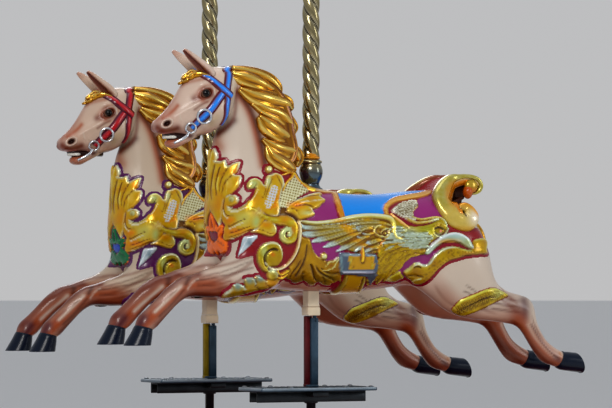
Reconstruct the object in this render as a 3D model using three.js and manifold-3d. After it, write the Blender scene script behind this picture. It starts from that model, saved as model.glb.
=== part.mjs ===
// Row section of a fairground galloper carousel: two carved horses abreast, each on a twisted brass pole
// with a mounting step below it, over a sector of the riding platform.
// Units are millimetres. +Z is up, the horses face -X, and the middle of the ride lies towards +Y.
// Each horse is drawn in its own frame: the pole axis is x = 0, y = 0, and the step plate's top is z = 0.
import * as THREE from "three";
import { mergeVertices } from "three/addons/utils/BufferGeometryUtils.js";
import Module from "manifold-3d";

const wasm = await Module();
wasm.setup();

// Ride
const OUTER_RADIUS = 6000; // rim of the platform
const INNER_RADIUS = 4350; // edge next to the middle of the ride
const HALF_ANGLE = THREE.MathUtils.degToRad(15); // twelve sectors make the ring
const HORSE_RADIUS = { outer: 5560, middle: 4750 };
const DROP = { outer: 0, middle: 35 }; // how much lower each horse hangs at rest
const STEP_RAISE = { outer: 0, middle: 45 }; // each rider's step can be bolted higher on its post

// Platform
const JOIST_DEPTH = 120;
const JOIST_WIDTH = 60;
const DECK_THICKNESS = 40;
const DECK_TOP = JOIST_DEPTH + DECK_THICKNESS;
const NOSING_WIDTH = 70;
const PANEL_SPLITS = [5340, 4950]; // radii where the three deck panels meet
const GAP = 0.3; // between faces that touch

// Step and lower guide
const STEP_HEIGHT = 480; // step plate's top above the deck
const STEP = { length: 450, width: 190, thickness: 12, centreX: -12 };
const STEP_CHANNEL = { length: 420, width: 60, depth: 38 };
const POST = { width: 44, depth: 34, top: 246 };
const BELLY_COLLAR = { half: 22, top: 400, rim: 25, rimTop: 275 };
const ROD_RADIUS = 16;
const ROD_BOTTOM = -432; // 208 above the ground at rest
const SOCKET = { top: 245, radius: 30, flange: 75, flangeThickness: 12, clearance: 1 };
const DECK_HOLE_RADIUS = 24;

// Pole above the saddle
const POLE_COLLAR = { bottom: 676, top: 786, radius: 41 };
const TWIST = { top: 1640, radius: 29, lobe: 5, pitch: 200, starts: 3 };
const HANGER = { z: 1800, radius: 64, bore: 30, thickness: 60, rod: 19 };

// Horse's carving depths
const CARVING_DEPTH = 17;
const SEAT_DEPTH = 13;
const STRAP_DEPTH = 5;

// A section of a limb, seen from the side: its top and bottom point, half its width, and how far it stands
// from the horse's middle plane.
const section = (topX, topZ, bottomX, bottomZ, half, y = 0) => ({
  topX,
  topZ,
  bottomX,
  bottomZ,
  half,
  y,
});

const TRUNK = [
  section(-392, 640, -388, 560, 40),
  section(-372, 720, -370, 470, 105),
  section(-320, 750, -320, 390, 146),
  section(-230, 752, -230, 345, 168),
  section(-120, 722, -120, 334, 176),
  section(0, 684, 0, 326, 178),
  section(130, 668, 130, 326, 177),
  section(260, 668, 260, 336, 174),
  section(370, 680, 370, 352, 170),
  section(470, 682, 470, 370, 160),
  section(560, 640, 560, 390, 130),
  section(612, 575, 612, 410, 82),
  section(632, 520, 634, 440, 38),
];

const NECK = [
  section(-30, 660, -330, 500, 110),
  section(-60, 740, -390, 660, 112),
  section(-100, 815, -392, 765, 86),
  section(-118, 900, -384, 828, 73),
  section(-135, 985, -366, 878, 67),
  section(-190, 1052, -348, 925, 62),
  section(-262, 1086, -345, 965, 56),
  section(-322, 1092, -362, 985, 50),
];

const HEAD = [
  section(-318, 1092, -306, 985, 44),
  section(-368, 1096, -318, 932, 66),
  section(-418, 1086, -352, 892, 80),
  section(-462, 1064, -392, 868, 84),
  section(-497, 1018, -428, 858, 72),
  section(-526, 976, -462, 858, 58),
  section(-552, 944, -494, 862, 48),
  section(-576, 922, -528, 862, 43),
  section(-594, 902, -562, 860, 41),
  section(-603, 886, -588, 864, 27),
];

const JAW = [
  section(-430, 905, -425, 862, 40),
  section(-472, 868, -468, 838, 35),
  section(-510, 852, -508, 820, 31),
  section(-538, 848, -540, 817, 27),
  section(-554, 842, -556, 824, 17),
];

const EAR = [
  section(-392, 1090, -420, 1056, 17, 40),
  section(-436, 1124, -464, 1090, 19, 45),
  section(-472, 1142, -490, 1118, 13, 47),
  section(-501, 1149, -506, 1143, 4, 45),
];

const FORELEG = [
  section(-270, 590, -140, 380, 62, 80),
  section(-345, 478, -215, 320, 62, 98),
  section(-402, 428, -330, 306, 55, 107),
  section(-456, 406, -420, 308, 47, 110),
  section(-515, 385, -498, 312, 39, 110),
  section(-566, 366, -524, 310, 37, 110),
  section(-606, 338, -556, 291, 31, 110),
  section(-642, 303, -592, 256, 28, 110),
  section(-680, 268, -625, 222, 30, 110),
  section(-706, 238, -642, 206, 33, 110),
  section(-716, 214, -656, 200, 35, 110),
  section(-752, 151, -661, 151, 44, 110),
];

const HINDLEG = [
  section(395, 620, 350, 350, 75, 78),
  section(480, 620, 415, 300, 80, 93),
  section(575, 585, 480, 246, 76, 105),
  section(628, 490, 545, 227, 66, 113),
  section(650, 388, 605, 220, 55, 118),
  section(702, 334, 660, 217, 46, 120),
  section(760, 318, 712, 215, 38, 120),
  section(812, 286, 745, 206, 34, 120),
  section(828, 226, 766, 190, 29, 120),
  section(850, 182, 795, 148, 27, 120),
  section(876, 148, 822, 110, 28, 120),
  section(908, 128, 852, 79, 31, 120),
  section(936, 114, 896, 58, 34, 120),
  section(1002, 112, 1027, 39, 44, 120),
];

const TAIL = [
  section(628, 604, 612, 552, 24),
  section(660, 592, 620, 545, 34),
  section(684, 540, 634, 520, 42),
  section(690, 460, 636, 450, 44),
  section(684, 380, 632, 376, 38),
  section(666, 310, 630, 306, 24),
  section(650, 272, 638, 270, 8),
];

const NECK_CUT = { x: -367, z: 873, angle: Math.atan2(97, 237) }; // throat to poll
const FORELEG_CUT = -396;
const HINDLEG_CUT = 640;

// Outlines seen from the near side, as [x, z]
const MANE_OUTLINE = [
  [-336, 1108],
  [-262, 1106],
  [-187, 1086],
  [-148, 1040],
  [-100, 975],
  [-98, 893],
  [-84, 795],
  [-104, 744],
  [-158, 738],
  [-210, 772],
  [-226, 840],
  [-244, 915],
  [-278, 985],
  [-312, 1050],
];

const CARVING_OUTLINE = [
  [-420, 812],
  [-350, 776],
  [-305, 772],
  [-290, 716],
  [-250, 700],
  [-215, 752],
  [-150, 735],
  [-90, 752],
  [-62, 708],
  [0, 676],
  [48, 668],
  [80, 590],
  [212, 592],
  [252, 640],
  [398, 676],
  [410, 596],
  [452, 552],
  [515, 530],
  [566, 506],
  [568, 456],
  [462, 452],
  [402, 430],
  [368, 396],
  [300, 358],
  [172, 352],
  [84, 344],
  [-60, 344],
  [-95, 392],
  [-190, 360],
  [-330, 312],
  [-345, 420],
  [-400, 470],
  [-420, 600],
];

const SEAT_OUTLINE = [
  [-40, 720],
  [60, 670],
  [86, 594],
  [206, 596],
  [250, 644],
  [394, 682],
  [440, 740],
];

const CANTLE_OUTLINE = [
  [452, 718],
  [505, 736],
  [560, 742],
  [598, 722],
  [606, 692],
  [590, 668],
  [558, 664],
  [528, 640],
  [530, 612],
  [566, 606],
  [604, 596],
  [606, 566],
  [566, 543],
  [500, 553],
  [448, 596],
  [416, 660],
];
// The cantle narrows upwards: half its width at two heights
const CANTLE_TAPER = { low: 545, lowHalf: 172, high: 742, highHalf: 82 };

const COLOURS = {
  coat: [0xd9b394, 0.28, 0],
  hair: [0xb88a1c, 0.25, 0.7],
  carving: [0xc9a227, 0.3, 0.5],
  seat: [0x0b8fe6, 0.3, 0],
  bridle: { outer: [0x1f8fe8, 0.35, 0], middle: [0xb3162b, 0.35, 0] },
  brass: [0x8f7d4a, 0.2, 1],
  steel: [0x5a6570, 0.45, 0.8],
  cream: [0xd8cba8, 0.5, 0],
  deck: [0x9a2b3a, 0.6, 0],
  nosing: [0xd9a520, 0.5, 0],
  timber: [0x8a6a45, 0.8, 0],
};

const group = new THREE.Group();

// Solids and meshes
function solidOf(geometry) {
  const plain = geometry.index ? geometry.toNonIndexed() : geometry.clone();
  plain.deleteAttribute("normal");
  plain.deleteAttribute("uv");
  const merged = mergeVertices(plain, 1e-3);
  return new wasm.Manifold(
    new wasm.Mesh({
      numProp: 3,
      vertProperties: new Float32Array(merged.attributes.position.array),
      triVerts: new Uint32Array(merged.index.array),
    }),
  );
}

function geometryOf(solid) {
  const mesh = solid.getMesh();
  const geometry = new THREE.BufferGeometry();
  geometry.setAttribute("position", new THREE.BufferAttribute(mesh.vertProperties, 3));
  geometry.setIndex(new THREE.BufferAttribute(mesh.triVerts, 1));
  const flat = geometry.toNonIndexed();
  flat.computeVertexNormals();
  return flat;
}

function add(name, solid, [colour, roughness, metalness], parent = group) {
  const material = new THREE.MeshStandardMaterial({ color: colour, roughness, metalness });
  const mesh = new THREE.Mesh(geometryOf(solid), material);
  mesh.name = name;
  parent.add(mesh);
}

const unite = (solids) => solids.reduce((all, one) => all.add(one));

// A closed skin over rings of points that all have the same count.
function skin(rings) {
  const count = rings[0].length;
  const points = rings.flat();
  const middle = (ring) =>
    ring.reduce((sum, p) => sum.add(p), new THREE.Vector3()).divideScalar(count);
  points.push(middle(rings[0]), middle(rings.at(-1)));
  const index = [];
  const last = (rings.length - 1) * count;
  for (let r = 0; r + 1 < rings.length; r++) {
    for (let i = 0; i < count; i++) {
      const a = r * count + i;
      const b = r * count + ((i + 1) % count);
      index.push(a, b, a + count, b, b + count, a + count);
    }
  }
  for (let i = 0; i < count; i++) {
    const next = (i + 1) % count;
    index.push(points.length - 2, next, i);
    index.push(points.length - 1, last + i, last + next);
  }
  const geometry = new THREE.BufferGeometry().setFromPoints(points);
  geometry.setIndex(index);
  const solid = solidOf(geometry);
  if (solid.volume() > 0) return solid;
  geometry.setIndex(index.reverse());
  return solidOf(geometry);
}

// A limb: an oval skin through its sections. side is -1 for the near side, 1 for the off side.
function limb(sections, { grow = 0, side = 1, around = 12 } = {}) {
  const ends = [0, sections.length - 1];
  return skin(
    sections.map((s, i) => {
      const centre = new THREE.Vector3(
        (s.topX + s.bottomX) / 2,
        side * s.y,
        (s.topZ + s.bottomZ) / 2,
      );
      const up = new THREE.Vector3((s.topX - s.bottomX) / 2, 0, (s.topZ - s.bottomZ) / 2);
      up.setLength(up.length() + grow);
      if (grow && ends.includes(i)) {
        const inner = sections[i === 0 ? 1 : i - 1];
        const outward = new THREE.Vector3(
          s.topX + s.bottomX - inner.topX - inner.bottomX,
          0,
          s.topZ + s.bottomZ - inner.topZ - inner.bottomZ,
        );
        centre.add(outward.setLength(grow));
      }
      return Array.from({ length: around }, (_, k) => {
        const turn = (2 * Math.PI * k) / around;
        return centre
          .clone()
          .addScaledVector(up, Math.cos(turn))
          .add(new THREE.Vector3(0, Math.sin(turn) * (s.half + grow), 0));
      });
    }),
  );
}

// Plates and prisms
function polygon(points) {
  return new THREE.Shape(points.map(([x, y]) => new THREE.Vector2(x, y)));
}

// A side outline in x and z, from y = from to y = to.
function slab(outline, from, to) {
  const shape = outline instanceof THREE.Shape ? outline : polygon(outline);
  const geometry = new THREE.ExtrudeGeometry(shape, {
    depth: to - from,
    bevelEnabled: false,
    curveSegments: 6,
  });
  geometry.rotateX(Math.PI / 2);
  geometry.translate(0, to, 0);
  return solidOf(geometry);
}

// A slab across the middle whose half width changes evenly with height.
function taperedSlab(outline, { low, lowHalf, high, highHalf }, grow = 0) {
  const geometry = new THREE.ExtrudeGeometry(polygon(outline), { depth: 2, bevelEnabled: false });
  geometry.rotateX(Math.PI / 2);
  geometry.translate(0, 1, 0);
  const corners = geometry.getAttribute("position");
  for (let i = 0; i < corners.count; i += 1) {
    const rise = (corners.getZ(i) - low) / (high - low);
    const half = THREE.MathUtils.lerp(lowHalf, highHalf, rise) + grow;
    corners.setY(i, corners.getY(i) * half);
  }
  return solidOf(geometry);
}

// A plan outline in x and y, from z = from to z = to.
function plate(shape, from, to, curveSegments = 10) {
  const geometry = new THREE.ExtrudeGeometry(shape, {
    depth: to - from,
    bevelEnabled: false,
    curveSegments,
  });
  geometry.translate(0, 0, from);
  return solidOf(geometry);
}

function block(x0, x1, y0, y1, z0, z1) {
  const geometry = new THREE.BoxGeometry(x1 - x0, y1 - y0, z1 - z0);
  geometry.translate((x0 + x1) / 2, (y0 + y1) / 2, (z0 + z1) / 2);
  return solidOf(geometry);
}

function rod(radius, from, to, sides = 16, x = 0, y = 0) {
  const geometry = new THREE.CylinderGeometry(radius, radius, to - from, sides);
  geometry.rotateX(Math.PI / 2);
  geometry.translate(x, y, (from + to) / 2);
  return solidOf(geometry);
}

// A turned piece about the pole axis: profile as [radius, z], bottom to top.
function turned(profile, sides = 16) {
  const outline = [
    [0, profile[0][1]],
    ...profile,
    [0, profile.at(-1)[1]],
  ];
  const geometry = new THREE.LatheGeometry(
    outline.map(([radius, z]) => new THREE.Vector2(radius, z)),
    sides,
  );
  geometry.rotateX(Math.PI / 2);
  return solidOf(geometry);
}

// Carved horse
function coat(grow) {
  const legs = [-1, 1].flatMap((side) => [
    limb(FORELEG, { grow, side, around: 10 }),
    limb(HINDLEG, { grow, side, around: 10 }),
    limb(EAR, { grow: Math.min(grow, GAP), side, around: 6 }),
  ]);
  return unite([
    limb(TRUNK, { grow, around: 16 }),
    limb(NECK, { grow }),
    limb(HEAD, { grow }),
    limb(JAW, { grow, around: 8 }),
    ...legs,
  ]);
}

// Splits the carving where its blocks are glued: head, body, and the four legs.
function cutCoat(whole) {
  const normal = [-Math.cos(NECK_CUT.angle), 0, Math.sin(NECK_CUT.angle)];
  const offset = normal[0] * NECK_CUT.x + normal[2] * NECK_CUT.z;
  const behind = whole.trimByPlane([1, 0, 0], FORELEG_CUT + GAP);
  const ahead = whole.trimByPlane([-1, 0, 0], -FORELEG_CUT);
  const low = ahead.trimByPlane([0, 0, -1], -600);
  const high = whole.trimByPlane([0, 0, 1], 600);
  const trunk = behind.trimByPlane([-1, 0, 0], -(HINDLEG_CUT - GAP));
  const head = high.trimByPlane(normal, offset + GAP);
  const rear = whole.trimByPlane([1, 0, 0], HINDLEG_CUT);
  const belowCut = trunk.trimByPlane(normal.map((v) => -v), -offset);
  return {
    body: belowCut,
    head,
    foreleg: { near: low.trimByPlane([0, -1, 0], 0), off: low.trimByPlane([0, 1, 0], 0) },
    hindleg: { near: rear.trimByPlane([0, -1, 0], 0), off: rear.trimByPlane([0, 1, 0], 0) },
  };
}

const barrel = (grow) => limb(TRUNK, { grow, around: 16 }).add(limb(NECK, { grow }));

// The seat skirt, its rolled cantle, and the carved panels on either side of them
function saddlery(clear, collarSpace) {
  const seat = limb(TRUNK, { grow: SEAT_DEPTH, around: 16 })
    .intersect(slab(SEAT_OUTLINE, -240, 240))
    .subtract(clear)
    .subtract(collarSpace);
  const cantle = taperedSlab(CANTLE_OUTLINE, CANTLE_TAPER)
    .subtract(limb(TRUNK, { grow: SEAT_DEPTH + GAP, around: 16 }))
    .subtract(clear);
  const room = unite([
    slab(grownOutline(SEAT_OUTLINE), -300, 300),
    taperedSlab(grownOutline(CANTLE_OUTLINE), CANTLE_TAPER, GAP),
  ]);
  const layer = barrel(CARVING_DEPTH).subtract(clear).subtract(room).subtract(collarSpace);
  const panel = (from, to) => layer.intersect(slab(CARVING_OUTLINE, from, to));
  return {
    seat: biggest(seat),
    cantle: biggest(cantle),
    near: biggest(panel(-260, -GAP)),
    off: biggest(panel(GAP, 260)),
  };
}

// An outline pushed out by the gap that touching faces keep.
function grownOutline(outline, by = 2 * GAP) {
  const centre = outline
    .reduce((sum, [x, z]) => [sum[0] + x, sum[1] + z], [0, 0])
    .map((v) => v / outline.length);
  return outline.map(([x, z]) => {
    const away = new THREE.Vector2(x - centre[0], z - centre[1]);
    const out = away.clone().setLength(away.length() + by);
    return [centre[0] + out.x, centre[1] + out.y];
  });
}

const biggest = (solid) =>
  solid.decompose().reduce((most, one) => (one.volume() > most.volume() ? one : most));

const mane = (room) => biggest(slab(MANE_OUTLINE, -112, 40).subtract(room));

const tail = (clear) => biggest(limb(TAIL, { around: 10 }).subtract(clear));

// Headstall: crown and throat strap, brow band and cheek straps, as one band around the head
function headstall(grow) {
  const straps = [
    [
      [-360, 1120],
      [-330, 1120],
      [-318, 990],
      [-352, 870],
      [-378, 872],
      [-348, 985],
    ],
    [
      [-440, 1072],
      [-346, 1000],
      [-346, 975],
      [-372, 980],
      [-452, 1050],
    ],
    [
      [-372, 1010],
      [-350, 990],
      [-490, 862],
      [-508, 880],
    ],
  ].map((outline) => slab(outline, -140, 140));
  return limb(HEAD, { grow }).intersect(unite(straps));
}

// Pole and step
function twistedSleeve() {
  const perRing = TWIST.starts * 3;
  const turnPerStep = THREE.MathUtils.degToRad(40);
  const rise = (TWIST.pitch * turnPerStep) / (2 * Math.PI);
  const from = POLE_COLLAR.top + GAP;
  const steps = Math.round((TWIST.top - from) / rise);
  const rings = Array.from({ length: steps + 1 }, (_, s) =>
    Array.from({ length: perRing }, (_, k) => {
      const angle = (2 * Math.PI * k) / perRing;
      const bulge = TWIST.lobe * Math.abs(Math.sin((TWIST.starts * angle) / 2));
      const radius = TWIST.radius - TWIST.lobe + bulge;
      const turn = angle - s * turnPerStep;
      return new THREE.Vector3(
        radius * Math.cos(turn),
        radius * Math.sin(turn),
        from + ((TWIST.top - from) * s) / steps,
      );
    }),
  );
  return skin(rings);
}

function poleCollar(clear) {
  const { bottom, top, radius } = POLE_COLLAR;
  const urn = turned([
    [radius - 12, bottom],
    [radius - 10, bottom + 26],
    [radius - 2, bottom + 40],
    [radius, bottom + 58],
    [radius - 3, bottom + 78],
    [radius - 8, bottom + 84],
    [radius - 7, bottom + 92],
    [radius - 12, top],
  ]);
  return biggest(urn.subtract(clear));
}

// Plain rod from the sleeve up to the eye that hangs on the overhead crank
function hanger() {
  const ring = new THREE.Shape().absarc(0, HANGER.z, HANGER.radius, 0, 2 * Math.PI);
  ring.holes.push(new THREE.Path().absarc(0, HANGER.z, HANGER.bore, 0, 2 * Math.PI, true));
  const eye = slab(ring, -HANGER.thickness / 2, HANGER.thickness / 2);
  const stem = rod(HANGER.rod, TWIST.top + GAP, HANGER.z - HANGER.bore - 10);
  const cup = rod(HANGER.rod + 14, TWIST.top + GAP, TWIST.top + 32);
  return unite([eye, stem, cup]);
}

function bellyCollar(clear) {
  const { half, top, rim, rimTop } = BELLY_COLLAR;
  const stem = block(-half, half, -half, half, rimTop - 1, top);
  const foot = block(-rim, rim, -rim, rim, POST.top + GAP, rimTop);
  return biggest(unite([stem, foot]).subtract(clear));
}

// Two flats and a rib between them, with the round guide rod below
function dropPost(raise) {
  const { width, depth, top } = POST;
  const flat = 12;
  const onPlate = raise + GAP;
  const flats = [-1, 1].map((side) => {
    const x = (side * (width - flat)) / 2;
    return block(x - flat / 2, x + flat / 2, -depth / 2, depth / 2, onPlate, top);
  });
  const rib = block(-width / 2, width / 2, -6, 6, onPlate, top);
  return unite([...flats, rib]);
}

function stepPlate() {
  const { length, width, thickness, centreX } = STEP;
  const corner = 14;
  const shape = new THREE.Shape();
  const x0 = centreX - length / 2;
  const x1 = centreX + length / 2;
  const y1 = width / 2;
  shape.absarc(x1 - corner, y1 - corner, corner, 0, Math.PI / 2);
  shape.absarc(x0 + corner, y1 - corner, corner, Math.PI / 2, Math.PI);
  shape.absarc(x0 + corner, -y1 + corner, corner, Math.PI, 1.5 * Math.PI);
  shape.absarc(x1 - corner, -y1 + corner, corner, 1.5 * Math.PI, 2 * Math.PI);
  return plate(shape, -thickness, 0, 3);
}

function stepChannel(raise) {
  const { length, width, depth } = STEP_CHANNEL;
  const top = -STEP.thickness - GAP;
  const middle = STEP.centreX;
  const beam = block(
    middle - length / 2,
    middle + length / 2,
    -width / 2,
    width / 2,
    top - depth,
    top,
  );
  const cross = block(-30, 30, -STEP.width / 2 + 20, STEP.width / 2 - 20, top - 20, top);
  return unite([beam, cross, rod(ROD_RADIUS, ROD_BOTTOM - raise, top - 1)]);
}

function addHorse(name, y) {
  const frame = new THREE.Group();
  frame.position.set(0, y, DECK_TOP + STEP_HEIGHT - DROP[name]);
  group.add(frame);
  const raise = STEP_RAISE[name];
  const put = (part, solid, look) => add(`${name}_${part}`, solid, look, frame);

  const whole = coat(0);
  const clear = coat(GAP);
  const parts = cutCoat(whole);
  put("body", biggest(parts.body), COLOURS.coat);
  put("head", biggest(parts.head), COLOURS.coat);
  for (const side of ["near", "off"]) {
    put(`foreleg_${side}`, biggest(parts.foreleg[side]), COLOURS.coat);
    put(`hindleg_${side}`, biggest(parts.hindleg[side]), COLOURS.coat);
  }

  const collarSpace = rod(POLE_COLLAR.radius + GAP, 600, 900);
  const saddle = saddlery(clear, collarSpace);
  put("seat", saddle.seat, COLOURS.seat);
  put("cantle_scroll", saddle.cantle, COLOURS.carving);
  put("carving_near", saddle.near, COLOURS.carving);
  put("carving_off", saddle.off, COLOURS.carving);
  const panelSpace = slab(grownOutline(CARVING_OUTLINE, 4), -260, 260);
  const panelRoom = barrel(CARVING_DEPTH + GAP).intersect(panelSpace);
  const strapRoom = headstall(STRAP_DEPTH + GAP);
  put("mane", mane(unite([clear, panelRoom, strapRoom])), COLOURS.hair);
  put("tail", tail(clear), COLOURS.hair);
  put("bridle", biggest(headstall(STRAP_DEPTH).subtract(clear)), COLOURS.bridle[name]);

  put("pole_sleeve", twistedSleeve(), COLOURS.brass);
  put("pole_collar", poleCollar(clear), COLOURS.brass);
  put("pole_hanger", hanger(), COLOURS.steel);
  put("belly_collar", bellyCollar(clear), COLOURS.cream);
  put("drop_post", dropPost(raise), COLOURS.steel);
  put("step_plate", stepPlate().translate([0, 0, raise]), COLOURS.steel);
  put("step_channel", stepChannel(raise).translate([0, 0, raise]), COLOURS.steel);
}

// Platform sector
const RIDE_CENTRE_Y = (OUTER_RADIUS + INNER_RADIUS * Math.cos(HALF_ANGLE)) / 2;

// A ring segment in plan, as a shape, between two radii
function segment(inner, outer, half = HALF_ANGLE) {
  const down = -Math.PI / 2;
  const shape = new THREE.Shape();
  shape.absarc(0, RIDE_CENTRE_Y, outer, down - half, down + half);
  shape.absarc(0, RIDE_CENTRE_Y, inner, down + half, down - half, true);
  return shape;
}

// A radial joist at an angle from the sector's middle line
function joist(angle) {
  const inner = INNER_RADIUS + NOSING_WIDTH + GAP;
  const outer = OUTER_RADIUS - NOSING_WIDTH - GAP;
  const geometry = new THREE.BoxGeometry(JOIST_WIDTH, outer - inner - 6, JOIST_DEPTH - GAP);
  geometry.translate(0, -(inner + outer) / 2, (JOIST_DEPTH - GAP) / 2);
  geometry.rotateZ(angle);
  geometry.translate(0, RIDE_CENTRE_Y, 0);
  return solidOf(geometry);
}

function addPlatform(horses) {
  const [outerSplit, innerSplit] = PANEL_SPLITS;
  const rimTop = DECK_TOP;
  const outerRim = OUTER_RADIUS - NOSING_WIDTH;
  const innerRim = INNER_RADIUS + NOSING_WIDTH;
  const holes = horses.map((h) => rod(DECK_HOLE_RADIUS, 0, DECK_TOP + 10, 12, 0, h.y));
  const panels = {
    deck_outer: [outerSplit + GAP, outerRim - GAP],
    deck_middle: [innerSplit + GAP, outerSplit],
    deck_inner: [innerRim + GAP, innerSplit],
  };
  for (const [name, [inner, outer]] of Object.entries(panels)) {
    const solid = plate(segment(inner, outer), JOIST_DEPTH, DECK_TOP);
    add(name, holes.reduce((rest, hole) => rest.subtract(hole), solid), COLOURS.deck);
  }
  add("nosing_outer", plate(segment(outerRim, OUTER_RADIUS), 0, rimTop), COLOURS.nosing);
  add("nosing_inner", plate(segment(INNER_RADIUS, innerRim), 0, rimTop), COLOURS.nosing);
  const end = HALF_ANGLE - Math.asin(JOIST_WIDTH / 2 / INNER_RADIUS) - 0.0005;
  const angles = { left: -end, middle_left: -end / 3, middle_right: end / 3, right: end };
  for (const [name, angle] of Object.entries(angles)) {
    add(`joist_${name}`, joist(angle), COLOURS.timber);
  }
  for (const horse of horses) {
    const { flange, flangeThickness, radius, top, clearance } = SOCKET;
    const outside = unite([
      rod(flange, DECK_TOP + GAP, DECK_TOP + flangeThickness, 16, 0, horse.y),
      rod(radius, DECK_TOP + GAP, DECK_TOP + top, 16, 0, horse.y),
    ]);
    const bore = rod(ROD_RADIUS + clearance, 0, DECK_TOP + top + 10, 16, 0, horse.y);
    add(`guide_socket_${horse.name}`, outside.subtract(bore), COLOURS.steel);
  }
}

const horses = Object.entries(HORSE_RADIUS).map(([name, radius]) => ({
  name,
  y: RIDE_CENTRE_Y - radius,
}));
for (const horse of horses) addHorse(horse.name, horse.y);
addPlatform(horses);

export default group;
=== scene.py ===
"""Fairground galloper bay: two carved, painted horses on twisted brass poles over a boarded platform.

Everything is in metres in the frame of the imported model. A horse is drawn in its own frame, where the
pole's axis is x = 0, y = 0, the step plate's top is z = 0 and the horse faces -X, and is then moved to
its pole.
"""

import math

import bpy
import numpy as np
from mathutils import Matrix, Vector
from mathutils.bvhtree import BVHTree


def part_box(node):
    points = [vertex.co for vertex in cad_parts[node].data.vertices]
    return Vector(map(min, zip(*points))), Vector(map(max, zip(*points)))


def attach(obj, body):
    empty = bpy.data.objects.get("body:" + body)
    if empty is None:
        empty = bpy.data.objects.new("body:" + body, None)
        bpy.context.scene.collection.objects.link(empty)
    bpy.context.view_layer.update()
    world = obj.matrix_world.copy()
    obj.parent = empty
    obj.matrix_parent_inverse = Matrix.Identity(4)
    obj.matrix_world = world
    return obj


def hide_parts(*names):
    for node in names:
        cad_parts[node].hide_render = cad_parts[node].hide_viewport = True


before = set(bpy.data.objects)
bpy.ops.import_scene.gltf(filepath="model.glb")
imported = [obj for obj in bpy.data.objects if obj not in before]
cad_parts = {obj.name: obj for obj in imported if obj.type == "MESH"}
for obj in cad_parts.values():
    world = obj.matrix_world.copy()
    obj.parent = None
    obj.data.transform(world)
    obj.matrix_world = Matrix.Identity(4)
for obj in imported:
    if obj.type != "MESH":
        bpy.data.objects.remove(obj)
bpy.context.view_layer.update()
scene = bpy.context.scene

MM = 0.001
HORSES = {"outer": 0.0, "middle": 0.045}  # name: how far its step plate is raised
SLEEVE_FOOT = 0.7863  # height of the twisted sleeve's foot in the horse's frame


def horse_origin(name):
    low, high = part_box(f"{name}_pole_sleeve")
    return np.array([0.0, (low.y + high.y) / 2, low.z - SLEEVE_FOOT])


ORIGIN = {name: horse_origin(name) for name in HORSES}

# Camera, as the photograph was taken
PHOTO = {"width": 612, "height": 408, "horizon": 277, "focal": 3770.0, "centre": 306, "pole": 311}
HEADING = math.radians(27.0)
CAMERA_DISTANCE = 13.0
CAMERA_HEIGHT = 0.379  # above the outer horse's step plate
AHEAD = np.array([math.sin(HEADING), math.cos(HEADING), 0.0])
RIGHT = np.array([math.cos(HEADING), -math.sin(HEADING), 0.0])
SIDESTEP = (PHOTO["pole"] - PHOTO["centre"]) * CAMERA_DISTANCE / PHOTO["focal"]
EYE = np.array([0.0, 0.0, CAMERA_HEIGHT]) - CAMERA_DISTANCE * AHEAD - SIDESTEP * RIGHT


def photo_ray(u, v):
    """Direction, in the outer horse's frame, through a point of the photograph."""
    across = (u - PHOTO["centre"]) / PHOTO["focal"]
    up = (PHOTO["horizon"] - v) / PHOTO["focal"]
    ray = AHEAD + across * RIGHT + np.array([0.0, 0.0, up])
    return ray / np.linalg.norm(ray)


def add_camera():
    data = bpy.data.cameras.new("camera")
    cam = bpy.data.objects.new("camera", data)
    scene.collection.objects.link(cam)
    scene.camera = cam
    data.lens = data.sensor_width * PHOTO["focal"] / PHOTO["width"]
    pitch = math.atan((PHOTO["horizon"] - PHOTO["height"] / 2) / PHOTO["focal"])
    aim = Vector((*(AHEAD[:2] * math.cos(pitch)), math.sin(pitch)))
    cam.location = Vector(EYE + ORIGIN["outer"])
    cam.rotation_euler = aim.to_track_quat("-Z", "Y").to_euler()
    data.clip_end = 300.0


add_camera()

# Windows of the photograph in which the carving and the shading were measured: left, top and magnification
WINDOWS = {
    "head": (150, 45, 15.68), "mane": (240, 50, 11.2), "saddle": (300, 160, 7.84),
    "haunch": (400, 180, 7.466), "cantle": (440, 160, 12.06), "photo": (0, 0, 1.0),
    "lobes": (202, 128, 22.4), "crest": (248, 150, 24.12), "flower": (202, 195, 20.9),
    "scroll": (235, 195, 24.12), "breast": (190, 180, 12.06), "wing_tip": (285, 200, 26.13),
    "wing_root": (335, 195, 26.13), "eagle": (380, 190, 22.4), "serpent": (385, 225, 20.9),
    "drape": (275, 235, 22.4), "legs": (90, 220, 9.224), "bust": (195, 130, 9.8),
}


def near_side(points):
    """Points with those of the off side mirrored to the near side."""
    return points * [1, 0, 1] - np.abs(points) * [0, 1, 0]


def folded(points):
    """Points with those of the near side mirrored to the off side, where y is above 0."""
    return points * [1, 0, 1] + np.abs(points) * [0, 1, 0]


def in_photo(points):
    """Where points, folded to the near side, are seen in the photograph."""
    offset = near_side(points) - EYE
    ahead = offset @ AHEAD
    u = PHOTO["centre"] + PHOTO["focal"] * (offset @ RIGHT) / ahead
    v = PHOTO["horizon"] - PHOTO["focal"] * offset[:, 2] / ahead
    return np.column_stack([u, v])


# Numbers
def smoothstep(low, high, value):
    t = np.clip((np.asarray(value, float) - low) / (high - low), 0.0, 1.0)
    return t * t * (3.0 - 2.0 * t)


def catmull(rows, steps):
    rows = np.asarray(rows, float)
    ext = np.vstack([2 * rows[0] - rows[1], rows, 2 * rows[-1] - rows[-2]])
    out = []
    for i in range(len(rows) - 1):
        a, b, c, d = ext[i : i + 4]
        for t in np.linspace(0.0, 1.0, steps, endpoint=False):
            quadratic = (2 * a - 5 * b + 4 * c - d) * t * t
            cubic = (-a + 3 * b - 3 * c + d) * t**3
            out.append(0.5 * (2 * b + (c - a) * t + quadratic + cubic))
    out.append(rows[-1])
    return np.array(out)


def srgb(r, g, b):
    """Linear colour from 0-255 display values."""
    c = np.array([r, g, b], float) / 255.0
    return np.where(c <= 0.04045, c / 12.92, ((c + 0.055) / 1.055) ** 2.4)


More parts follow.
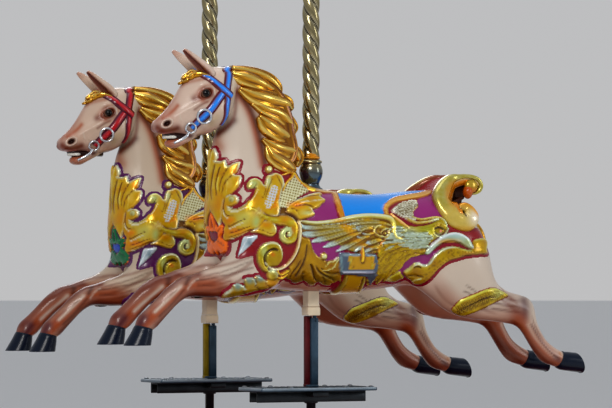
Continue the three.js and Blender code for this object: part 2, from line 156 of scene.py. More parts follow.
def saturated(colour, amount):
    """The same colour, further from grey."""
    grey = (colour @ np.array([0.30, 0.55, 0.15]))[..., None]
    return np.clip(grey + (colour - grey) * amount, 0, 1)


def mix(a, b, t):
    t = np.asarray(t, float)[..., None]
    return a * (1.0 - t) + b * t


def turns(count):
    """Angles evenly round a full turn."""
    return np.linspace(0, 2 * math.pi, count, endpoint=False)


def all_over(points, colour):
    """The same colour at every point."""
    return np.tile(colour, (len(points), 1))


def bell(value, centre=0.0, width=1.0):
    """1 at the centre, falling smoothly to 0 at both sides."""
    return np.exp(-(((value - centre) / width) ** 2))


# Meshes
def object_from(name, verts, faces, smooth=True):
    mesh = bpy.data.meshes.new(name)
    mesh.from_pydata(np.asarray(verts).tolist(), [], [list(map(int, f)) for f in faces])
    mesh.update()
    ob = bpy.data.objects.new(name, mesh)
    scene.collection.objects.link(ob)
    if smooth:
        ob.data.polygons.foreach_set("use_smooth", [True] * len(ob.data.polygons))
    return ob


def arrays(mesh):
    verts = np.zeros(len(mesh.vertices) * 3)
    mesh.vertices.foreach_get("co", verts)
    sizes = np.zeros(len(mesh.polygons), int)
    mesh.polygons.foreach_get("loop_total", sizes)
    loops = np.zeros(len(mesh.loops), int)
    mesh.loops.foreach_get("vertex_index", loops)
    if len(sizes) and (sizes == 4).all():
        faces = loops.reshape(-1, 4)
    else:
        ends = np.cumsum(sizes)
        faces = [loops[e - s : e] for s, e in zip(sizes, ends)]
    return verts.reshape(-1, 3), faces


def evaluated(ob):
    """Vertices and faces of an object with its modifiers applied; the object itself is removed."""
    graph = bpy.context.evaluated_depsgraph_get()
    mesh = bpy.data.meshes.new_from_object(ob.evaluated_get(graph))
    result = arrays(mesh)
    bpy.data.meshes.remove(mesh)
    bpy.data.objects.remove(ob)
    return result


def edges_of(faces):
    pairs = np.vstack([faces[:, [0, 1]], faces[:, [1, 2]], faces[:, [2, 3]], faces[:, [3, 0]]])
    pairs = np.sort(pairs, axis=1)
    return np.unique(pairs, axis=0)


def relax(verts, faces, weight, rounds):
    """Moves each vertex towards the mean of its neighbours."""
    edges = edges_of(faces)
    i, j = edges.T
    n = len(verts)
    degree = np.maximum(np.bincount(i, minlength=n) + np.bincount(j, minlength=n), 1)
    out = verts.copy()
    weight = np.broadcast_to(weight, n)[:, None]
    for _ in range(rounds):
        total = np.empty_like(out)
        for k in range(3):
            total[:, k] = np.bincount(i, out[j, k], n) + np.bincount(j, out[i, k], n)
        out += 0.6 * weight * (total / degree[:, None] - out)
    return out


def normals_of(verts, faces):
    a = verts[faces[:, 2]] - verts[faces[:, 0]]
    b = verts[faces[:, 3]] - verts[faces[:, 1]]
    face_normals = np.cross(a, b)
    out = np.zeros_like(verts)
    for c in range(4):
        for k in range(3):
            out[:, k] += np.bincount(faces[:, c], face_normals[:, k], len(verts))
    return out / np.maximum(np.linalg.norm(out, axis=1), 1e-12)[:, None]


def mirrored(verts, faces):
    return verts * [1, -1, 1], [list(f)[::-1] for f in faces]


def joined(pieces):
    """Several skins as one mesh."""
    verts, faces, start = [], [], 0
    for v, f in pieces:
        verts.append(np.asarray(v))
        faces += [[int(i) + start for i in face] for face in f]
        start += len(v)
    return np.vstack(verts), faces


def with_mirror(pieces):
    pieces = list(pieces)
    return joined(pieces + [mirrored(*p) for p in pieces])


def union_skin(pieces, voxel):
    """One closed skin of quads round several that overlap."""
    ob = object_from("union", *joined(pieces))
    remesh = ob.modifiers.new("voxels", "REMESH")
    remesh.mode = "VOXEL"
    remesh.voxel_size = voxel
    return evaluated(ob)


def subdivided(verts, faces):
    ob = object_from("subdivided", verts, faces)
    ob.modifiers.new("subdivide", "SUBSURF").levels = 1
    return evaluated(ob)


def split_where(verts, faces, chosen):
    """Splits the chosen quads in four; the quads beside them take in the new points along their edges."""
    ends = np.sort(np.stack([faces, np.roll(faces, -1, axis=1)], axis=2), axis=2)
    edges, edge_of = np.unique(ends.reshape(-1, 2), axis=0, return_inverse=True)
    edge_of = edge_of.reshape(-1, 4)
    cut = np.zeros(len(edges), bool)
    cut[edge_of[chosen]] = True
    middle = np.where(cut, len(verts) + np.cumsum(cut) - 1, -1)
    centres = verts[faces[chosen]].mean(axis=1)
    first_centre = len(verts) + cut.sum()
    split = []
    for centre, face in enumerate(np.flatnonzero(chosen)):
        m = middle[edge_of[face]]
        split += [[faces[face, k], m[k], first_centre + centre, m[k - 1]] for k in range(4)]
    for face in np.flatnonzero(~chosen):
        corners = zip(faces[face], middle[edge_of[face]])
        split.append([int(v) for pair in corners for v in pair if v >= 0])
    return np.vstack([verts, verts[edges[cut]].mean(axis=1), centres]), split


def ring_skin(rings, closed=True, caps=True, fold=False):
    """A skin over rings of points, all with the same count.

    A folded ring runs out and back, and its caps join the two runs.
    """
    rings = np.asarray(rings)
    rows, count = rings.shape[:2]
    verts = rings.reshape(-1, 3)
    faces = []
    for r in range(rows - 1):
        for i in range(count if closed else count - 1):
            a, b = r * count + i, r * count + (i + 1) % count
            faces.append([a, b, b + count, a + count])
    if fold:
        last = (rows - 1) * count
        for i in range(count // 2 - 1):
            back = count - 1 - i
            faces += [[i + 1, i, back, back - 1], [last + i, last + i + 1, last + back - 1, last + back]]
    elif caps and closed:
        ends = [rings[0].mean(0), rings[-1].mean(0)]
        verts = np.vstack([verts, ends])
        low, high, last = rows * count, rows * count + 1, (rows - 1) * count
        for i in range(count):
            j = (i + 1) % count
            faces += [[low, j, i], [high, last + i, last + j]]
    return verts, faces


def loft(sections, side=1.0, around=44, steps=5, square=1.0):
    """An oval skin through sections [top x, top z, bottom x, bottom z, half width, y], in mm."""
    rows = catmull(np.array(sections, float) * MM, steps)
    turn = turns(around)
    c, s = np.cos(turn), np.sin(turn)
    c, s = np.sign(c) * np.abs(c) ** square, np.sign(s) * np.abs(s) ** square
    zero = np.zeros(len(rows))
    centre = np.stack([(rows[:, 0] + rows[:, 2]) / 2, side * rows[:, 5], (rows[:, 1] + rows[:, 3]) / 2], 1)
    up = np.stack([(rows[:, 0] - rows[:, 2]) / 2, zero, (rows[:, 1] - rows[:, 3]) / 2], 1)
    out = np.stack([zero, np.maximum(rows[:, 4], 0.001), zero], 1)
    rings = centre[:, None] + up[:, None] * c[None, :, None] + out[:, None] * s[None, :, None]
    return ring_skin(rings)


# Sections of the carved horse, mm
TRUNK = [
    (-382, 640, -378, 560, 26, 0), (-362, 720, -360, 470, 66, 0), (-320, 750, -320, 390, 146, 0),
    (-230, 752, -230, 345, 168, 0), (-120, 722, -120, 334, 176, 0), (0, 684, 0, 326, 178, 0),
    (130, 668, 130, 326, 177, 0), (260, 668, 260, 336, 174, 0), (370, 680, 370, 352, 170, 0),
    (470, 682, 470, 370, 160, 0), (560, 640, 560, 390, 130, 0), (612, 575, 612, 410, 82, 0),
    (632, 520, 634, 440, 38, 0),
]
NECK = [
    (-30, 660, -330, 500, 110, 0), (-60, 740, -382, 660, 112, 0), (-100, 815, -384, 765, 86, 0),
    (-118, 900, -384, 828, 73, 0), (-135, 985, -366, 878, 67, 0), (-190, 1052, -348, 925, 62, 0),
    (-262, 1086, -345, 965, 56, 0), (-322, 1092, -362, 985, 50, 0),
]
HEAD = [
    (-290, 1086, -286, 990, 40, 0), (-318, 1092, -306, 975, 50, 0), (-368, 1096, -318, 932, 66, 0),
    (-418, 1086, -352, 892, 79, 0), (-462, 1064, -392, 868, 82, 0), (-497, 1018, -428, 858, 71, 0),
    (-526, 976, -462, 858, 57, 0), (-552, 944, -494, 862, 47, 0), (-576, 922, -528, 862, 43, 0),
    (-592, 902, -560, 860, 40, 0), (-600, 888, -584, 864, 28, 0),
]
JAW = [
    (-400, 930, -405, 870, 50, 0), (-430, 905, -425, 862, 44, 0), (-472, 868, -468, 838, 36, 0),
    (-510, 852, -508, 820, 31, 0), (-538, 848, -540, 817, 28, 0), (-554, 842, -556, 824, 18, 0),
]
FORELEG = [
    (-270, 590, -140, 380, 62, 80), (-345, 478, -215, 320, 62, 98), (-402, 428, -330, 306, 55, 107),
    (-456, 406, -420, 308, 47, 110), (-515, 385, -498, 312, 39, 110), (-566, 366, -524, 310, 38, 110),
    (-606, 338, -556, 291, 32, 110), (-642, 303, -592, 256, 28, 110), (-680, 268, -625, 222, 30, 110),
    (-706, 238, -642, 206, 34, 110), (-716, 214, -656, 200, 34, 110), (-720, 205, -660, 195, 33, 110),
]
HINDLEG = [
    (395, 620, 350, 350, 75, 78), (480, 620, 415, 300, 80, 93), (575, 585, 480, 246, 76, 105),
    (628, 490, 545, 227, 66, 113), (650, 388, 605, 220, 55, 118), (702, 334, 660, 217, 46, 120),
    (760, 318, 712, 215, 38, 120), (812, 286, 745, 206, 34, 120), (828, 226, 766, 190, 29, 120),
    (850, 182, 795, 148, 27, 120), (876, 148, 822, 110, 28, 120), (908, 128, 852, 79, 31, 120),
    (934, 117, 906, 61, 34, 120), (940, 115, 916, 57, 34, 120),
]
FORE_HOOF = [
    (-713, 218, -654, 203, 33, 110), (-718, 210, -655, 197, 36, 110), (-728, 192, -656, 182, 38, 110),
    (-752, 154, -660, 154, 43, 110), (-753, 151, -661, 151, 43, 110),
]
HIND_HOOF = [
    (930, 119, 906, 63, 33, 120), (941, 116, 916, 56, 36, 120), (955, 115, 936, 50, 39, 120),
    (984, 112, 1006, 41, 43, 120), (986, 112, 1009, 39, 43, 120),
]
SIDES = (-1.0, 1.0)


# Body
def bump(points, centre, radii, amount):
    """A soft swelling (or hollow) around a centre; both sides alike."""
    d = (folded(points) - np.array(centre) * MM) / (np.array(radii) * MM)
    return amount * MM * np.exp(-(d**2).sum(1))


def path_distance(points, path):
    """Distance from points (n, k) to a polyline (m, k), and where along it (0..1) the nearest point is."""
    best = np.full(len(points), 1e9)
    where = np.zeros(len(points))
    lengths = np.linalg.norm(np.diff(path, axis=0), axis=1)
    ends = np.concatenate([[0.0], np.cumsum(lengths)])
    for k, (a, b) in enumerate(zip(path[:-1], path[1:])):
        ab = b - a
        t = np.clip(((points - a) @ ab) / max(ab @ ab, 1e-12), 0, 1)
        d = np.linalg.norm(points - a - t[:, None] * ab, axis=1)
        near = d < best
        best[near] = d[near]
        where[near] = (ends[k] + t[near] * lengths[k]) / ends[-1]
    return best, where


BODY_VOXEL = 7.2 * MM

# Swellings of the carved body: centre, radii, height, all in mm
BODY_BUMPS = [
    ((-300, 150, 560), (90, 60, 110), 8), ((-180, 165, 470), (70, 50, 60), 6),
    ((-330, 110, 380), (70, 40, 50), 5), ((-380, 60, 600), (30, 45, 70), 6),
    ((520, 160, 470), (110, 60, 110), 9), ((430, 160, 370), (50, 50, 50), 5),
    ((340, 150, 400), (40, 60, 60), -6), ((590, 110, 360), (40, 40, 90), 5),
    ((-345, 70, 830), (25, 30, 50), -5), ((-535, 110, 372), (30, 30, 20), 5),
    ((-575, 110, 330), (22, 40, 22), 3), ((790, 120, 300), (26, 30, 24), 5),
    ((760, 120, 262), (40, 30, 30), -3), ((-690, 110, 245), (20, 30, 20), 4),
    ((868, 120, 120), (26, 30, 24), 4),
]
# Grooves cut along the muscles: path of x, z points on a leg's outer face, y, width and depth, in mm
GROOVES = [
    ([(-250, 470), (-330, 410), (-430, 365), (-520, 345)], 155, 7, 4.0),
    ([(-300, 400), (-380, 352), (-470, 330)], 155, 6, 3.0),
    ([(-236, 345), (-300, 330), (-400, 316)], 140, 7, 3.5),
    ([(-560, 350), (-640, 285), (-690, 235)], 137, 5, 2.5),
    ([(630, 350), (668, 300), (715, 266), (775, 245)], 150, 8, 4.0),
    ([(540, 300), (590, 268), (660, 245)], 170, 8, 3.5),
    ([(640, 400), (690, 320), (740, 285)], 150, 6, 3.0),
    ([(790, 250), (815, 200), (850, 150)], 147, 5, 2.5),
    ([(400, 360), (450, 300), (520, 262)], 150, 7, 3.0),
]


def groove_field(points):
    """How deep each point lies in the muscle grooves, 0 to 1 and in metres."""
    flat = folded(points)
    mask = np.zeros(len(points))
    depth = np.zeros(len(points))
    for path, y, width, deep in GROOVES:
        line = catmull(np.array([(x, y, z) for x, z in path], float) * MM, 6)
        near = np.all(np.abs(flat - line.mean(0)) < 0.3, axis=1)
        d, where = path_distance(flat[near] * [1, 0.35, 1], line * [1, 0.35, 1])
        fade = np.sin(np.pi * np.clip(where, 0.02, 0.98)) ** 0.5
        cut = np.exp(-((d / (width * MM)) ** 2)) * fade
        mask[near] = np.maximum(mask[near], cut)
        depth[near] = np.maximum(depth[near], cut * deep * MM)
    return mask, depth


def build_body():
    pieces = [loft(TRUNK, square=0.93), loft(NECK)]
    for side in SIDES:
        pieces += [loft(FORELEG, side, around=32), loft(HINDLEG, side, around=32)]
    verts, faces = union_skin(pieces, BODY_VOXEL)
    x = verts[:, 0]
    trunk = smoothstep(-0.46, -0.36, x) * (1 - smoothstep(0.60, 0.72, x))
    verts = relax(verts, faces, 1.0, 6)
    verts = relax(verts, faces, trunk, 70)
    normal = normals_of(verts, faces)
    lift = sum(bump(verts, *spec) for spec in BODY_BUMPS)
    lift -= groove_field(verts)[1]
    verts = verts + normal * lift[:, None]
    return relax(verts, faces, 1.0, 2), faces


BODY_VERTS, BODY_FACES = build_body()


# Paint
CREAM = srgb(204, 188, 172)
PINK = srgb(214, 168, 150)
ORANGE = srgb(160, 70, 18)
RUST = srgb(108, 38, 8)
BROWN = srgb(68, 22, 6)
UMBER = srgb(50, 20, 10)
PLUM = srgb(78, 32, 42)
SCHEMES = {
    "outer": {
        "coat": CREAM, "outline": srgb(138, 4, 34), "bridle": srgb(0, 146, 255), "piping": srgb(96, 2, 12),
        "crimson": srgb(142, 0, 14), "magenta": srgb(148, 38, 116), "seat": srgb(0, 138, 232),
        "petal": srgb(232, 110, 8), "centre": srgb(120, 4, 40),
    },
    "middle": {
        "coat": srgb(196, 178, 158), "outline": srgb(88, 18, 86), "bridle": srgb(196, 10, 26),
        "piping": srgb(84, 8, 40), "crimson": srgb(86, 20, 84), "magenta": srgb(86, 26, 112),
        "seat": srgb(176, 14, 36), "petal": srgb(0, 108, 62), "centre": srgb(0, 60, 170),
    },
}


# Airbrushed shading of legs, neck and belly as the camera sees it, with painted shade under the forearms,
# flanks, jaw, mane and belly and in the grooves, and painted highlights down the legs: window, colour,
# strength, width, path
SPRAYS = [
    (
        "legs", ORANGE, 0.92, 80,
        [(1130, 590), (1010, 590), (900, 620), (770, 720), (640, 830), (560, 900), (480, 970)],
    ),
    ("legs", ORANGE, 0.85, 72, [(600, 850), (520, 930), (450, 1000)]),
    # painted shade under the forearm
    ("legs", ORANGE, 0.80, 66, [(1240, 690), (1120, 670), (1000, 650)]),
    ("legs", RUST, 0.92, 42, [(1000, 500), (890, 520), (790, 570), (640, 690), (520, 800), (430, 900)]),
    # painted shade under the forearm and along the back of the cannon, darkest in the brown stroke
    (
        "legs", RUST, 0.92, 52,
        [(1200, 700), (1060, 690), (950, 690), (890, 730), (800, 820), (700, 910), (630, 975)],
    ),
    ("legs", BROWN, 0.85, 26, [(1220, 712), (1060, 708), (950, 712), (890, 760), (810, 840)]),
    # painted highlights: a pale streak down the cannon and a small one at the knee
    ("legs", CREAM, 0.85, 18, [(835, 615), (760, 690), (690, 760), (600, 845)]),
    ("legs", CREAM, 0.60, 9, [(1000, 540), (940, 580), (900, 640)]),
    ("legs", BROWN, 0.75, 22, [(915, 535), (885, 590)]),
    ("legs", PLUM, 0.9, 46, [(500, 905), (440, 990)]),
    # dark lines along the tendon and the muscle grooves: painted shade in the grooves
    ("legs", BROWN, 0.55, 12, [(870, 640), (760, 770), (640, 890)]),
    ("legs", BROWN, 0.60, 11, [(1500, 440), (1300, 500), (1100, 540), (980, 560)]),
    ("legs", BROWN, 0.50, 9, [(1480, 380), (1250, 470), (1050, 520)]),
    ("legs", BROWN, 0.60, 12, [(1300, 560), (1150, 600), (1000, 600)]),
    ("legs", RUST, 0.55, 16, [(1500, 330), (1300, 400), (1120, 440), (1010, 470)]),
    (
        # orange, brown and rust along the underside of the flank and gaskin: painted shade
        "haunch", ORANGE, 0.66, 42,
        [(-60, 850), (110, 885), (220, 950), (330, 1010), (450, 1055), (600, 1085), (760, 1095)],
    ),
    ("haunch", BROWN, 0.60, 34, [(-60, 870), (100, 905), (230, 980), (340, 1050)]),
    ("haunch", RUST, 0.60, 26, [(460, 1045), (620, 1070), (760, 1085), (860, 1085)]),
    # brown lines along the cords of the hock: painted shade in the grooves between them
    ("haunch", BROWN, 0.65, 9, [(690, 915), (790, 935), (890, 950)]),
    ("haunch", BROWN, 0.65, 9, [(690, 960), (790, 975), (890, 992)]),
    ("haunch", BROWN, 0.55, 8, [(720, 885), (800, 890), (880, 905)]),
    ("haunch", RUST, 0.60, 60, [(820, 900), (860, 960), (880, 1030)]),
    ("haunch", PLUM, 0.75, 40, [(925, 900), (935, 960), (925, 1020)]),
    ("haunch", srgb(190, 140, 100), 0.85, 10, [(1192, 1290), (1204, 1350), (1216, 1410)]),
    ("haunch", ORANGE, 0.90, 66, [(880, 1060), (960, 1150), (1040, 1240), (1120, 1320), (1180, 1370)]),
    ("haunch", RUST, 0.90, 36, [(850, 1085), (930, 1190), (1020, 1290), (1120, 1380)]),
    # painted highlight along the shank
    ("haunch", CREAM, 0.45, 12, [(955, 1080), (1010, 1180), (1090, 1270), (1160, 1330)]),
    ("haunch", BROWN, 0.70, 8, [(980, 1080), (1045, 1190), (1120, 1280), (1190, 1335)]),
    ("haunch", PLUM, 0.60, 24, [(1160, 1330), (1190, 1350)]),
    ("haunch", BROWN, 0.60, 7, [(500, 790), (560, 830)]),
    ("haunch", BROWN, 0.60, 7, [(480, 830), (530, 852)]),
    # orange and brown beside the mane: painted shadow cast by the mane
    ("photo", ORANGE, 0.90, 4.6, [(233, 88), (240, 96), (248, 108), (254, 125), (259, 145), (263, 165)]),
    ("photo", BROWN, 0.80, 3.0, [(238, 92), (245, 101), (252, 113), (257.5, 128), (262, 146), (266, 166)]),
    # painted shade under the jaw and along the back of the head
    ("photo", BROWN, 0.80, 3.6, [(218, 134), (226, 128), (234, 120.5)]),
    ("photo", ORANGE, 0.60, 7.0, [(211, 131), (214, 139), (219, 147)]),
    (
        "photo", RUST, 0.70, 2.4,
        [(234.8, 86.5), (235.8, 102.4), (233.5, 118.3), (226.5, 127.3), (217, 134.3)],
    ),
    # painted shade under the belly
    ("photo", BROWN, 0.85, 5.0, [(222, 291), (250, 299), (280, 303), (320, 304), (360, 301), (395, 294)]),
    ("photo", ORANGE, 0.60, 9.0, [(222, 287), (260, 294), (320, 299), (380, 294)]),
]
HEAD_SPRAYS = [
    ("head", RUST, 0.80, 58, [(690, 845), (780, 820), (890, 800), (960, 770)]),
    ("head", BROWN, 0.85, 66, [(850, 745), (900, 765)]), ("head", RUST, 0.65, 46, [(870, 690), (930, 690)]),
    # painted highlight on the rim of the eye socket
    ("head", CREAM, 0.85, 12, [(955, 600), (1000, 665), (1020, 770)]),
    ("head", ORANGE, 0.75, 36, [(430, 950), (380, 1010), (300, 1080), (200, 1150)]),
    ("head", ORANGE, 0.45, 30, [(450, 660), (560, 600), (700, 560), (820, 530)]),
    ("head", RUST, 0.90, 58, [(110, 1290), (200, 1350), (300, 1350), (430, 1300)]),
    ("head", srgb(196, 116, 104), 0.70, 22, [(140, 1400), (230, 1395), (330, 1385)]),
    ("head", ORANGE, 0.75, 52, [(180, 1490), (300, 1510), (440, 1480)]),
    ("head", CREAM, 0.80, 9, [(468, 1090), (488, 1175)]),
    ("head", RUST, 0.60, 22, [(700, 1010), (800, 940), (900, 890)]),
    ("head", srgb(180, 160, 120), 0.50, 70, [(960, 1230), (1060, 1120)]),
    # painted shade under the jaw
    ("head", BROWN, 0.60, 26, [(1100, 1330), (1000, 1385), (900, 1405), (740, 1420)]),
]


def airbrushed(colour, points, sprays):
    """Sprays each stroke over the colour of the points it is seen to cross."""
    spots = in_photo(points)
    for window, tint, strength, width, path in sprays:
        left, top, times = WINDOWS[window]
        line = np.array(path, float) / times + [left, top]
        line = catmull(line, 4)
        reach = 2.4 * width / times
        near = np.all((spots > line.min(0) - reach) & (spots < line.max(0) + reach), axis=1)
        d, _ = path_distance(spots[near], line)
        colour[near] = mix(colour[near], tint, strength * np.exp(-((d * times / width) ** 2)))
    return colour


def paint_body(points, scheme):
    x, y, z = points.T
    away = np.abs(y)
    colour = all_over(points, scheme["coat"])
    belly = (1 - smoothstep(0.335, 0.43, z)) * smoothstep(-0.32, -0.2, x) * (1 - smoothstep(0.34, 0.46, x))
    colour = mix(colour, PINK, 0.9 * belly)
    # darker still towards the bottom of the belly: painted shade
    colour = mix(colour, BROWN, 0.45 * (1 - smoothstep(0.30, 0.36, z)) * belly)
    # orange on the inner sides of the legs and under the body: painted shade between the legs
    inner = (1 - smoothstep(0.07, 0.125, away)) * (1 - smoothstep(0.36, 0.45, z))
    colour = mix(colour, ORANGE, 0.6 * inner)
    low = np.interp(x, [0.40, 0.50, 0.60, 0.70, 0.76], [0.35, 0.27, 0.235, 0.235, 0.235])
    under = 1 - smoothstep(0.0, 0.07, z - low)
    shade = under * smoothstep(0.38, 0.46, x) * (1 - smoothstep(0.74, 0.80, x))
    colour = mix(colour, ORANGE, 0.5 * shade)
    colour = airbrushed(colour, points, SPRAYS)
    # darker in the muscle grooves: painted shade
    grooves = groove_field(points)[0]
    colour = mix(colour, RUST, 0.5 * smoothstep(0.15, 0.9, grooves))
    return np.clip(colour, 0, 1), np.zeros(len(points))


# Materials
SPECULAR, COAT_ROUGHNESS = 0.3, 0.14
PATCH_SHARE = 0.22  # scale of the mottling against that of the bump


def set_inputs(tree, node, inputs):
    """Gives a node's inputs their values, and links those whose value is another node's output."""
    for key, value in inputs.items():
        if isinstance(value, bpy.types.NodeSocket):
            tree.links.new(value, node.inputs[key])
        else:
            node.inputs[key].default_value = value


def add_node(tree, kind, inputs=None, **settings):
    node = tree.nodes.new("ShaderNode" + kind)
    for key, value in settings.items():
        setattr(node, key, value)
    set_inputs(tree, node, inputs or {})
    return node


def attribute(tree, name):
    return add_node(tree, "Attribute", attribute_type="GEOMETRY", attribute_name=name)


def tone_between(tree, value, low, high, dark, light):
    """Maps a value between low and high to a tone between dark and light."""
    inputs = {"Value": value, "From Min": low, "From Max": high, "To Min": dark, "To Max": light}
    return add_node(tree, "MapRange", inputs).outputs["Result"]


def darkened(tree, colour, tone):
    inputs = {"Factor": 1.0, "A": colour, "B": tone}
    return add_node(tree, "Mix", inputs, data_type="RGBA", blend_type="MULTIPLY").outputs["Result"]


def raised(tree, height, strength, distance):
    inputs = {"Height": height, "Strength": strength, "Distance": distance}
    return add_node(tree, "Bump", inputs).outputs["Normal"]


def material(
    name, colour=None, metallic=0.0, roughness=0.4, coat=0.0, bump=0.0, bump_scale=60.0, mottle=0.0,
):
    """A procedural material. With no colour, colour and gilding come from the mesh's paint attributes."""
    mat = bpy.data.materials.new(name)
    mat.use_nodes = True
    tree = mat.node_tree
    place = add_node(tree, "TexCoord").outputs["Object"]
    inputs = {"Coat Weight": coat, "Coat Roughness": COAT_ROUGHNESS, "Roughness": roughness}
    inputs |= {"Metallic": metallic, "Specular IOR Level": SPECULAR}
    if colour is None:
        base = attribute(tree, "Paint").outputs["Color"]
        inputs["Metallic"] = attribute(tree, "Gild").outputs["Fac"]
    else:
        base = inputs["Base Color"] = (*colour, 1.0)
    if colour is None or mottle:
        patches = add_node(
            tree, "TexNoise", {"Vector": place, "Scale": bump_scale * PATCH_SHARE, "Detail": 3.0},
        )
        tone = tone_between(tree, patches.outputs["Fac"], 0.3, 0.7, 1.0 - mottle, 1.0)
        inputs["Base Color"] = darkened(tree, base, tone)
    if bump:
        noise = add_node(tree, "TexNoise", {"Vector": place, "Scale": bump_scale, "Detail": 5.0})
        inputs["Normal"] = raised(tree, noise.outputs["Fac"], bump, 0.004)
    set_inputs(tree, tree.nodes["Principled BSDF"], inputs)
    return mat


COAT_PAINT = material("varnished_coat", roughness=0.38, coat=0.28, bump=0.10, bump_scale=26.0, mottle=0.05)
HOOF_PAINT = material("hoof_black", colour=(0.003, 0.008, 0.022), roughness=0.26, bump=0.08)


# Pieces of both horses
def painted_object(name, verts, faces, paint, mat):
    ob = object_from(name, verts, faces)
    colour, gild = paint
    data = ob.data
    rgba = np.ones((len(verts), 4), np.float32)
    rgba[:, :3] = colour
    layer = data.attributes.new("Paint", "FLOAT_COLOR", "POINT")
    layer.data.foreach_set("color", rgba.ravel())
    layer = data.attributes.new("Gild", "FLOAT", "POINT")
    layer.data.foreach_set("value", np.asarray(gild, np.float32).ravel())
    data.materials.append(mat)
    return ob


def place_on_horse(horse, ob, *nodes, slot="coat"):
    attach(ob, f"{horse}_horse")
    if nodes:
        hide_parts(*[f"{horse}_{n}" for n in nodes])
    return ob


def both_horses(name, verts, faces, painter, mat, nodes=(), slot="coat"):
    """The same carving on both horses, each painted in its own scheme."""
    for horse in HORSES:
        scheme = SCHEMES[horse]
        ob = painted_object(f"{horse}_{name}", verts + ORIGIN[horse], faces, painter(verts, scheme), mat)
        place_on_horse(horse, ob, *nodes, slot=slot.format(horse=horse))


both_horses(
    "carved_body",
    BODY_VERTS,
    BODY_FACES,
    paint_body,
    COAT_PAINT,
    ["body", "foreleg_near", "foreleg_off", "hindleg_near", "hindleg_off"],
)


# Head
HEAD_VOXEL = 5.5 * MM
EYE_AT = np.array([-434.5, 67.0, 999.5]) * MM
EYE_RADIUS = 17 * MM
NOSTRIL_AT = np.array([-567.0, 42.0, 897.0]) * MM
HEAD_BUMPS = [
    ((-446, 74, 1033), (30, 18, 13), 6), ((-438, 80, 1000), (22, 22, 18), -9),
    ((-492, 62, 985), (34, 22, 24), -4), ((-384, 66, 930), (44, 26, 46), 8),
    ((-420, 66, 1052), (20, 18, 18), -5), ((-500, 0, 1040), (40, 26, 40), 3),
    ((-566, 42, 900), (27, 18, 24), 7), ((-596, 16, 874), (20, 30, 13), 5),
    ((-548, 44, 872), (26, 16, 9), -4), ((-524, 15, 822), (22, 24, 12), 5),
    ((-430, 60, 890), (34, 20, 16), -4), ((-345, 45, 905), (16, 40, 30), -4),
]
FACE_LINES = [
    ([(-455, 70, 968), (-495, 60, 945), (-530, 50, 925)], 8, 3.5),
    ([(-425, 62, 905), (-450, 60, 890), (-490, 52, 880)], 9, -2.0),
    ([(-520, 46, 905), (-512, 50, 888), (-515, 50, 872)], 3.5, -2.2),
    ([(-508, 48, 908), (-499, 52, 890), (-503, 52, 874)], 3.5, -2.0),
    ([(-400, 72, 1030), (-382, 74, 1005), (-392, 76, 980)], 5, -2.5),
]


def oval_distance(points, centre, radii, tilt):
    """Distance from a tilted oval's centre in the side view, in units of its radii."""
    d = (folded(points) - centre)[:, [0, 2]]
    c, s = math.cos(math.radians(tilt)), math.sin(math.radians(tilt))
    along, across = d[:, 0] * c + d[:, 1] * s, -d[:, 0] * s + d[:, 1] * c
    return np.hypot(along / (radii[0] * MM), across / (radii[1] * MM))


def eye_distance(points):
    return oval_distance(points, EYE_AT, (21, 14), 30)


def nostril_distance(points):
    return oval_distance(points, NOSTRIL_AT, (17, 11), 30)


def build_head():
    verts, faces = union_skin([loft(HEAD, around=48, square=0.88), loft(JAW, around=32)], HEAD_VOXEL)
    verts = relax(verts, faces, 1.0, 10)
    verts, faces = subdivided(verts, faces)
    normal = normals_of(verts, faces)
    lift = sum(bump(verts, *spec) for spec in HEAD_BUMPS)
    flat = folded(verts)
    for path, width, height in FACE_LINES:
        line = catmull(np.array(path, float) * MM, 6)
        d, _ = path_distance(flat, line)
        lift += height * MM * np.exp(-((d / (width * MM)) ** 2))
    verts = verts + normal * lift[:, None]
    normal = normals_of(verts, faces)
    side = np.abs(verts[:, 1]) > 0.02
    eye = eye_distance(verts)
    lift = side * 5.0 * MM * np.exp(-(((eye - 1.12) / 0.2) ** 2))
    lift -= side * 8.0 * MM * (1 - smoothstep(0.6, 1.0, eye))
    hole = nostril_distance(verts)
    lift += side * 4.5 * MM * np.exp(-(((hole - 1.15) / 0.25) ** 2))
    lift -= side * 15.0 * MM * (1 - smoothstep(0.35, 0.95, hole))
    verts = verts + normal * lift[:, None]
    return relax(verts, faces, 1.0, 1), faces


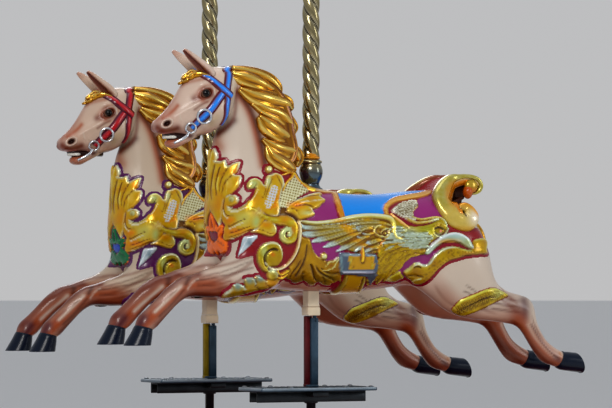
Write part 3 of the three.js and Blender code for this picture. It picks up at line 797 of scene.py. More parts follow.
def paint_head(points, scheme):
    flat = folded(points)
    x, y, z = flat.T
    colour = np.tile(mix(scheme["coat"], PINK, np.array(0.30)), (len(points), 1))
    rear = smoothstep(-0.40, -0.33, x)
    colour = mix(colour, scheme["coat"], rear)
    colour = mix(colour, ORANGE, 0.35 * smoothstep(-0.50, -0.58, x))
    top = np.exp(-((y / 0.022) ** 2)) * smoothstep(-0.47, -0.55, x) * smoothstep(0.89, 0.91, z)
    colour = mix(colour, ORANGE, 0.6 * top)
    eye = eye_distance(points)
    colour = mix(colour, ORANGE, 0.80 * (1 - smoothstep(1.1, 2.6, eye)))
    colour = mix(colour, BROWN, 0.85 * (1 - smoothstep(0.8, 1.25, eye)))
    # a pale crescent behind the eye socket: painted highlight
    rim = np.exp(-(((eye - 1.45) / 0.22) ** 2)) * smoothstep(-0.447, -0.435, x)
    colour = mix(colour, CREAM, 0.8 * rim)
    lip_line = np.interp(-x, [0.40, 0.46, 0.50, 0.56, 0.60], [0.862, 0.862, 0.858, 0.858, 0.868])
    mouth = np.exp(-(((z - lip_line + 0.004) / 0.009) ** 2)) * smoothstep(-0.455, -0.475, x)
    colour = mix(colour, BROWN, 0.9 * mouth)
    lips = np.exp(-(((z - lip_line) / 0.022) ** 2)) * smoothstep(-0.46, -0.50, x)
    colour = mix(colour, srgb(178, 92, 84), 0.45 * lips)
    # orange under the chin and under the head: painted shade
    chin = (1 - smoothstep(0.825, 0.85, z)) * smoothstep(-0.44, -0.50, x)
    colour = mix(colour, ORANGE, 0.5 * chin)
    under = (1 - smoothstep(0.86, 0.90, z)) * smoothstep(-0.47, -0.42, x)
    colour = mix(colour, ORANGE, 0.45 * under)
    colour = airbrushed(colour, points, HEAD_SPRAYS)
    hole = nostril_distance(points)
    # a pale ring round the nostril: painted highlight
    colour = mix(colour, CREAM, 0.9 * np.exp(-(((hole - 1.2) / 0.16) ** 2)))
    colour = mix(colour, UMBER, 1 - smoothstep(0.70, 1.0, hole))
    return np.clip(colour, 0, 1), np.zeros(len(points))


HEAD_VERTS, HEAD_FACES = build_head()
HEAD_TREE = BVHTree.FromPolygons(HEAD_VERTS.tolist(), HEAD_FACES.tolist())
BODY_TREE = BVHTree.FromPolygons(BODY_VERTS.tolist(), BODY_FACES.tolist())
both_horses("carved_head", HEAD_VERTS, HEAD_FACES, paint_head, COAT_PAINT, ["head"])


EAR_BASE, EAR_TIP = np.array([-398.0, 40.0, 1062.0]) * MM, np.array([-506.0, 46.0, 1147.0]) * MM
EAR_AXIS = (EAR_TIP - EAR_BASE) / np.linalg.norm(EAR_TIP - EAR_BASE)
EAR_OPENING = np.array([-0.60, 0.56, -0.50])  # the way the slot in an ear faces
EAR_OPENING -= EAR_AXIS * (EAR_AXIS @ EAR_OPENING)
EAR_OPENING /= np.linalg.norm(EAR_OPENING)
EAR_HALF = [21, 24, 24, 21, 18, 14, 7]  # from the base to the tip, mm


def ear():
    """A cupped ear with a slot down its front; made on the +Y side."""
    side = np.cross(EAR_AXIS, EAR_OPENING)
    rows = catmull(np.array([[h] for h in EAR_HALF], float) * MM, 4)[:, 0]
    rings = []
    for t, half in zip(np.linspace(0, 1, len(rows)), rows):
        ring = []
        for a in np.linspace(-math.pi, math.pi, 40, endpoint=False):
            cut = 1 - 0.74 * math.exp(-((a / 0.78) ** 2)) * min(1.0, 3.0 * t)
            r = half * (cut + 0.12 * math.exp(-(((abs(a) - 1.15) / 0.3) ** 2)))
            spoke = EAR_OPENING * math.cos(a) + side * 0.85 * math.sin(a)
            ring.append(EAR_BASE + (EAR_TIP - EAR_BASE) * t + spoke * r)
        rings.append(ring)
    return ring_skin(rings)


def paint_ears(points, scheme):
    d = folded(points) - EAR_BASE
    along = d @ EAR_AXIS / np.linalg.norm(EAR_TIP - EAR_BASE)
    front = d @ EAR_OPENING
    side = d @ np.cross(EAR_AXIS, EAR_OPENING)
    turn = np.abs(np.arctan2(side, front))
    colour = np.tile(mix(scheme["coat"], PINK, np.array(0.25)), (len(points), 1))
    colour = mix(colour, ORANGE, 0.45 * smoothstep(0.70, 1.0, along))
    colour = mix(colour, ORANGE, 0.5 * (1 - smoothstep(0.7, 1.3, turn)) * smoothstep(0.0, 0.2, along))
    inside = (1 - smoothstep(0.60, 0.98, turn)) * smoothstep(0.02, 0.16, along)
    colour = mix(colour, srgb(96, 34, 14), 0.95 * inside)
    return colour, np.zeros(len(points))


both_horses("ears", *with_mirror([ear()]), paint_ears, COAT_PAINT)


def ball(centre, radius, squash=(1, 1, 1), rows=16, around=24):
    rings = []
    for p in np.linspace(0.001, math.pi - 0.001, rows):
        ring = [
            (math.sin(p) * math.cos(a), math.sin(p) * math.sin(a), math.cos(p))
            for a in turns(around)
        ]
        rings.append(np.array(ring) * radius * np.array(squash) + centre)
    verts, faces = ring_skin(rings)
    return verts, [f[::-1] for f in faces]


def paint_eyes(points, scheme):
    flat = folded(points) - EYE_AT
    d = np.hypot(flat[:, 0] + 0.002, flat[:, 2] - 0.001)
    colour = all_over(points, srgb(30, 12, 6))
    colour = mix(colour, srgb(2, 2, 3), 1 - smoothstep(0.0085, 0.0115, d))
    colour = mix(colour, srgb(150, 110, 90), smoothstep(0.0125, 0.015, d))
    return colour, np.zeros(len(points))


GLOSS_PAINT = material("eye_gloss", roughness=0.08)
both_horses("eyes", *with_mirror([ball(EYE_AT, EYE_RADIUS)]), paint_eyes, GLOSS_PAINT)

for leg_name, sections in (("fore", FORE_HOOF), ("hind", HIND_HOOF)):
    hooves = joined([loft(sections, side, around=36, steps=4) for side in SIDES])
    for horse in HORSES:
        ob = object_from(f"{horse}_{leg_name}_hooves", hooves[0] + ORIGIN[horse], hooves[1])
        ob.data.materials.append(HOOF_PAINT)
        place_on_horse(horse, ob)

def seen(window, x, y):
    left, top, times = WINDOWS[window]
    return photo_ray(left + x / times, top + y / times)


def at_depth(window, x, y, plane):
    """Where a point of a window lies on the plane y = plane of the horse's frame."""
    ray = seen(window, x, y)
    return EYE + ray * (plane - EYE[1]) / ray[1]


def on_skin(tree, window, x, y, lift, plane):
    """Where a point of a window lies on the horse's skin, or on the plane where the skin is missed."""
    hit, normal, _, _ = tree.ray_cast(Vector(EYE), Vector(seen(window, x, y)))
    if hit is None:
        return at_depth(window, x, y, plane)
    return np.array(hit) + np.array(normal) * lift


# Gold work: swept locks with carved strands
GOLD = srgb(214, 152, 26)
GOLD_HIGHLIGHT = srgb(244, 214, 118)
GOLD_SHADE = srgb(104, 52, 10)


def gold_paint(ridge, pale=0.0):
    """Gilding over carved strands, with painted shade in the grooves and painted highlights on the crests.
    """
    colour = mix(GOLD_SHADE, GOLD, smoothstep(0.12, 0.55, ridge))
    colour = mix(colour, GOLD_HIGHLIGHT, pale * smoothstep(0.78, 1.0, ridge))
    return colour, 0.35 + 0.55 * smoothstep(0.1, 0.5, ridge)


def swept_lock(path, across, out, outward, strands=3, drift=0.6, steps=8, around=40):
    """A lock of hair along a path, flat behind; returns its skin and the relief of its strands."""
    rows = catmull(np.column_stack([np.asarray(path, float), across, out]), steps)
    centre, half, thick = rows[:, :3], np.maximum(rows[:, 3], 0.0015), np.maximum(rows[:, 4], 0.0015)
    tangent = np.gradient(centre, axis=0)
    tangent /= np.linalg.norm(tangent, axis=1)[:, None]
    outward = np.asarray(outward, float)
    lift = outward - tangent * (tangent @ outward)[:, None]
    lift /= np.linalg.norm(lift, axis=1)[:, None]
    side = np.cross(lift, tangent)
    turn = turns(around)
    q, r = np.cos(turn), np.sin(turn)
    along = np.linspace(0, 1, len(rows))[:, None]
    wave = np.abs(np.sin(math.pi * (strands * (q[None, :] + 1) / 2 + drift * along))) ** 0.7
    front = np.clip(r * 3.0, 0, 1)[None, :]
    ridge = wave * front + (1 - front) * 0.35
    height = thick[:, None] * r[None, :] * np.where(r > 0, 0.62 + 0.38 * wave, 0.8)
    verts = centre[:, None] + side[:, None] * (half[:, None] * q)[..., None]
    verts = verts + lift[:, None] * height[..., None]
    skin, faces = ring_skin(verts)
    relief = np.concatenate([ridge.ravel(), [0.4, 0.4]])
    return skin, faces, relief


def gathered(locks):
    """Several swept locks as one skin with their strand relief."""
    verts, faces = joined([(v, f) for v, f, _ in locks])
    return verts, faces, np.concatenate([r for _, _, r in locks])


# Locks of the mane as seen from the camera: x, y in the window, half width and thickness in mm
MANE_LOCKS = [
    [
        (-94, 222, 13, 15), (60, 250, 18, 19), (200, 278, 18, 20), (330, 335, 18, 19), (420, 415, 14, 16),
        (464, 492, 3, 5),
    ],
    [
        (-98, 296, 15, 18), (60, 345, 25, 24), (190, 392, 22, 26), (310, 430, 15, 22), (400, 462, 9, 14),
        (455, 488, 3, 6),
    ],
    [
        (-20, 440, 8, 16), (120, 520, 22, 24), (260, 565, 29, 28), (400, 590, 30, 28), (520, 612, 24, 24),
        (585, 665, 7, 10),
    ],
    [
        (120, 590, 8, 14), (270, 680, 19, 22), (400, 735, 24, 26), (510, 800, 24, 26), (592, 872, 16, 20),
        (606, 940, 4, 8),
    ],
    [
        (195, 745, 9, 14), (280, 850, 26, 24), (390, 925, 30, 26), (490, 975, 24, 24), (560, 1018, 14, 18),
        (584, 1056, 4, 8),
    ],
    [
        (240, 1000, 6, 14), (350, 1088, 18, 22), (460, 1136, 24, 26), (570, 1160, 26, 27),
        (640, 1222, 20, 22), (630, 1310, 6, 10),
    ],
    [
        (285, 1080, 6, 12), (345, 1205, 20, 20), (440, 1275, 24, 24), (525, 1318, 19, 22),
        (575, 1352, 10, 14), (545, 1382, 4, 7),
    ],
]
MANE_CREST = -0.030  # plane of the locks' ends past the neck's edge
MANE_BASE = [
    (-60, 262, 14, 16), (150, 400, 34, 16), (290, 560, 52, 15), (380, 760, 54, 14), (420, 960, 52, 14),
    (470, 1150, 46, 15), (460, 1290, 22, 12),
]


def mane_lock(points, strands, sink=0.0):
    path = [on_skin(BODY_TREE, "mane", x, y, 0.3 * thick * MM, MANE_CREST) for x, y, _, thick in points]
    path = np.array(path)
    path[:, 1] = np.minimum(path[:, 1], MANE_CREST) + sink
    path[1:-1] = (path[:-2] + 2 * path[1:-1] + path[2:]) / 4 * [0, 1, 0] + path[1:-1] * [1, 0, 1]
    across = [1.28 * half * MM for _, _, half, _ in points]
    out = [thick * MM for _, _, _, thick in points]
    return swept_lock(path, across, out, (-0.25, -1.0, 0.1), strands=strands, around=36)


# A short lock: share of its length, shift from the straight line, half width and thickness, in m
CREST_LOCK = [
    (0, 0, 0, 0, 0.014, 0.018), (0.35, 0.004, 0.026, 0, 0.026, 0.022), (0.75, 0, 0.034, 0, 0.02, 0.018),
    (1, -0.008, 0.03, 0, 0.004, 0.006),
]
CREST_LOCK_LENGTH = 0.085


def crest_lock(x, z, length, lean):
    """A short lock on the far side of the crest, where the mane is parted."""
    start = np.array([x, 0.004, z])
    back = np.array([lean, 0.0, -1.0])
    rows = np.array(CREST_LOCK)
    path = start + back * length * rows[:, :1] + rows[:, 1:4]
    return swept_lock(path, rows[:, 4], rows[:, 5], (0.3, 1.0, 0.2), strands=2, around=32)


CREST_LINE = [
    (-300, 1090), (-255, 1082), (-205, 1056), (-165, 1020), (-138, 976), (-122, 925), (-112, 872),
    (-100, 822),
]


def build_mane():
    locks = [mane_lock(points, 2) for points in MANE_LOCKS]
    verts, faces, relief = mane_lock(MANE_BASE, 7, sink=17 * MM)
    # the base under the locks takes about a third of their relief and so is painted darker: painted shade
    # between the locks
    locks.append((verts, faces, relief * 0.35))
    for i, (x, z) in enumerate(CREST_LINE):
        locks.append(crest_lock(x * MM, z * MM, CREST_LOCK_LENGTH, -0.25 + 0.08 * i))
    return gathered(locks)


def paint_with(relief, pale=0.9):
    return lambda points, scheme: gold_paint(relief, pale)


GILDING = material("gilding", roughness=0.22, coat=0.35, bump=0.12, bump_scale=34.0, mottle=0.12)
MANE_VERTS, MANE_FACES, MANE_RELIEF = build_mane()
both_horses("mane_locks", MANE_VERTS, MANE_FACES, paint_with(MANE_RELIEF), GILDING, ["mane"], slot="hair")

FORELOCK = [
    [(930, 505, 4, 8), (800, 470, 11, 12), (700, 490, 12, 13), (640, 530, 7, 10), (600, 500, 3, 6)],
    [(720, 470, 6, 8), (640, 495, 11, 12), (570, 545, 11, 12), (520, 565, 8, 10), (480, 605, 3, 5)],
    [(760, 440, 6, 8), (660, 445, 10, 12), (590, 475, 10, 12), (530, 510, 7, 9), (495, 505, 3, 5)],
]


def forelock_lock(points):
    path = [on_skin(HEAD_TREE, "head", x, y, 0.3 * thick * MM, -0.01) for x, y, _, thick in points]
    across = [half * MM for _, _, half, _ in points]
    out = [thick * MM for _, _, _, thick in points]
    return swept_lock(path, across, out, (-0.5, -0.35, 0.8), strands=2, around=24)


def build_forelock():
    near = [forelock_lock(points) for points in FORELOCK]
    far = [(v * [1, -1, 1], [f[::-1] for f in faces], r) for v, faces, r in near[:2]]
    return gathered(near + far)


LOCK_VERTS, LOCK_FACES, LOCK_RELIEF = build_forelock()
both_horses("forelock", LOCK_VERTS, LOCK_FACES, paint_with(LOCK_RELIEF), GILDING, slot="hair")

# Tail locks: side offset, then x, z, half width and thickness along the lock, in mm
TAIL_LOCKS = [
    (
        0,
        [
            (604, 590, 12, 10), (640, 560, 22, 18), (662, 500, 24, 20), (664, 430, 24, 20),
            (660, 350, 22, 18), (646, 285, 6, 8),
        ],
    ),
    (
        22,
        [
            (604, 585, 8, 10), (636, 555, 15, 16), (652, 500, 20, 18), (654, 420, 22, 18),
            (662, 350, 18, 16), (668, 298, 4, 8),
        ],
    ),
    (
        -22,
        [
            (604, 585, 8, 10), (636, 555, 15, 16), (652, 500, 20, 18), (658, 425, 22, 18),
            (650, 340, 18, 16), (640, 276, 4, 8),
        ],
    ),
    (
        10,
        [
            (610, 588, 8, 10), (650, 562, 14, 14), (674, 500, 15, 14), (676, 440, 14, 13),
            (668, 385, 10, 11), (672, 345, 3, 6),
        ],
    ),
    (
        -10,
        [
            (610, 588, 8, 10), (648, 560, 14, 14), (668, 520, 15, 14), (680, 460, 14, 13),
            (676, 400, 10, 11), (664, 370, 3, 6),
        ],
    ),
]


def tail_lock(offset, points, phase):
    spread = [0.4, 0.7, 1.0, 1.05, 0.8, 0.35]
    wave = [0, 4, -4, 5, -5, 2]
    path = [
        np.array([x, offset * k + w * phase, z]) * MM
        for (x, z, _, _), k, w in zip(points, spread, wave)
    ]
    across = [half * MM for _, _, half, _ in points]
    out = [thick * MM for _, _, _, thick in points]
    return swept_lock(path, across, out, (1.0, 0.004 * offset, 0.0), strands=3, around=40)


TAIL_VERTS, TAIL_FACES, TAIL_RELIEF = gathered(
    [tail_lock(offset, points, (-1) ** i) for i, (offset, points) in enumerate(TAIL_LOCKS)]
)
both_horses("tail_locks", TAIL_VERTS, TAIL_FACES, paint_with(TAIL_RELIEF), GILDING, ["tail"], slot="hair")


# Bridle: straps laid on the head, with rings and bit
STRAP_WIDTH = 33 * MM
STRAP_STEPS = [
    (-1.0, -2.5), (-0.97, 2.4), (-0.66, 2.8), (-0.58, 5.2), (0.0, 5.8), (0.58, 5.2), (0.66, 2.8),
    (0.97, 2.4), (1.0, -2.5),
]
SILVER = srgb(205, 208, 214)


def skin_near(tree, point):
    hit, normal, _, _ = tree.find_nearest(Vector(point))
    return np.array(hit), np.array(normal)


def laid_strap(tree, path, width=STRAP_WIDTH, lift=0.0):
    """A strap with a raised middle laid along a path on the skin, with each vertex's place across it."""
    line = catmull(np.array(path), 8)
    tangent = np.gradient(line, axis=0)
    rows, across = [], []
    for point, along in zip(line, tangent):
        base, normal = skin_near(tree, point)
        side = np.cross(normal, along)
        side /= np.linalg.norm(side)
        for u, height in STRAP_STEPS:
            q, n = skin_near(tree, base + side * u * width / 2)
            rows.append(q + n * (height + lift * (height > 0)) * MM)
            across.append(abs(u))
    rings = np.array(rows).reshape(len(line), len(STRAP_STEPS), 3)
    verts, faces = ring_skin(rings, closed=False)
    return verts, faces, np.array(across)


# Paths of the straps on the near cheek, in the head window; the first of some is on the horse's middle line
CHEEK_STRAP = [(1150, 735), (1060, 862), (960, 1002), (840, 1125), (740, 1218), (655, 1300)]
CROWN_STRAP = [
    (1225, 350), (1228, 440), (1222, 560), (1208, 690), (1216, 860), (1205, 980), (1185, 1120),
    (1140, 1260),
]
BROW_STRAP = [(800, 452), (935, 535), (1020, 598), (1110, 668), (1200, 742), (1262, 805)]


def head_path(points, middle_first, shift=0.0):
    path = [on_skin(HEAD_TREE, "head", x, y, 0.0, -0.05) for x, y in points]
    if middle_first:
        first = path[0] * [1, 0, 1] + [shift, 0, 0]
        hit, _ = skin_near(HEAD_TREE, first + [0, 0, 0.03])
        path.insert(0, hit * [1, 0, 1])
    return path


def build_bridle():
    straps = [
        laid_strap(HEAD_TREE, head_path(CHEEK_STRAP, False)),
        laid_strap(HEAD_TREE, head_path(CROWN_STRAP, True, 0.030), STRAP_WIDTH * 0.95),
        laid_strap(HEAD_TREE, head_path(BROW_STRAP, True), STRAP_WIDTH * 0.9, lift=3.5),
    ]
    verts, faces = joined([(v, f) for v, f, _ in straps])
    across = np.concatenate([a for _, _, a in straps])
    verts, faces = with_mirror([(verts, faces)])
    return verts, faces, np.tile(across, 2)


BRIDLE_VERTS, BRIDLE_FACES, BRIDLE_ACROSS = build_bridle()


def paint_bridle(points, scheme):
    edge = smoothstep(0.55, 0.60, BRIDLE_ACROSS)
    colour = mix(all_over(points, scheme["bridle"]), scheme["piping"], edge)
    return colour, np.zeros(len(points))


STRAP_PAINT = material("strap_gloss", roughness=0.28, coat=0.6, bump=0.04, bump_scale=30.0)
both_horses(
    "bridle_straps", BRIDLE_VERTS, BRIDLE_FACES, paint_bridle, STRAP_PAINT, ["bridle"],
    slot="bridle_{horse}",
)


def torus(centre, normal, radius, tube, lean, rows=40, around=14):
    normal = np.asarray(normal, float) / np.linalg.norm(normal)
    up = np.asarray(lean, float) - normal * (np.asarray(lean, float) @ normal)
    up /= np.linalg.norm(up)
    side = np.cross(up, normal)
    rings = []
    for a in turns(rows):
        spoke = up * math.cos(a) + side * math.sin(a)
        middle = centre + spoke * radius
        rings.append([middle + tube * (spoke * math.cos(b) + normal * math.sin(b))
                      for b in turns(around)])
    rings.append(rings[0])
    return ring_skin(rings, caps=False)


def curved_rod(path, radii, around=16, steps=6):
    """A round bar along a curve, its radius given at each point."""
    rows = catmull(np.column_stack([np.asarray(path, float), radii]), steps)
    tangent = np.gradient(rows[:, :3], axis=0)
    tangent /= np.linalg.norm(tangent, axis=1)[:, None]
    rings = []
    side = np.cross(tangent[0], [0.31, 0.52, 0.79])
    for centre, radius, along in zip(rows[:, :3], rows[:, 3], tangent):
        side = side - along * (side @ along)
        side /= np.linalg.norm(side)
        other = np.cross(along, side)
        spokes = [side * math.cos(a) + other * math.sin(a) for a in turns(around)]
        rings.append([centre + radius * spoke for spoke in spokes])
    return ring_skin(rings)


# Rings on the near cheek: x, y in the head window, then radius, thickness and lift off the skin in mm
CHEEK_RINGS = [(843, 1116, 23.5, 4.2, 9), (630, 1292, 17.5, 3.9, 8)]
RING_TURN = np.array([-0.1, -0.6, 0.0])  # turns a ring from the skin towards the camera's side
RING_LEAN = (-0.7, 0, -0.7)
# The near shank of the bit: x, y, z and radius, in mm
SHANK = [(-493, -62, 870, 4), (-507, -66, 852, 5), (-527, -62, 840, 5.5), (-547, -54, 830, 4.5)]


def ring_on_cheek(x, y, radius, tube, lift):
    point = on_skin(HEAD_TREE, "head", x, y, 0.0, -0.05)
    base, normal = skin_near(HEAD_TREE, point)
    normal = normal + RING_TURN
    centre = base + normal / np.linalg.norm(normal) * lift * MM
    return torus(centre, normal, radius * MM, tube * MM, RING_LEAN)


def build_metal():
    rings = [ring_on_cheek(*ring) for ring in CHEEK_RINGS]
    path, radii = np.array(SHANK)[:, :3] * MM, np.array(SHANK)[:, 3] * MM
    return joined([with_mirror(rings), curved_rod(path, radii)])


def paint_silver(points, scheme):
    return all_over(points, SILVER), np.full(len(points), 0.9)


SILVER_PAINT = material("bridle_silver", roughness=0.2, coat=0.3)
both_horses("bridle_rings", *build_metal(), paint_silver, SILVER_PAINT, slot="steel")

# The open mouth: a dark hollow with a row of teeth and a tongue
MOUTH = [
    (-436, 884, -430, 846, 22, 0), (-470, 874, -466, 846, 27, 0), (-508, 870, -504, 842, 27, 0),
    (-546, 872, -538, 842, 24, 0), (-566, 872, -556, 850, 14, 0),
]
TONGUE = [
    (-440, 868, -438, 852, 12, 0), (-490, 862, -486, 846, 16, 0), (-530, 858, -526, 844, 15, 0),
    (-548, 854, -546, 846, 8, 0),
]
TEETH_HALF = 1.35  # angle each side of the middle


def build_teeth():
    """The front teeth as one curved bar along the gums."""
    angles = np.linspace(-TEETH_HALF, TEETH_HALF, 15)
    path = [[-0.516 - 0.042 * math.cos(a), 0.027 * math.sin(a), 0.852] for a in angles]
    return curved_rod(path, [3 * MM] + [5.5 * MM] * 13 + [3 * MM])


def paint_flat(*rgb):
    return lambda points, scheme: (all_over(points, srgb(*rgb)), np.zeros(len(points)))


both_horses("mouth", *loft(MOUTH, around=28), paint_flat(40, 12, 10), COAT_PAINT)
both_horses("tongue", *loft(TONGUE, around=24), paint_flat(168, 66, 60), COAT_PAINT)
both_horses("teeth", *build_teeth(), paint_flat(216, 216, 208), GLOSS_PAINT)


# Cantle
# The ram's-horn scroll: x, y in the window, then half width, depth and distance from the middle in mm
HORN = [
    (235, 640, 6, 10, 140), (240, 585, 14, 18, 132), (285, 580, 21, 25, 130), (328, 625, 27, 32, 138),
    (350, 690, 33, 34, 148), (312, 748, 34, 33, 150), (240, 757, 32, 31, 150), (150, 710, 32, 30, 149),
    (95, 631, 34, 29, 143), (35, 540, 34, 28, 127), (13, 441, 34, 27, 109), (45, 340, 29, 26, 86),
    (95, 262, 22, 24, 70), (150, 222, 16, 20, 64), (225, 204, 10, 17, 66), (300, 196, 8, 15, 70),
    (385, 206, 8, 14, 73), (455, 240, 8, 13, 75), (486, 300, 8, 13, 75), (472, 360, 8, 12, 75),
    (430, 400, 5, 9, 75), (385, 412, 3, 7, 75),
]
HORN_MIDDLE = (250, 480)  # of the hollow of the scroll
BACK_ROWS = slice(32, 92)  # the part of the horn that the seat's back follows
LINING_ROWS = slice(24, 92)
BACKING_ROWS = slice(40, 84)
# The lining: place between its two sides, share of the horn's half width, further reach in mm
BEVEL = [
    (1.0, 0.7, 2), (0.985, 0.9, 7), (0.95, 1.0, 14), (0.90, 1.0, 20), (0.82, 1.0, 25), (0.70, 1.0, 27),
    (0.0, 1.0, 27),
]
ROLL_CENTRE = (375, 318)
ROLL_RADIUS, BALL_RADIUS = 19 * MM, 25 * MM
ROLL_HALF = 77 * MM
DROP_CENTRE, DROP_RADIUS = (335, 388), 19 * MM
# Painted marks on the horn, in points of the photograph: the bulb's gold edge, painted shade in its slot
# and a painted highlight
BULB_EDGE = [(461, 203), (467, 203.5), (473, 207.5), (478.5, 214.5)]
BULB_SLOT = [(457.5, 204.7), (461, 209), (466.5, 216)]
BULB_LIGHT = (476, 217)


def horn_centreline():
    """Rows of x, z, half width, depth and distance from the middle along the near horn."""
    rows = []
    for x, y, half, deep, away in HORN:
        px, _, pz = at_depth("cantle", x, y, -away * MM)
        rows.append((px, pz, half * MM, deep * MM, away * MM))
    return catmull(np.array(rows), 5)


def across_path(line):
    """Unit vectors across a path in the side view."""
    tangent = np.gradient(line[:, :2], axis=0)
    tangent /= np.linalg.norm(tangent, axis=1)[:, None]
    return np.column_stack([tangent[:, 1], -tangent[:, 0]])


def squarish(angle):
    """Cosine and sine of an angle, pushed out towards a square's corners."""
    c, s = math.cos(angle), math.sin(angle)
    return math.copysign(abs(c) ** 0.75, c), math.copysign(abs(s) ** 0.75, s)


def horn(line):
    across = across_path(line)
    turn = [squarish(a) for a in turns(36)]
    rings = []
    for (x, z, half, deep, away), (ax, az) in zip(line, across):
        rings.append([(x + ax * half * c, -away + deep * s, z + az * half * c) for c, s in turn])
    return ring_skin(rings)


def horn_paint(points, scheme):
    d, where = path_distance(points[:, [0, 2]], HORN_LINE[:, :2])
    away = np.interp(where, np.linspace(0, 1, len(HORN_LINE)), HORN_LINE[:, 4])
    outer = smoothstep(-0.5, 0.4, (np.abs(points[:, 1]) - away) / (30 * MM))
    x, _, z = points.T
    mottle = 0.5 + 0.5 * np.sin(x * 95 + 2.0 * np.sin(z * 120)) * np.sin(z * 110 + 1.5 * np.sin(x * 130))
    colour = mix(all_over(points, srgb(186, 170, 56)), srgb(206, 200, 124), 0.7 * mottle)
    bulb = 1 - smoothstep(0.600, 0.640, z)
    spots = in_photo(points)
    colour = mix(colour, srgb(214, 184, 84), 0.75 * bulb)
    # a painted highlight on the bulb
    light = np.hypot(*((spots - BULB_LIGHT) / [7, 9]).T)
    colour = mix(colour, srgb(244, 232, 214), 0.9 * np.exp(-(light**2)))
    colour = mix(colour, srgb(206, 156, 26), 0.8 * smoothstep(224, 229, spots[:, 1]))
    centre_x, _, centre_z = at_depth("cantle", *HORN_MIDDLE, -0.12)
    inward = np.hypot(x - centre_x, z - centre_z)
    colour = mix(colour, srgb(230, 158, 16), 0.85 * (1 - smoothstep(0.055, 0.080, inward)) * (1 - bulb))
    # the bulb's gold edge, and its slot darkened with painted shade
    for line, tint, width in ((BULB_EDGE, srgb(236, 162, 10), 1.7), (BULB_SLOT, UMBER, 0.9)):
        d, _ = path_distance(spots, np.array(line, float))
        colour = mix(colour, tint, 0.9 * np.exp(-((d / width) ** 2)))
    colour = mix(colour, srgb(140, 36, 20), 0.9 * (1 - outer))
    return colour, 0.2 + 0.35 * (1 - bulb) * outer


def sheet(loops, ts, aways, dish=0.0):
    """A slab between the two sides; its loops follow the horn, and aways holds its half widths."""
    rings = []
    for t, loop in zip(ts, loops):
        lean = dish * (1 - t * t)
        rings.append([(x - 0.6 * lean, t * away, z - lean) for (x, z), away in zip(loop, aways)])
    return ring_skin(rings, fold=True)


def back_sheet(line):
    """The seat's back between the two horns; the second half of each loop is its front."""
    rows = line[BACK_ROWS]
    across = across_path(rows)
    thick = np.minimum(rows[:, 2] * 0.55, 13 * MM)
    loop = np.vstack([
        rows[:, :2] + across * thick[:, None],
        (rows[:, :2] - across * thick[:, None])[::-1],
    ])
    ts = np.linspace(-1, 1, 15)
    front = np.tile(np.arange(len(loop)) >= len(rows), len(ts))
    return sheet([loop] * len(ts), ts, np.concatenate([rows[:, 4], rows[::-1, 4]]), 10 * MM), front


def inward_of(line):
    """Unit vectors across the horn that point into the hollow of the scroll."""
    x, _, z = at_depth("cantle", *HORN_MIDDLE, -0.12)
    across = across_path(line)
    towards = np.sign(((np.array([x, z]) - line[:, :2]) * across).sum(axis=1))
    return across * towards[:, None]


def lined(line, part, steps, aways):
    """A slab inside the scroll from the horn's middle inwards, with each vertex's place across the seat."""
    rows, inward = line[part], inward_of(line)[part]
    steps = steps + [(-t, share, reach) for t, share, reach in steps[-2::-1]]
    loops = []
    for _, share, reach in steps:
        far = rows[:, 2] * share + reach * MM
        loops.append(np.vstack([rows[:, :2], (rows[:, :2] + inward * far[:, None])[::-1]]))
    ts = [t for t, _, _ in steps]
    verts, faces = sheet(loops, ts, np.concatenate([aways[part], aways[part][::-1]]))
    return verts, faces, np.repeat(ts, len(loops[0]))


def lining_paint(points, scheme):
    place = np.abs(LINING[2])
    # dark brown across the middle: painted shade in the hollow of the scroll; orange gilding on the bevel
    # and a painted highlight on its edge by the horn
    edge = smoothstep(0.80, 0.89, place)
    colour = mix(all_over(points, srgb(84, 38, 8)), srgb(226, 140, 0), edge)
    colour = mix(colour, srgb(252, 232, 170), smoothstep(0.984, 1.0, place))
    return colour, 0.1 + 0.3 * edge


# Half of the roll: place from the middle to the end, and radius against the ball's or the bar's
ROLL_BALL = [(-1.0, 0.0), (-0.985, 0.5), (-0.94, 0.84), (-0.89, 0.97), (-0.84, 1.0), (-0.77, 0.94)]
ROLL_BAR = [(-0.70, 1.0), (-0.4, 0.92), (0.0, 0.88)]
ROLL_REACH = ROLL_HALF + 14 * MM


def roll():
    x, _, z = at_depth("cantle", *ROLL_CENTRE, -ROLL_HALF)
    fat = BALL_RADIUS / ROLL_RADIUS
    profile = [(t, r * fat) for t, r in ROLL_BALL] + ROLL_BAR
    profile = [(t, ROLL_RADIUS * max(r, 0.01)) for t, r in profile]
    profile += [(-t, r) for t, r in profile[-2::-1]]
    rings = [
        [(x + r * math.cos(a), t * ROLL_REACH, z + r * math.sin(a)) for a in turns(36)] for t, r in profile
    ]
    verts, faces = ring_skin(rings)
    return verts, [f[::-1] for f in faces]


def paint_back(points, scheme):
    colour = np.where(BACK_IS_FRONT[:, None], srgb(140, 16, 26), srgb(170, 110, 16))
    return colour, np.where(BACK_IS_FRONT, 0.0, 0.4)


def paint_roll(points, scheme):
    middle = at_depth("cantle", *ROLL_CENTRE, -ROLL_HALF)[2]
    below = smoothstep(0.004, -0.016, points[:, 2] - middle)
    ball = smoothstep(0.80, 0.86, np.abs(points[:, 1]) / ROLL_REACH)
    colour = mix(all_over(points, srgb(176, 108, 16)), srgb(196, 164, 50), ball)
    return mix(colour, srgb(196, 100, 6), 0.8 * below), np.full(len(points), 0.45)


def drop():
    """The small drop that hangs under each end of the roll."""
    x, _, z = at_depth("cantle", *DROP_CENTRE, -ROLL_HALF)
    return ball(np.array([x, -ROLL_HALF, z]), DROP_RADIUS, (0.9, 1.0, 1.25))


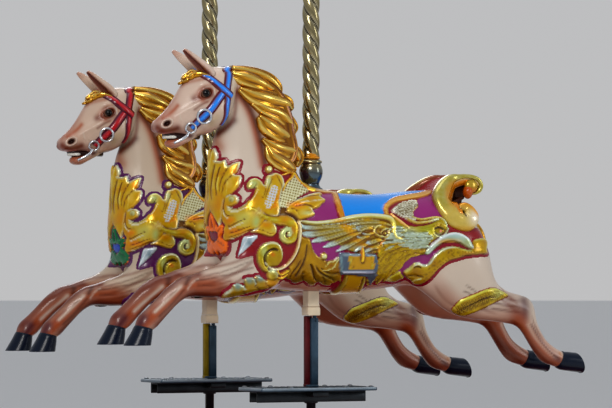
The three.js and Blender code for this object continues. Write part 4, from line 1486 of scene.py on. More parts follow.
HORN_LINE = horn_centreline()
(BACK_VERTS, BACK_FACES), BACK_IS_FRONT = back_sheet(HORN_LINE)
LINING = lined(HORN_LINE, LINING_ROWS, BEVEL, HORN_LINE[:, 4] + 0.3 * HORN_LINE[:, 3])
SHADOW_SLAB = lined(HORN_LINE, BACKING_ROWS, [(0.62, 1.0, 70), (0.0, 1.0, 70)], HORN_LINE[:, 4])
SMOOTH_GILDING = material(
    "smooth_gilding", roughness=0.24, coat=0.5, bump=0.05, bump_scale=20.0, mottle=0.10,
)
HORNS = with_mirror([horn(HORN_LINE)])
both_horses("cantle_horns", *HORNS, horn_paint, SMOOTH_GILDING, ["cantle_scroll"], slot="carving")
SEAT_BACK_PAINT = material("seat_back_paint", roughness=0.55)
both_horses("cantle_back", BACK_VERTS, BACK_FACES, paint_back, SEAT_BACK_PAINT, slot="carving")
both_horses("cantle_lining", *LINING[:2], lining_paint, SMOOTH_GILDING, slot="carving")
# a dark brown slab behind the lining: painted shadow in the hollow of the scroll
both_horses("cantle_shadow_slab", *SHADOW_SLAB[:2], paint_flat(66, 26, 6), SEAT_BACK_PAINT, slot="carving")
both_horses("cantle_roll", *roll(), paint_roll, SMOOTH_GILDING, slot="carving")
both_horses("cantle_drops", *with_mirror([drop()]), paint_flat(190, 88, 8), SMOOTH_GILDING, slot="carving")


# Relief carving
class Relief:
    """A map over part of the photograph of height (mm), paint, gilding and ground.

    One side's carving is drawn on it as the camera sees it, and is laid on both sides of the skin.
    """

    AREA = (202, 138, 512, 346)  # left, top, right, bottom in the photograph
    FINE = 4  # map points for each point of the photograph

    def __init__(self):
        left, top, right, bottom = self.AREA
        self.shape = ((bottom - top) * self.FINE, (right - left) * self.FINE)
        self.height = np.zeros(self.shape)
        self.paint = np.zeros((*self.shape, 3))
        self.gild = np.zeros(self.shape)
        self.carved = np.zeros(self.shape, bool)
        self.ground = np.zeros(self.shape, int)
        self.special = np.zeros(self.shape, int)

    def to_map(self, window, x, y):
        left, top, times = WINDOWS[window]
        u = (np.asarray(x, float) / times + left - self.AREA[0]) * self.FINE
        v = (np.asarray(y, float) / times + top - self.AREA[1]) * self.FINE
        return u, v

    def patch(self, u, v, reach):
        """Slices and point coordinates of the part of the map around some points."""
        rows, columns = self.shape
        u0, u1 = int(max(0, np.min(u) - reach)), int(min(columns, np.max(u) + reach + 2))
        v0, v1 = int(max(0, np.min(v) - reach)), int(min(rows, np.max(v) + reach + 2))
        vv, uu = np.mgrid[v0:v1, u0:u1]
        return (slice(v0, v1), slice(u0, u1)), uu.astype(float), vv.astype(float)

    def lay(self, place, mask, height, paint, gild):
        """Puts carving on the map wherever it stands higher than what is there."""
        old = self.height[place]
        higher = mask & (height >= old)
        self.height[place] = np.where(higher, height, old)
        self.paint[place] = np.where(higher[..., None], paint, self.paint[place])
        self.gild[place] = np.where(higher, gild, self.gild[place])
        self.carved[place] |= higher
        self.ground[place] = np.where(higher, 0, self.ground[place])
        self.special[place] = np.where(higher, 0, self.special[place])

    def mark(self, window, outline, kind):
        """Names the carving inside an outline as a piece that each horse has in its own colour."""
        place, inside, _, _ = self.inside(window, outline)
        self.special[place] = np.where(inside & self.carved[place], kind, self.special[place])

    def beside(self, a, b, reach, uu, vv):
        """The part of a map near a piece of line: its slices, the place along, the offsets and the turn."""
        (au, av), (bu, bv) = a, b
        i0, i1 = np.searchsorted(vv[:, 0], [min(av, bv) - reach, max(av, bv) + reach])
        j0, j1 = np.searchsorted(uu[0], [min(au, bu) - reach, max(au, bu) + reach])
        box = (slice(i0, i1), slice(j0, j1))
        du, dv = uu[box] - au, vv[box] - av
        eu, ev = bu - au, bv - av
        t = np.clip((du * eu + dv * ev) / max(eu * eu + ev * ev, 1e-9), 0, 1)
        return box, t, du - t * eu, dv - t * ev, eu * dv - ev * du

    def trace(self, window, rows):
        """Where points lie on a smooth line of x, y and half width.

        Gives the map's slices, the place across in half widths and along, the side and the line's length.
        """
        times = WINDOWS[window][2]
        rows = np.array(rows, float)
        u, v = self.to_map(window, rows[:, 0], rows[:, 1])
        line = catmull(np.column_stack([u, v, rows[:, 2] / times * self.FINE]), 5)
        line[:, 2] = np.maximum(line[:, 2], 0.8)
        place, uu, vv = self.patch(line[:, 0], line[:, 1], line[:, 2].max())
        near = np.full(uu.shape, 9.0)
        along, side = np.zeros(uu.shape), np.zeros(uu.shape)
        lengths = np.hypot(*np.diff(line[:, :2], axis=0).T)
        ends = np.concatenate([[0.0], np.cumsum(lengths)])
        for k in range(len(line) - 1):
            (a, aw), (b, bw) = (line[k, :2], line[k, 2]), (line[k + 1, :2], line[k + 1, 2])
            box, t, ou, ov, turn = self.beside(a, b, max(aw, bw) + 1, uu, vv)
            off = np.hypot(ou, ov) / (aw + (bw - aw) * t)
            better = off < near[box]
            near[box] = np.where(better, off, near[box])
            along[box] = np.where(better, (ends[k] + t * lengths[k]) / ends[-1], along[box])
            side[box] = np.where(better, np.sign(turn), side[box])
        return place, near, along, side, ends[-1] / self.FINE

    def stroke(
        self, window, rows, look, tall=9.0, edge=0.35, rib=0.0, flutes=0, lift=0.0, scales=0.0, barbs=0.0
    ):
        """A leaf, band or feather along a centreline of x, y and half width."""
        place, near, along, side, length = self.trace(window, rows)
        inside = near < 1.0
        q = np.clip(near, 0, 1)
        relief = tall * (edge + (1 - edge) * np.sqrt(1 - q * q))
        # painted shade at the edges, in the rib, the flutes and the steps of scales and barbs; painted
        # highlights along the crest, set off to one side, and towards the tip
        paint = mix(look["edge"], look["middle"], 1 - smoothstep(0.60, 1.0, q))
        paint = mix(paint, look["crest"], 0.8 * np.exp(-(((side * q + 0.1) / 0.38) ** 2)))
        paint = mix(paint, look["tip"], smoothstep(0.62, 0.95, along))
        if rib:
            relief = relief - rib * tall * np.exp(-((q / 0.16) ** 2))
            paint = mix(paint, look["edge"], 0.7 * np.exp(-((q / 0.14) ** 2)))
        if flutes:
            groove = 1 - np.abs(np.sin(math.pi * flutes * (side * q + 1) / 2))
            relief = relief * (1 - 0.30 * groove)
            paint = mix(paint, look["edge"], 0.75 * smoothstep(0.55, 1.0, groove))
        for pitch, lean, amount in ((scales, 2.4, 0.18), (barbs, -5.5, 0.10)):
            if pitch:
                step = np.abs(np.sin(math.pi * along * length / pitch + lean * q))
                relief = relief * (1 - amount + amount * step)
                paint = mix(paint, look["edge"], 0.6 * (1 - step))
        self.lay(place, inside, relief + lift, paint, np.full(near.shape, look["gild"]))

    def mass(self, window, outline, look, tall=8.0, soft=2.4, lift=0.0, over=False):
        """A broad leaf or body with rounded margins: a painted highlight where its edge faces up and right,
        painted shade along the edge below.
        """
        u, v = self.to_map(window, *np.array(outline, float).T)
        closed = np.column_stack([u, v])
        line = catmull(np.vstack([closed[-1], closed, closed[0], closed[1]]), 4)[4:-4]
        place, uu, vv = self.patch(line[:, 0], line[:, 1], 1)
        inside = self.even_odd(line[:, 0], line[:, 1], uu, vv)
        reach = soft * self.FINE
        nearest = np.full(uu.shape, reach)
        light = np.zeros(uu.shape)
        for k in range(len(line)):
            box, _, ou, ov, _ = self.beside(line[k - 1], line[k], reach, uu, vv)
            off = np.hypot(ou, ov)
            better = off < nearest[box]
            nearest[box] = np.where(better, off, nearest[box])
            light[box] = np.where(better, (ov * 0.80 - ou * 0.60) / np.maximum(off, 1e-6), light[box])
        q = np.clip(nearest / reach, 0, 1)
        relief = lift + tall * (0.35 + 0.65 * np.sqrt(1 - (1 - q) ** 2))
        waves = np.sin(uu / 17.0 + 1.9 * np.sin(vv / 23.0)) * np.sin(vv / 19.0 + 1.3 * np.sin(uu / 29.0))
        mottle = 0.5 + 0.5 * waves
        paint = mix(look["middle"], look["crest"], 0.75 * mottle)
        rim = np.exp(-((nearest / self.FINE / 1.15) ** 2))
        pale_rim = np.exp(-((nearest / self.FINE / 1.7) ** 2))
        paint = mix(paint, look["tip"], pale_rim * smoothstep(-0.1, 0.5, light))
        paint = mix(paint, look["edge"], 0.85 * rim * smoothstep(0.1, 0.7, -light))
        if over:
            self.height[place] = np.where(inside, 0, self.height[place])
        self.lay(place, inside, relief, paint, np.full(uu.shape, look["gild"]))

    def line(self, window, rows, rise, tint=None, strength=0.85):
        """A groove (rise below 0) or a raised line on what is already carved."""
        place, near, along, _, _ = self.trace(window, rows)
        fade = np.exp(-((np.clip(near, 0, 3) * 1.5) ** 2)) * (near < 1.6)
        fade = fade * smoothstep(0, 0.12, along) * smoothstep(0, 0.12, 1 - along) * self.carved[place]
        self.height[place] += rise * fade
        # with no tint given the line is darkened: painted shade in a groove
        if tint is None:
            tint = self.paint[place] * np.array([0.34, 0.20, 0.10])
        self.paint[place] = mix(self.paint[place], tint, strength * fade)

    def lines(self, window, paths, rise, tint=None, strength=0.85):
        for rows in paths:
            self.line(window, rows, rise, tint, strength)

    def grooves(self, window, pairs, tint=None, strength=0.85):
        """Several lines, each with its own rise."""
        for rows, rise in pairs:
            self.line(window, rows, rise, tint, strength)

    def strokes(self, window, paths, look, **shape):
        for rows in paths:
            self.stroke(window, rows, look, **shape)

    def tints(self, window, spots):
        for spot in spots:
            self.tint(window, *spot)

    def tint(self, window, x, y, radii, colour, strength=0.8):
        """A soft patch of another colour on what is already carved."""
        times = WINDOWS[window][2]
        u, v = self.to_map(window, x, y)
        ru, rv = radii[0] / times * self.FINE, radii[1] / times * self.FINE
        place, uu, vv = self.patch([u - ru, u + ru], [v - rv, v + rv], 1)
        fade = np.exp(-1.6 * (((uu - u) / ru) ** 2 + ((vv - v) / rv) ** 2)) * self.carved[place]
        self.paint[place] = mix(self.paint[place], colour, strength * fade)

    def boss(self, window, x, y, radius, look, tall=10.0, lift=0.0):
        """A round boss or pearl."""
        u, v = self.to_map(window, x, y)
        radius = radius / WINDOWS[window][2] * self.FINE
        place, uu, vv = self.patch([u], [v], radius)
        q = np.hypot(uu - u, vv - v) / radius
        dome = np.sqrt(np.clip(1 - q * q, 0, 1))
        # painted shade round its foot and a painted highlight on its top
        paint = mix(look["edge"], look["middle"], 1 - smoothstep(0.5, 1.0, q))
        paint = mix(paint, look["crest"], smoothstep(0.55, 1.0, dome))
        self.lay(place, q < 1, lift + tall * (0.25 + 0.75 * dome), paint, np.full(uu.shape, look["gild"]))

    def even_odd(self, u, v, uu, vv):
        odd = np.zeros(uu.shape, bool)
        for k in range(len(u)):
            u0, v0, u1, v1 = u[k - 1], v[k - 1], u[k], v[k]
            if v0 == v1:
                continue
            crosses = (v0 > vv) != (v1 > vv)
            odd ^= crosses & (uu < (u1 - u0) * (vv - v0) / (v1 - v0) + u0)
        return odd

    def inside(self, window, outline):
        u, v = self.to_map(window, *np.array(outline, float).T)
        place, uu, vv = self.patch(u, v, 1)
        return place, self.even_odd(u, v, uu, vv), uu, vv

    def field(self, window, outline, ground):
        """A flat painted ground between the carving; ground names its colour."""
        place, odd, _, _ = self.inside(window, outline)
        odd = odd & ~self.carved[place]
        self.ground[place] = np.where(odd, ground, self.ground[place])
        self.height[place] = np.where(odd, GROUND_HEIGHT, self.height[place])

    def plate(self, window, outline, look, tall, pattern=None):
        """A raised flat shape, with a cross-hatched, granular or plain face."""
        place, odd, uu, vv = self.inside(window, outline)
        paint = np.broadcast_to(look["middle"], (*uu.shape, 3))
        height = np.full(uu.shape, float(tall))
        if pattern == "lattice":
            turn = math.pi / (1.35 * self.FINE)
            bars = np.maximum(np.cos((uu + 0.25 * vv) * turn), np.cos((vv - 0.25 * uu) * turn))
            height = height + 2.0 * smoothstep(0.1, 0.8, bars)
            paint = mix(look["edge"], look["crest"], smoothstep(0.0, 0.7, bars))
        if pattern == "grains":
            grain = np.sin(uu * 1.1 + 1.7 * np.sin(vv * 0.61)) * np.sin(vv * 1.3 + 1.9 * np.sin(uu * 0.53))
            height = height + 3.0 * smoothstep(-0.4, 0.7, grain)
            paint = mix(look["edge"], look["crest"], smoothstep(-0.5, 0.6, grain))
        self.lay(place, odd, height, paint, np.full(uu.shape, look["gild"]))

    def blurred(self, field, radius):
        """A box blur, repeated to make it round."""
        for _ in range(2):
            for axis in (0, 1):
                first = np.zeros_like(np.take(field, [0], axis))
                total = np.cumsum(np.concatenate([first, field], axis), axis)
                count = field.shape[axis]
                low = np.clip(np.arange(count) - radius, 0, count)
                high = np.clip(np.arange(count) + radius + 1, 0, count)
                width = (high - low).reshape([-1, 1] if axis == 0 else [1, -1])
                field = (np.take(total, high, axis) - np.take(total, low, axis)) / width
        return field

    def shade_and_measure(self):
        """Paints shade into the hollows and highlights onto the crests, and measures the distance
        (photograph points) outside the carving.
        """
        hollow = self.blurred(self.height, 7) - self.height
        dark = smoothstep(0.3, 2.6, hollow) * self.carved
        light = smoothstep(0.6, 3.0, -hollow) * self.carved
        self.paint = saturated(self.paint, 1.3)
        self.paint = mix(self.paint, self.paint * np.array([0.36, 0.20, 0.10]), 0.9 * dark)
        self.paint = mix(self.paint, np.clip(self.paint * 1.35 + 0.06, 0, 1), 0.6 * light)
        self.gild = self.gild * (1 - 0.6 * dark)
        reached = self.carved | (self.ground > 0)
        self.away = np.where(reached, 0.0, 99.0)
        for step in range(1, 40):
            grown = reached.copy()
            grown[1:] |= reached[:-1]
            grown[:-1] |= reached[1:]
            if step % 2:
                grown[:, 1:] |= grown[:, :-1].copy()
                grown[:, :-1] |= grown[:, 1:].copy()
            else:
                grown[:, 1:] |= reached[:, :-1]
                grown[:, :-1] |= reached[:, 1:]
            self.away[grown & ~reached] = step * 1.1 / self.FINE
            reached = grown
        edges = 0
        tone = self.paint.mean(axis=2)
        for field, weight in ((self.height, 1.0), (tone, 10.0), (self.ground, 1.0), (reached, 4.0)):
            down, across = np.gradient(field.astype(float) * weight)
            edges = edges + np.hypot(down, across)
        self.detail = self.blurred(edges, 7) + 9.0 * bell(self.away - OUTLINE_WIDTH - 0.3, 0, 1.3)

    def sample(self, field, points):
        """A field of the map at points of the horse's near side."""
        u, v = ((in_photo(points) - self.AREA[:2]) * self.FINE).T
        rows, columns = self.shape
        u, v = np.clip(u, 0, columns - 1.001), np.clip(v, 0, rows - 1.001)
        i, j = v.astype(int), u.astype(int)
        if field.dtype == int:
            return field[np.rint(v).astype(int), np.rint(u).astype(int)]
        fu, fv = u - j, v - i
        if field.ndim == 3:
            fu, fv = fu[:, None], fv[:, None]
        low = field[i, j] * (1 - fu) + field[i, j + 1] * fu
        high = field[i + 1, j] * (1 - fu) + field[i + 1, j + 1] * fu
        return low * (1 - fv) + high * fv


GROUND_HEIGHT = 1.2
OUTLINE_WIDTH = 3.4  # of the painted line round the carving, in points of the photograph
CRIMSON, MAGENTA, SEAT_BLUE = 2, 3, 4  # kinds of ground; 0 is none
PETAL, CENTRE_OF_FLOWER = 1, 2  # carving that each horse has in its own colour


def look(edge, middle, crest, tip, gild):
    """The colours of a piece of carving, from its edge to its crest, and its share of gilding; the edge
    colour serves as painted shade and the crest and tip colours as painted highlights.
    """
    colours = {"edge": edge, "middle": middle, "crest": crest, "tip": tip}
    return {name: srgb(*rgb) for name, rgb in colours.items()} | {"gild": gild}


MINT = look((146, 100, 20), (190, 168, 84), (214, 220, 176), (206, 220, 186), 0.45)
WHITE_LEAF = look((110, 120, 110), (170, 190, 200), (216, 224, 230), (225, 230, 236), 0.25)
DRAPERY = look((60, 34, 2), (150, 112, 14), (196, 160, 40), (150, 118, 24), 0.55)
FEATHER = look((112, 82, 22), (176, 158, 84), (208, 212, 180), (200, 222, 222), 0.42)
EAGLE = look((112, 78, 10), (168, 136, 40), (206, 196, 120), (190, 170, 80), 0.55)
ORANGE_CARVING = look((150, 62, 8), (216, 126, 26), (236, 184, 90), (232, 160, 60), 0.5)
LATTICE = look((146, 130, 76), (200, 192, 140), (232, 230, 196), (232, 230, 196), 0.25)
BUCKLE = look((62, 74, 88), (92, 104, 118), (130, 142, 156), (130, 142, 156), 0.5)
STRAP = look((110, 74, 4), (190, 152, 16), (214, 180, 40), (190, 152, 16), 0.2)
FLOWER = look((160, 40, 10), (226, 120, 20), (240, 170, 60), (236, 140, 40), 0.1)
CENTRE = look((70, 0, 20), (134, 8, 40), (176, 60, 90), (150, 10, 24), 0.0)
LEAF = look((112, 66, 4), (198, 152, 42), (218, 196, 120), (222, 234, 214), 0.4)
SCROLL = look((124, 84, 6), (184, 156, 36), (214, 208, 130), (206, 222, 176), 0.5)
SCROLL_MASS = look((96, 58, 6), (170, 142, 28), (188, 170, 66), (206, 218, 160), 0.55)
LOW_LEAF = look((96, 58, 6), (160, 124, 30), (176, 150, 60), (190, 206, 196), 0.45)
RIM = look((150, 96, 40), (214, 190, 140), (238, 232, 206), (226, 220, 190), 0.3)
GILT_LINE = look((160, 84, 8), (226, 156, 30), (250, 220, 130), (244, 200, 90), 0.5)
SILVER_LATTICE = look((146, 148, 150), (186, 192, 202), (214, 220, 230), (214, 220, 230), 0.3)
SHADED_TROUGH = look((56, 30, 4), (104, 70, 12), (128, 92, 18), (128, 92, 18), 0.5)
WING_EDGE = look((140, 104, 10), (196, 190, 120), (218, 226, 214), (238, 226, 150), 0.45)
EAGLE_BODY = look((76, 46, 4), (164, 136, 34), (196, 180, 92), (206, 196, 110), 0.5)
PALE_FEATHER = look((92, 84, 48), (160, 170, 140), (210, 222, 212), (200, 216, 206), 0.3)
GOLD_FEATHER = look((84, 50, 4), (168, 136, 26), (206, 184, 74), (196, 170, 50), 0.5)
SERPENT_MASS = look((84, 50, 4), (164, 128, 22), (196, 170, 62), (206, 214, 156), 0.45)
BEAK = look((110, 90, 30), (164, 172, 130), (192, 210, 200), (214, 226, 232), 0.35)
HAUNCH_LOOK = look((84, 50, 4), (158, 128, 30), (200, 178, 84), (206, 206, 140), 0.4)
WING_GROUND = look((84, 50, 4), (158, 124, 34), (190, 164, 80), (190, 164, 80), 0.5)
CREST = look((104, 84, 34), (194, 190, 156), (236, 236, 216), (236, 236, 216), 0.3)
PEACH = look((190, 110, 50), (226, 168, 110), (240, 200, 150), (222, 180, 120), 0.3)
EYE_BALL = look((60, 10, 6), (150, 60, 40), (222, 150, 120), (150, 60, 40), 0.0)
BAR = look((80, 84, 104), (150, 154, 170), (200, 204, 214), (150, 154, 170), 0.4)


GROUNDS = [
    (
        [(280, 240), (297, 238), (298, 250), (292, 258), (282, 267), (268, 268), (262, 262), (282, 262)],
        "photo", CRIMSON,
    ),
    (
        [(244, 240), (262, 232), (276, 232), (283, 243), (262, 243), (254, 252), (240, 256)],
        "photo", CRIMSON,
    ),
    ([(165, 272), (245, 268), (300, 472), (40, 486), (90, 390)], "saddle", MAGENTA),
    (
        [(310, 240), (325, 240), (345, 248), (342, 262), (330, 268), (316, 262), (310, 252)],
        "photo", MAGENTA,
    ),
    (
        [(382, 280), (395, 266), (410, 254), (440, 250), (436, 262), (420, 272), (402, 278), (392, 282)],
        "photo", MAGENTA,
    ),
    ([(880, 330), (1050, 262), (1130, 470), (1040, 470), (870, 480)], "saddle", MAGENTA),
    ([(1120, 470), (1230, 540), (1430, 560), (1460, 640), (1180, 640)], "saddle", CRIMSON),
]


def draw_grounds(art):
    for outline, window, kind in GROUNDS:
        art.field(window, outline, kind)


SEAT_EDGE = look((140, 80, 20), (186, 134, 62), (214, 174, 116), (198, 138, 52), 0.25)
SEAT_BORDERS = [
    [
        (20, 190, 8), (70, 216, 12), (130, 240, 15), (200, 250, 18), (262, 258, 20), (292, 330, 22),
        (322, 420, 22), (336, 470, 18),
    ],
    [
        (700, 452, 15), (674, 420, 20), (680, 366, 22), (740, 322, 23), (840, 300, 23), (950, 280, 22),
        (1014, 256, 20), (1030, 220, 13), (1015, 190, 7),
    ],
]


SEAT_TOP = [
    (66, 40), (1030, 40), (1044, 210), (1020, 268), (880, 300), (750, 322), (688, 372), (672, 446),
    (350, 452), (268, 262), (130, 246), (60, 215),
]


def draw_seat(art):
    art.field("saddle", SEAT_TOP, SEAT_BLUE)
    for rows in SEAT_BORDERS:
        art.stroke("saddle", rows, SEAT_EDGE, tall=6.0, edge=0.8)
        inner = np.array(rows, float)
        inner[:, 1] += 10
        inner[:, 2] = 5
        art.line("saddle", inner, 0.6, srgb(232, 198, 140), 0.7)


# the first colour is a painted highlight for raised lines and the last painted shade for grooves
PAINTED_HIGHLIGHT = srgb(236, 236, 214)
ORANGE_GLOW = srgb(232, 140, 26)
GOLD_GLOW = srgb(206, 146, 18)
OLIVE = srgb(136, 112, 18)
GROOVE_SHADE = srgb(52, 26, 4)


BEHIND_LEAVES = [(262, 186), (283, 186), (300, 200), (300, 222), (280, 222), (262, 214)]
TALL_LEAF = [
    (290, 455), (332, 505), (362, 575), (374, 650), (352, 720), (346, 742), (430, 742), (518, 712),
    (548, 765), (566, 838), (600, 846), (700, 792), (852, 752), (845, 830), (815, 925), (780, 1000),
    (740, 1052), (850, 1068), (884, 1105), (878, 1185), (850, 1272), (790, 1362), (700, 1452), (600, 1530),
    (536, 1597), (504, 1715), (498, 1822), (520, 1920), (480, 2040), (440, 2130), (413, 2197), (354, 2101),
    (279, 1962), (198, 1822), (166, 1662), (145, 1501), (122, 1350), (112, 1200), (125, 1050), (138, 900),
    (152, 760), (183, 650), (230, 540),
]
TALL_LEAF_TINTS = [
    # the olive along the leaf's left border is painted shade
    (160, 1300, (70, 420), OLIVE, 0.8), (420, 1700, (180, 320), GOLD_GLOW, 0.8),
    (720, 940, (90, 110), ORANGE_GLOW, 0.8), (640, 1280, (110, 150), srgb(232, 196, 120), 0.7),
]
TALL_LEAF_GROOVES = [
    (
        [
            (470, 840, 10), (420, 900, 18), (390, 1000, 20), (362, 1120, 20), (340, 1250, 20),
            (350, 1400, 16), (372, 1540, 12),
        ],
        -6.0,
    ),
    (
        [(600, 860, 8), (560, 950, 18), (500, 1060, 22), (455, 1180, 20), (430, 1320, 14), (440, 1480, 10)],
        -3.2,
    ),
    (
        [
            (740, 1060, 8), (650, 1100, 20), (570, 1190, 24), (510, 1320, 20), (480, 1460, 14),
            (470, 1620, 10),
        ],
        -3.0,
    ),
    (
        [(350, 745, 8), (320, 850, 20), (290, 1000, 24), (262, 1200, 24), (250, 1400, 20), (270, 1650, 16)],
        -3.4,
    ),
]
TALL_LEAF_LIGHTS = [
    [(290, 500, 8), (262, 640, 20), (232, 800, 24), (208, 960, 24), (205, 1120, 20), (215, 1280, 12)],
    [(420, 1060, 8), (396, 1180, 16), (382, 1300, 16), (384, 1420, 10)],
    [(560, 1150, 8), (600, 1240, 14), (600, 1360, 14), (560, 1480, 10)],
]
BROAD_LEAF = [
    (230.7, 207.2), (236.4, 209.0), (241.7, 206.7), (246.5, 203.4), (249.4, 199.8), (254.0, 202.0),
    (260, 209), (266, 215), (270, 221), (266, 223), (262, 226), (257, 228.5), (250.8, 230.2),
    (245.4, 233.1), (239.1, 236.5), (232.6, 239.5), (227.4, 241.2), (225.0, 239.5), (224.1, 236.1),
    (225, 232.3), (224.7, 229.2), (225.9, 225.1), (223.5, 221.8), (222.3, 216.5), (222.6, 211.3),
    (223.3, 207.0), (224.7, 202.2), (225.4, 198.8), (227.8, 196.0), (232.0, 195.0), (237.5, 196.2),
    (239.3, 199.3), (237.4, 203.6), (232.6, 206.5),
]
BROAD_LEAF_TINTS = [
    (900, 480, (260, 200), srgb(206, 204, 134), 0.8), (640, 520, (120, 80), ORANGE_GLOW, 0.75),
    (700, 760, (260, 80), ORANGE_GLOW, 0.7), (1130, 560, (90, 160), srgb(184, 206, 150), 0.8),
]
BROAD_LEAF_GROOVES = [
    ([(500, 90, 8), (480, 200, 14), (488, 320, 16), (530, 405, 16), (620, 440, 14), (720, 430, 8)], -5.0),
    ([(600, 262, 8), (660, 300, 10), (760, 300, 12), (870, 250, 12), (960, 180, 10)], -3.0),
    ([(960, 500, 6), (820, 545, 14), (720, 600, 18), (640, 640, 16), (560, 665, 10)], -3.4),
    ([(1050, 640, 6), (900, 690, 14), (760, 750, 18), (640, 790, 16), (540, 820, 10)], -3.2),
    ([(1060, 700, 8), (940, 745, 14), (800, 815, 16), (640, 872, 16), (540, 890, 10)], -4.0),
]
BROAD_LEAF_LIGHTS = [
    [(560, 285, 8), (640, 335, 14), (760, 345, 14), (880, 300, 12), (980, 230, 8)],
    [(470, 300, 6), (500, 410, 12), (560, 470, 12), (640, 490, 8)],
    [(930, 560, 6), (800, 610, 14), (680, 675, 14), (580, 705, 8)],
    [(1060, 745, 8), (960, 775, 12), (840, 840, 12), (700, 905, 12), (580, 925, 8)],
]
BROAD_LEAF_BOSS = 655, 100, 84
BROAD_BOSS_TINT = [(640, 120, (50, 60), OLIVE, 0.7)]
CURL_LEAF = [
    (246.8, 185.2), (248.4, 181.9), (251.7, 179.5), (255.5, 179.0), (258.9, 180.7), (261.7, 183.2),
    (263.5, 186.1), (264.4, 183.2), (265.8, 178.2), (267.3, 175.9), (271.2, 174.9), (274.5, 173.2),
    (279.5, 175.3), (282.0, 179.0), (283.2, 185.2), (281.2, 191.5), (279.9, 195.6), (278.9, 201.8),
    (279.5, 208.0), (277.0, 216.5), (270.2, 216.8), (264, 214.5), (258.2, 210.8), (253.7, 208.5),
    (250.0, 209), (248, 204), (250.5, 199.3), (253.4, 195.2), (254.8, 191.5), (255.3, 189.0),
    (253.0, 188.6), (250.5, 189.6), (248, 189.2), (247.0, 187.5),
]
CURL_TINTS = [
    (120, 850, (180, 150), srgb(196, 214, 160), 0.85), (470, 780, (70, 180), srgb(204, 220, 176), 0.85),
    (200, 1250, (180, 120), srgb(214, 168, 92), 0.6),
]
CURL_BOSS = 70, 850, 62
CURL_COIL = [(0, 950, 10), (80, 960, 14), (150, 920, 16), (185, 860, 12), (165, 800, 8)]
CURL_GROOVES = [
    [(380, 880, 8), (400, 980, 16), (370, 1100, 14), (320, 1230, 8)],
    [(560, 640, 8), (530, 780, 16), (480, 920, 18), (430, 1060, 16), (385, 1220, 10)],
    [(640, 620, 8), (700, 720, 16), (760, 840, 18), (800, 990, 12)],
    [(170, 990, 8), (130, 1100, 12), (60, 1215, 12), (0, 1260, 8)],
]
CURL_LIGHTS = [
    [(440, 700, 8), (430, 830, 16), (400, 960, 12)],
    [(760, 630, 10), (815, 720, 16), (838, 830, 14), (830, 940, 8)],
    [(225, 960, 6), (180, 1090, 10), (110, 1200, 10), (40, 1260, 6)],
]
CREST_PEARL = 480, 480, 88
SILVER_FIELD = [
    (600, 880), (660, 900), (690, 980), (660, 1100), (600, 1250), (530, 1380), (440, 1420), (370, 1350),
    (410, 1220), (480, 1060), (540, 930),
]
SCALED_STEM = [(720, 1010, 26), (700, 1120, 52), (650, 1260, 62), (590, 1370, 56), (520, 1430, 24)]
LATTICE_FIELD = [
    (1075, 620), (1180, 760), (1300, 900), (1400, 960), (1447, 1020), (1330, 1070), (1180, 1160),
    (1060, 1300), (960, 1390), (740, 1390), (730, 1250), (770, 1080), (860, 900), (950, 740),
]
LATTICE_FRONT_EDGE = [
    (830, 1010, 14), (870, 880, 26), (940, 770, 30), (1030, 670, 28), (1075, 560, 24), (1080, 500, 10),
]
LATTICE_TOP_EDGE = [
    (1080, 540, 20), (1130, 660, 30), (1220, 780, 32), (1330, 880, 32), (1447, 950, 30), (1600, 1000, 26),
]
LATTICE_CAP = [(780, 620, 12), (860, 600, 22), (960, 560, 24), (1050, 520, 14)]
PETAL_LEAF = [
    (20, 330), (60, 200), (150, 100), (250, 20), (400, -40), (600, -110), (760, -150), (880, -155),
    (950, -110), (905, -60), (980, -10), (1040, 45), (960, 120), (880, 185), (800, 240), (725, 262),
    (700, 290), (765, 378), (720, 425), (600, 475), (480, 510), (380, 532), (310, 505), (250, 440),
    (150, 380),
]
PETAL_TINTS = [(260, 160, (260, 110), ORANGE_GLOW, 0.85), (560, 370, (180, 70), srgb(206, 214, 160), 0.85)]
PETAL_GROOVES = [
    ([(170, 200, 8), (330, 172, 16), (480, 155, 22), (620, 180, 24), (740, 240, 12)], -6.5),
    ([(110, 120, 8), (300, 20, 14), (500, -40, 20), (700, -70, 20), (900, -62, 10)], -5.5),
    ([(220, 300, 6), (360, 272, 12), (500, 290, 14), (620, 330, 8)], -2.6),
    ([(60, 260, 6), (180, 240, 12), (260, 300, 12), (330, 420, 8)], -2.4),
]
PETAL_LIGHTS = [
    [(300, 110, 8), (450, 86, 18), (650, 78, 22), (860, 62, 16), (1000, 45, 8)],
    [(330, 0, 8), (480, -80, 14), (650, -110, 16), (860, -115, 8)],
    [(560, 225, 8), (650, 265, 14), (710, 330, 12), (745, 372, 8)],
]


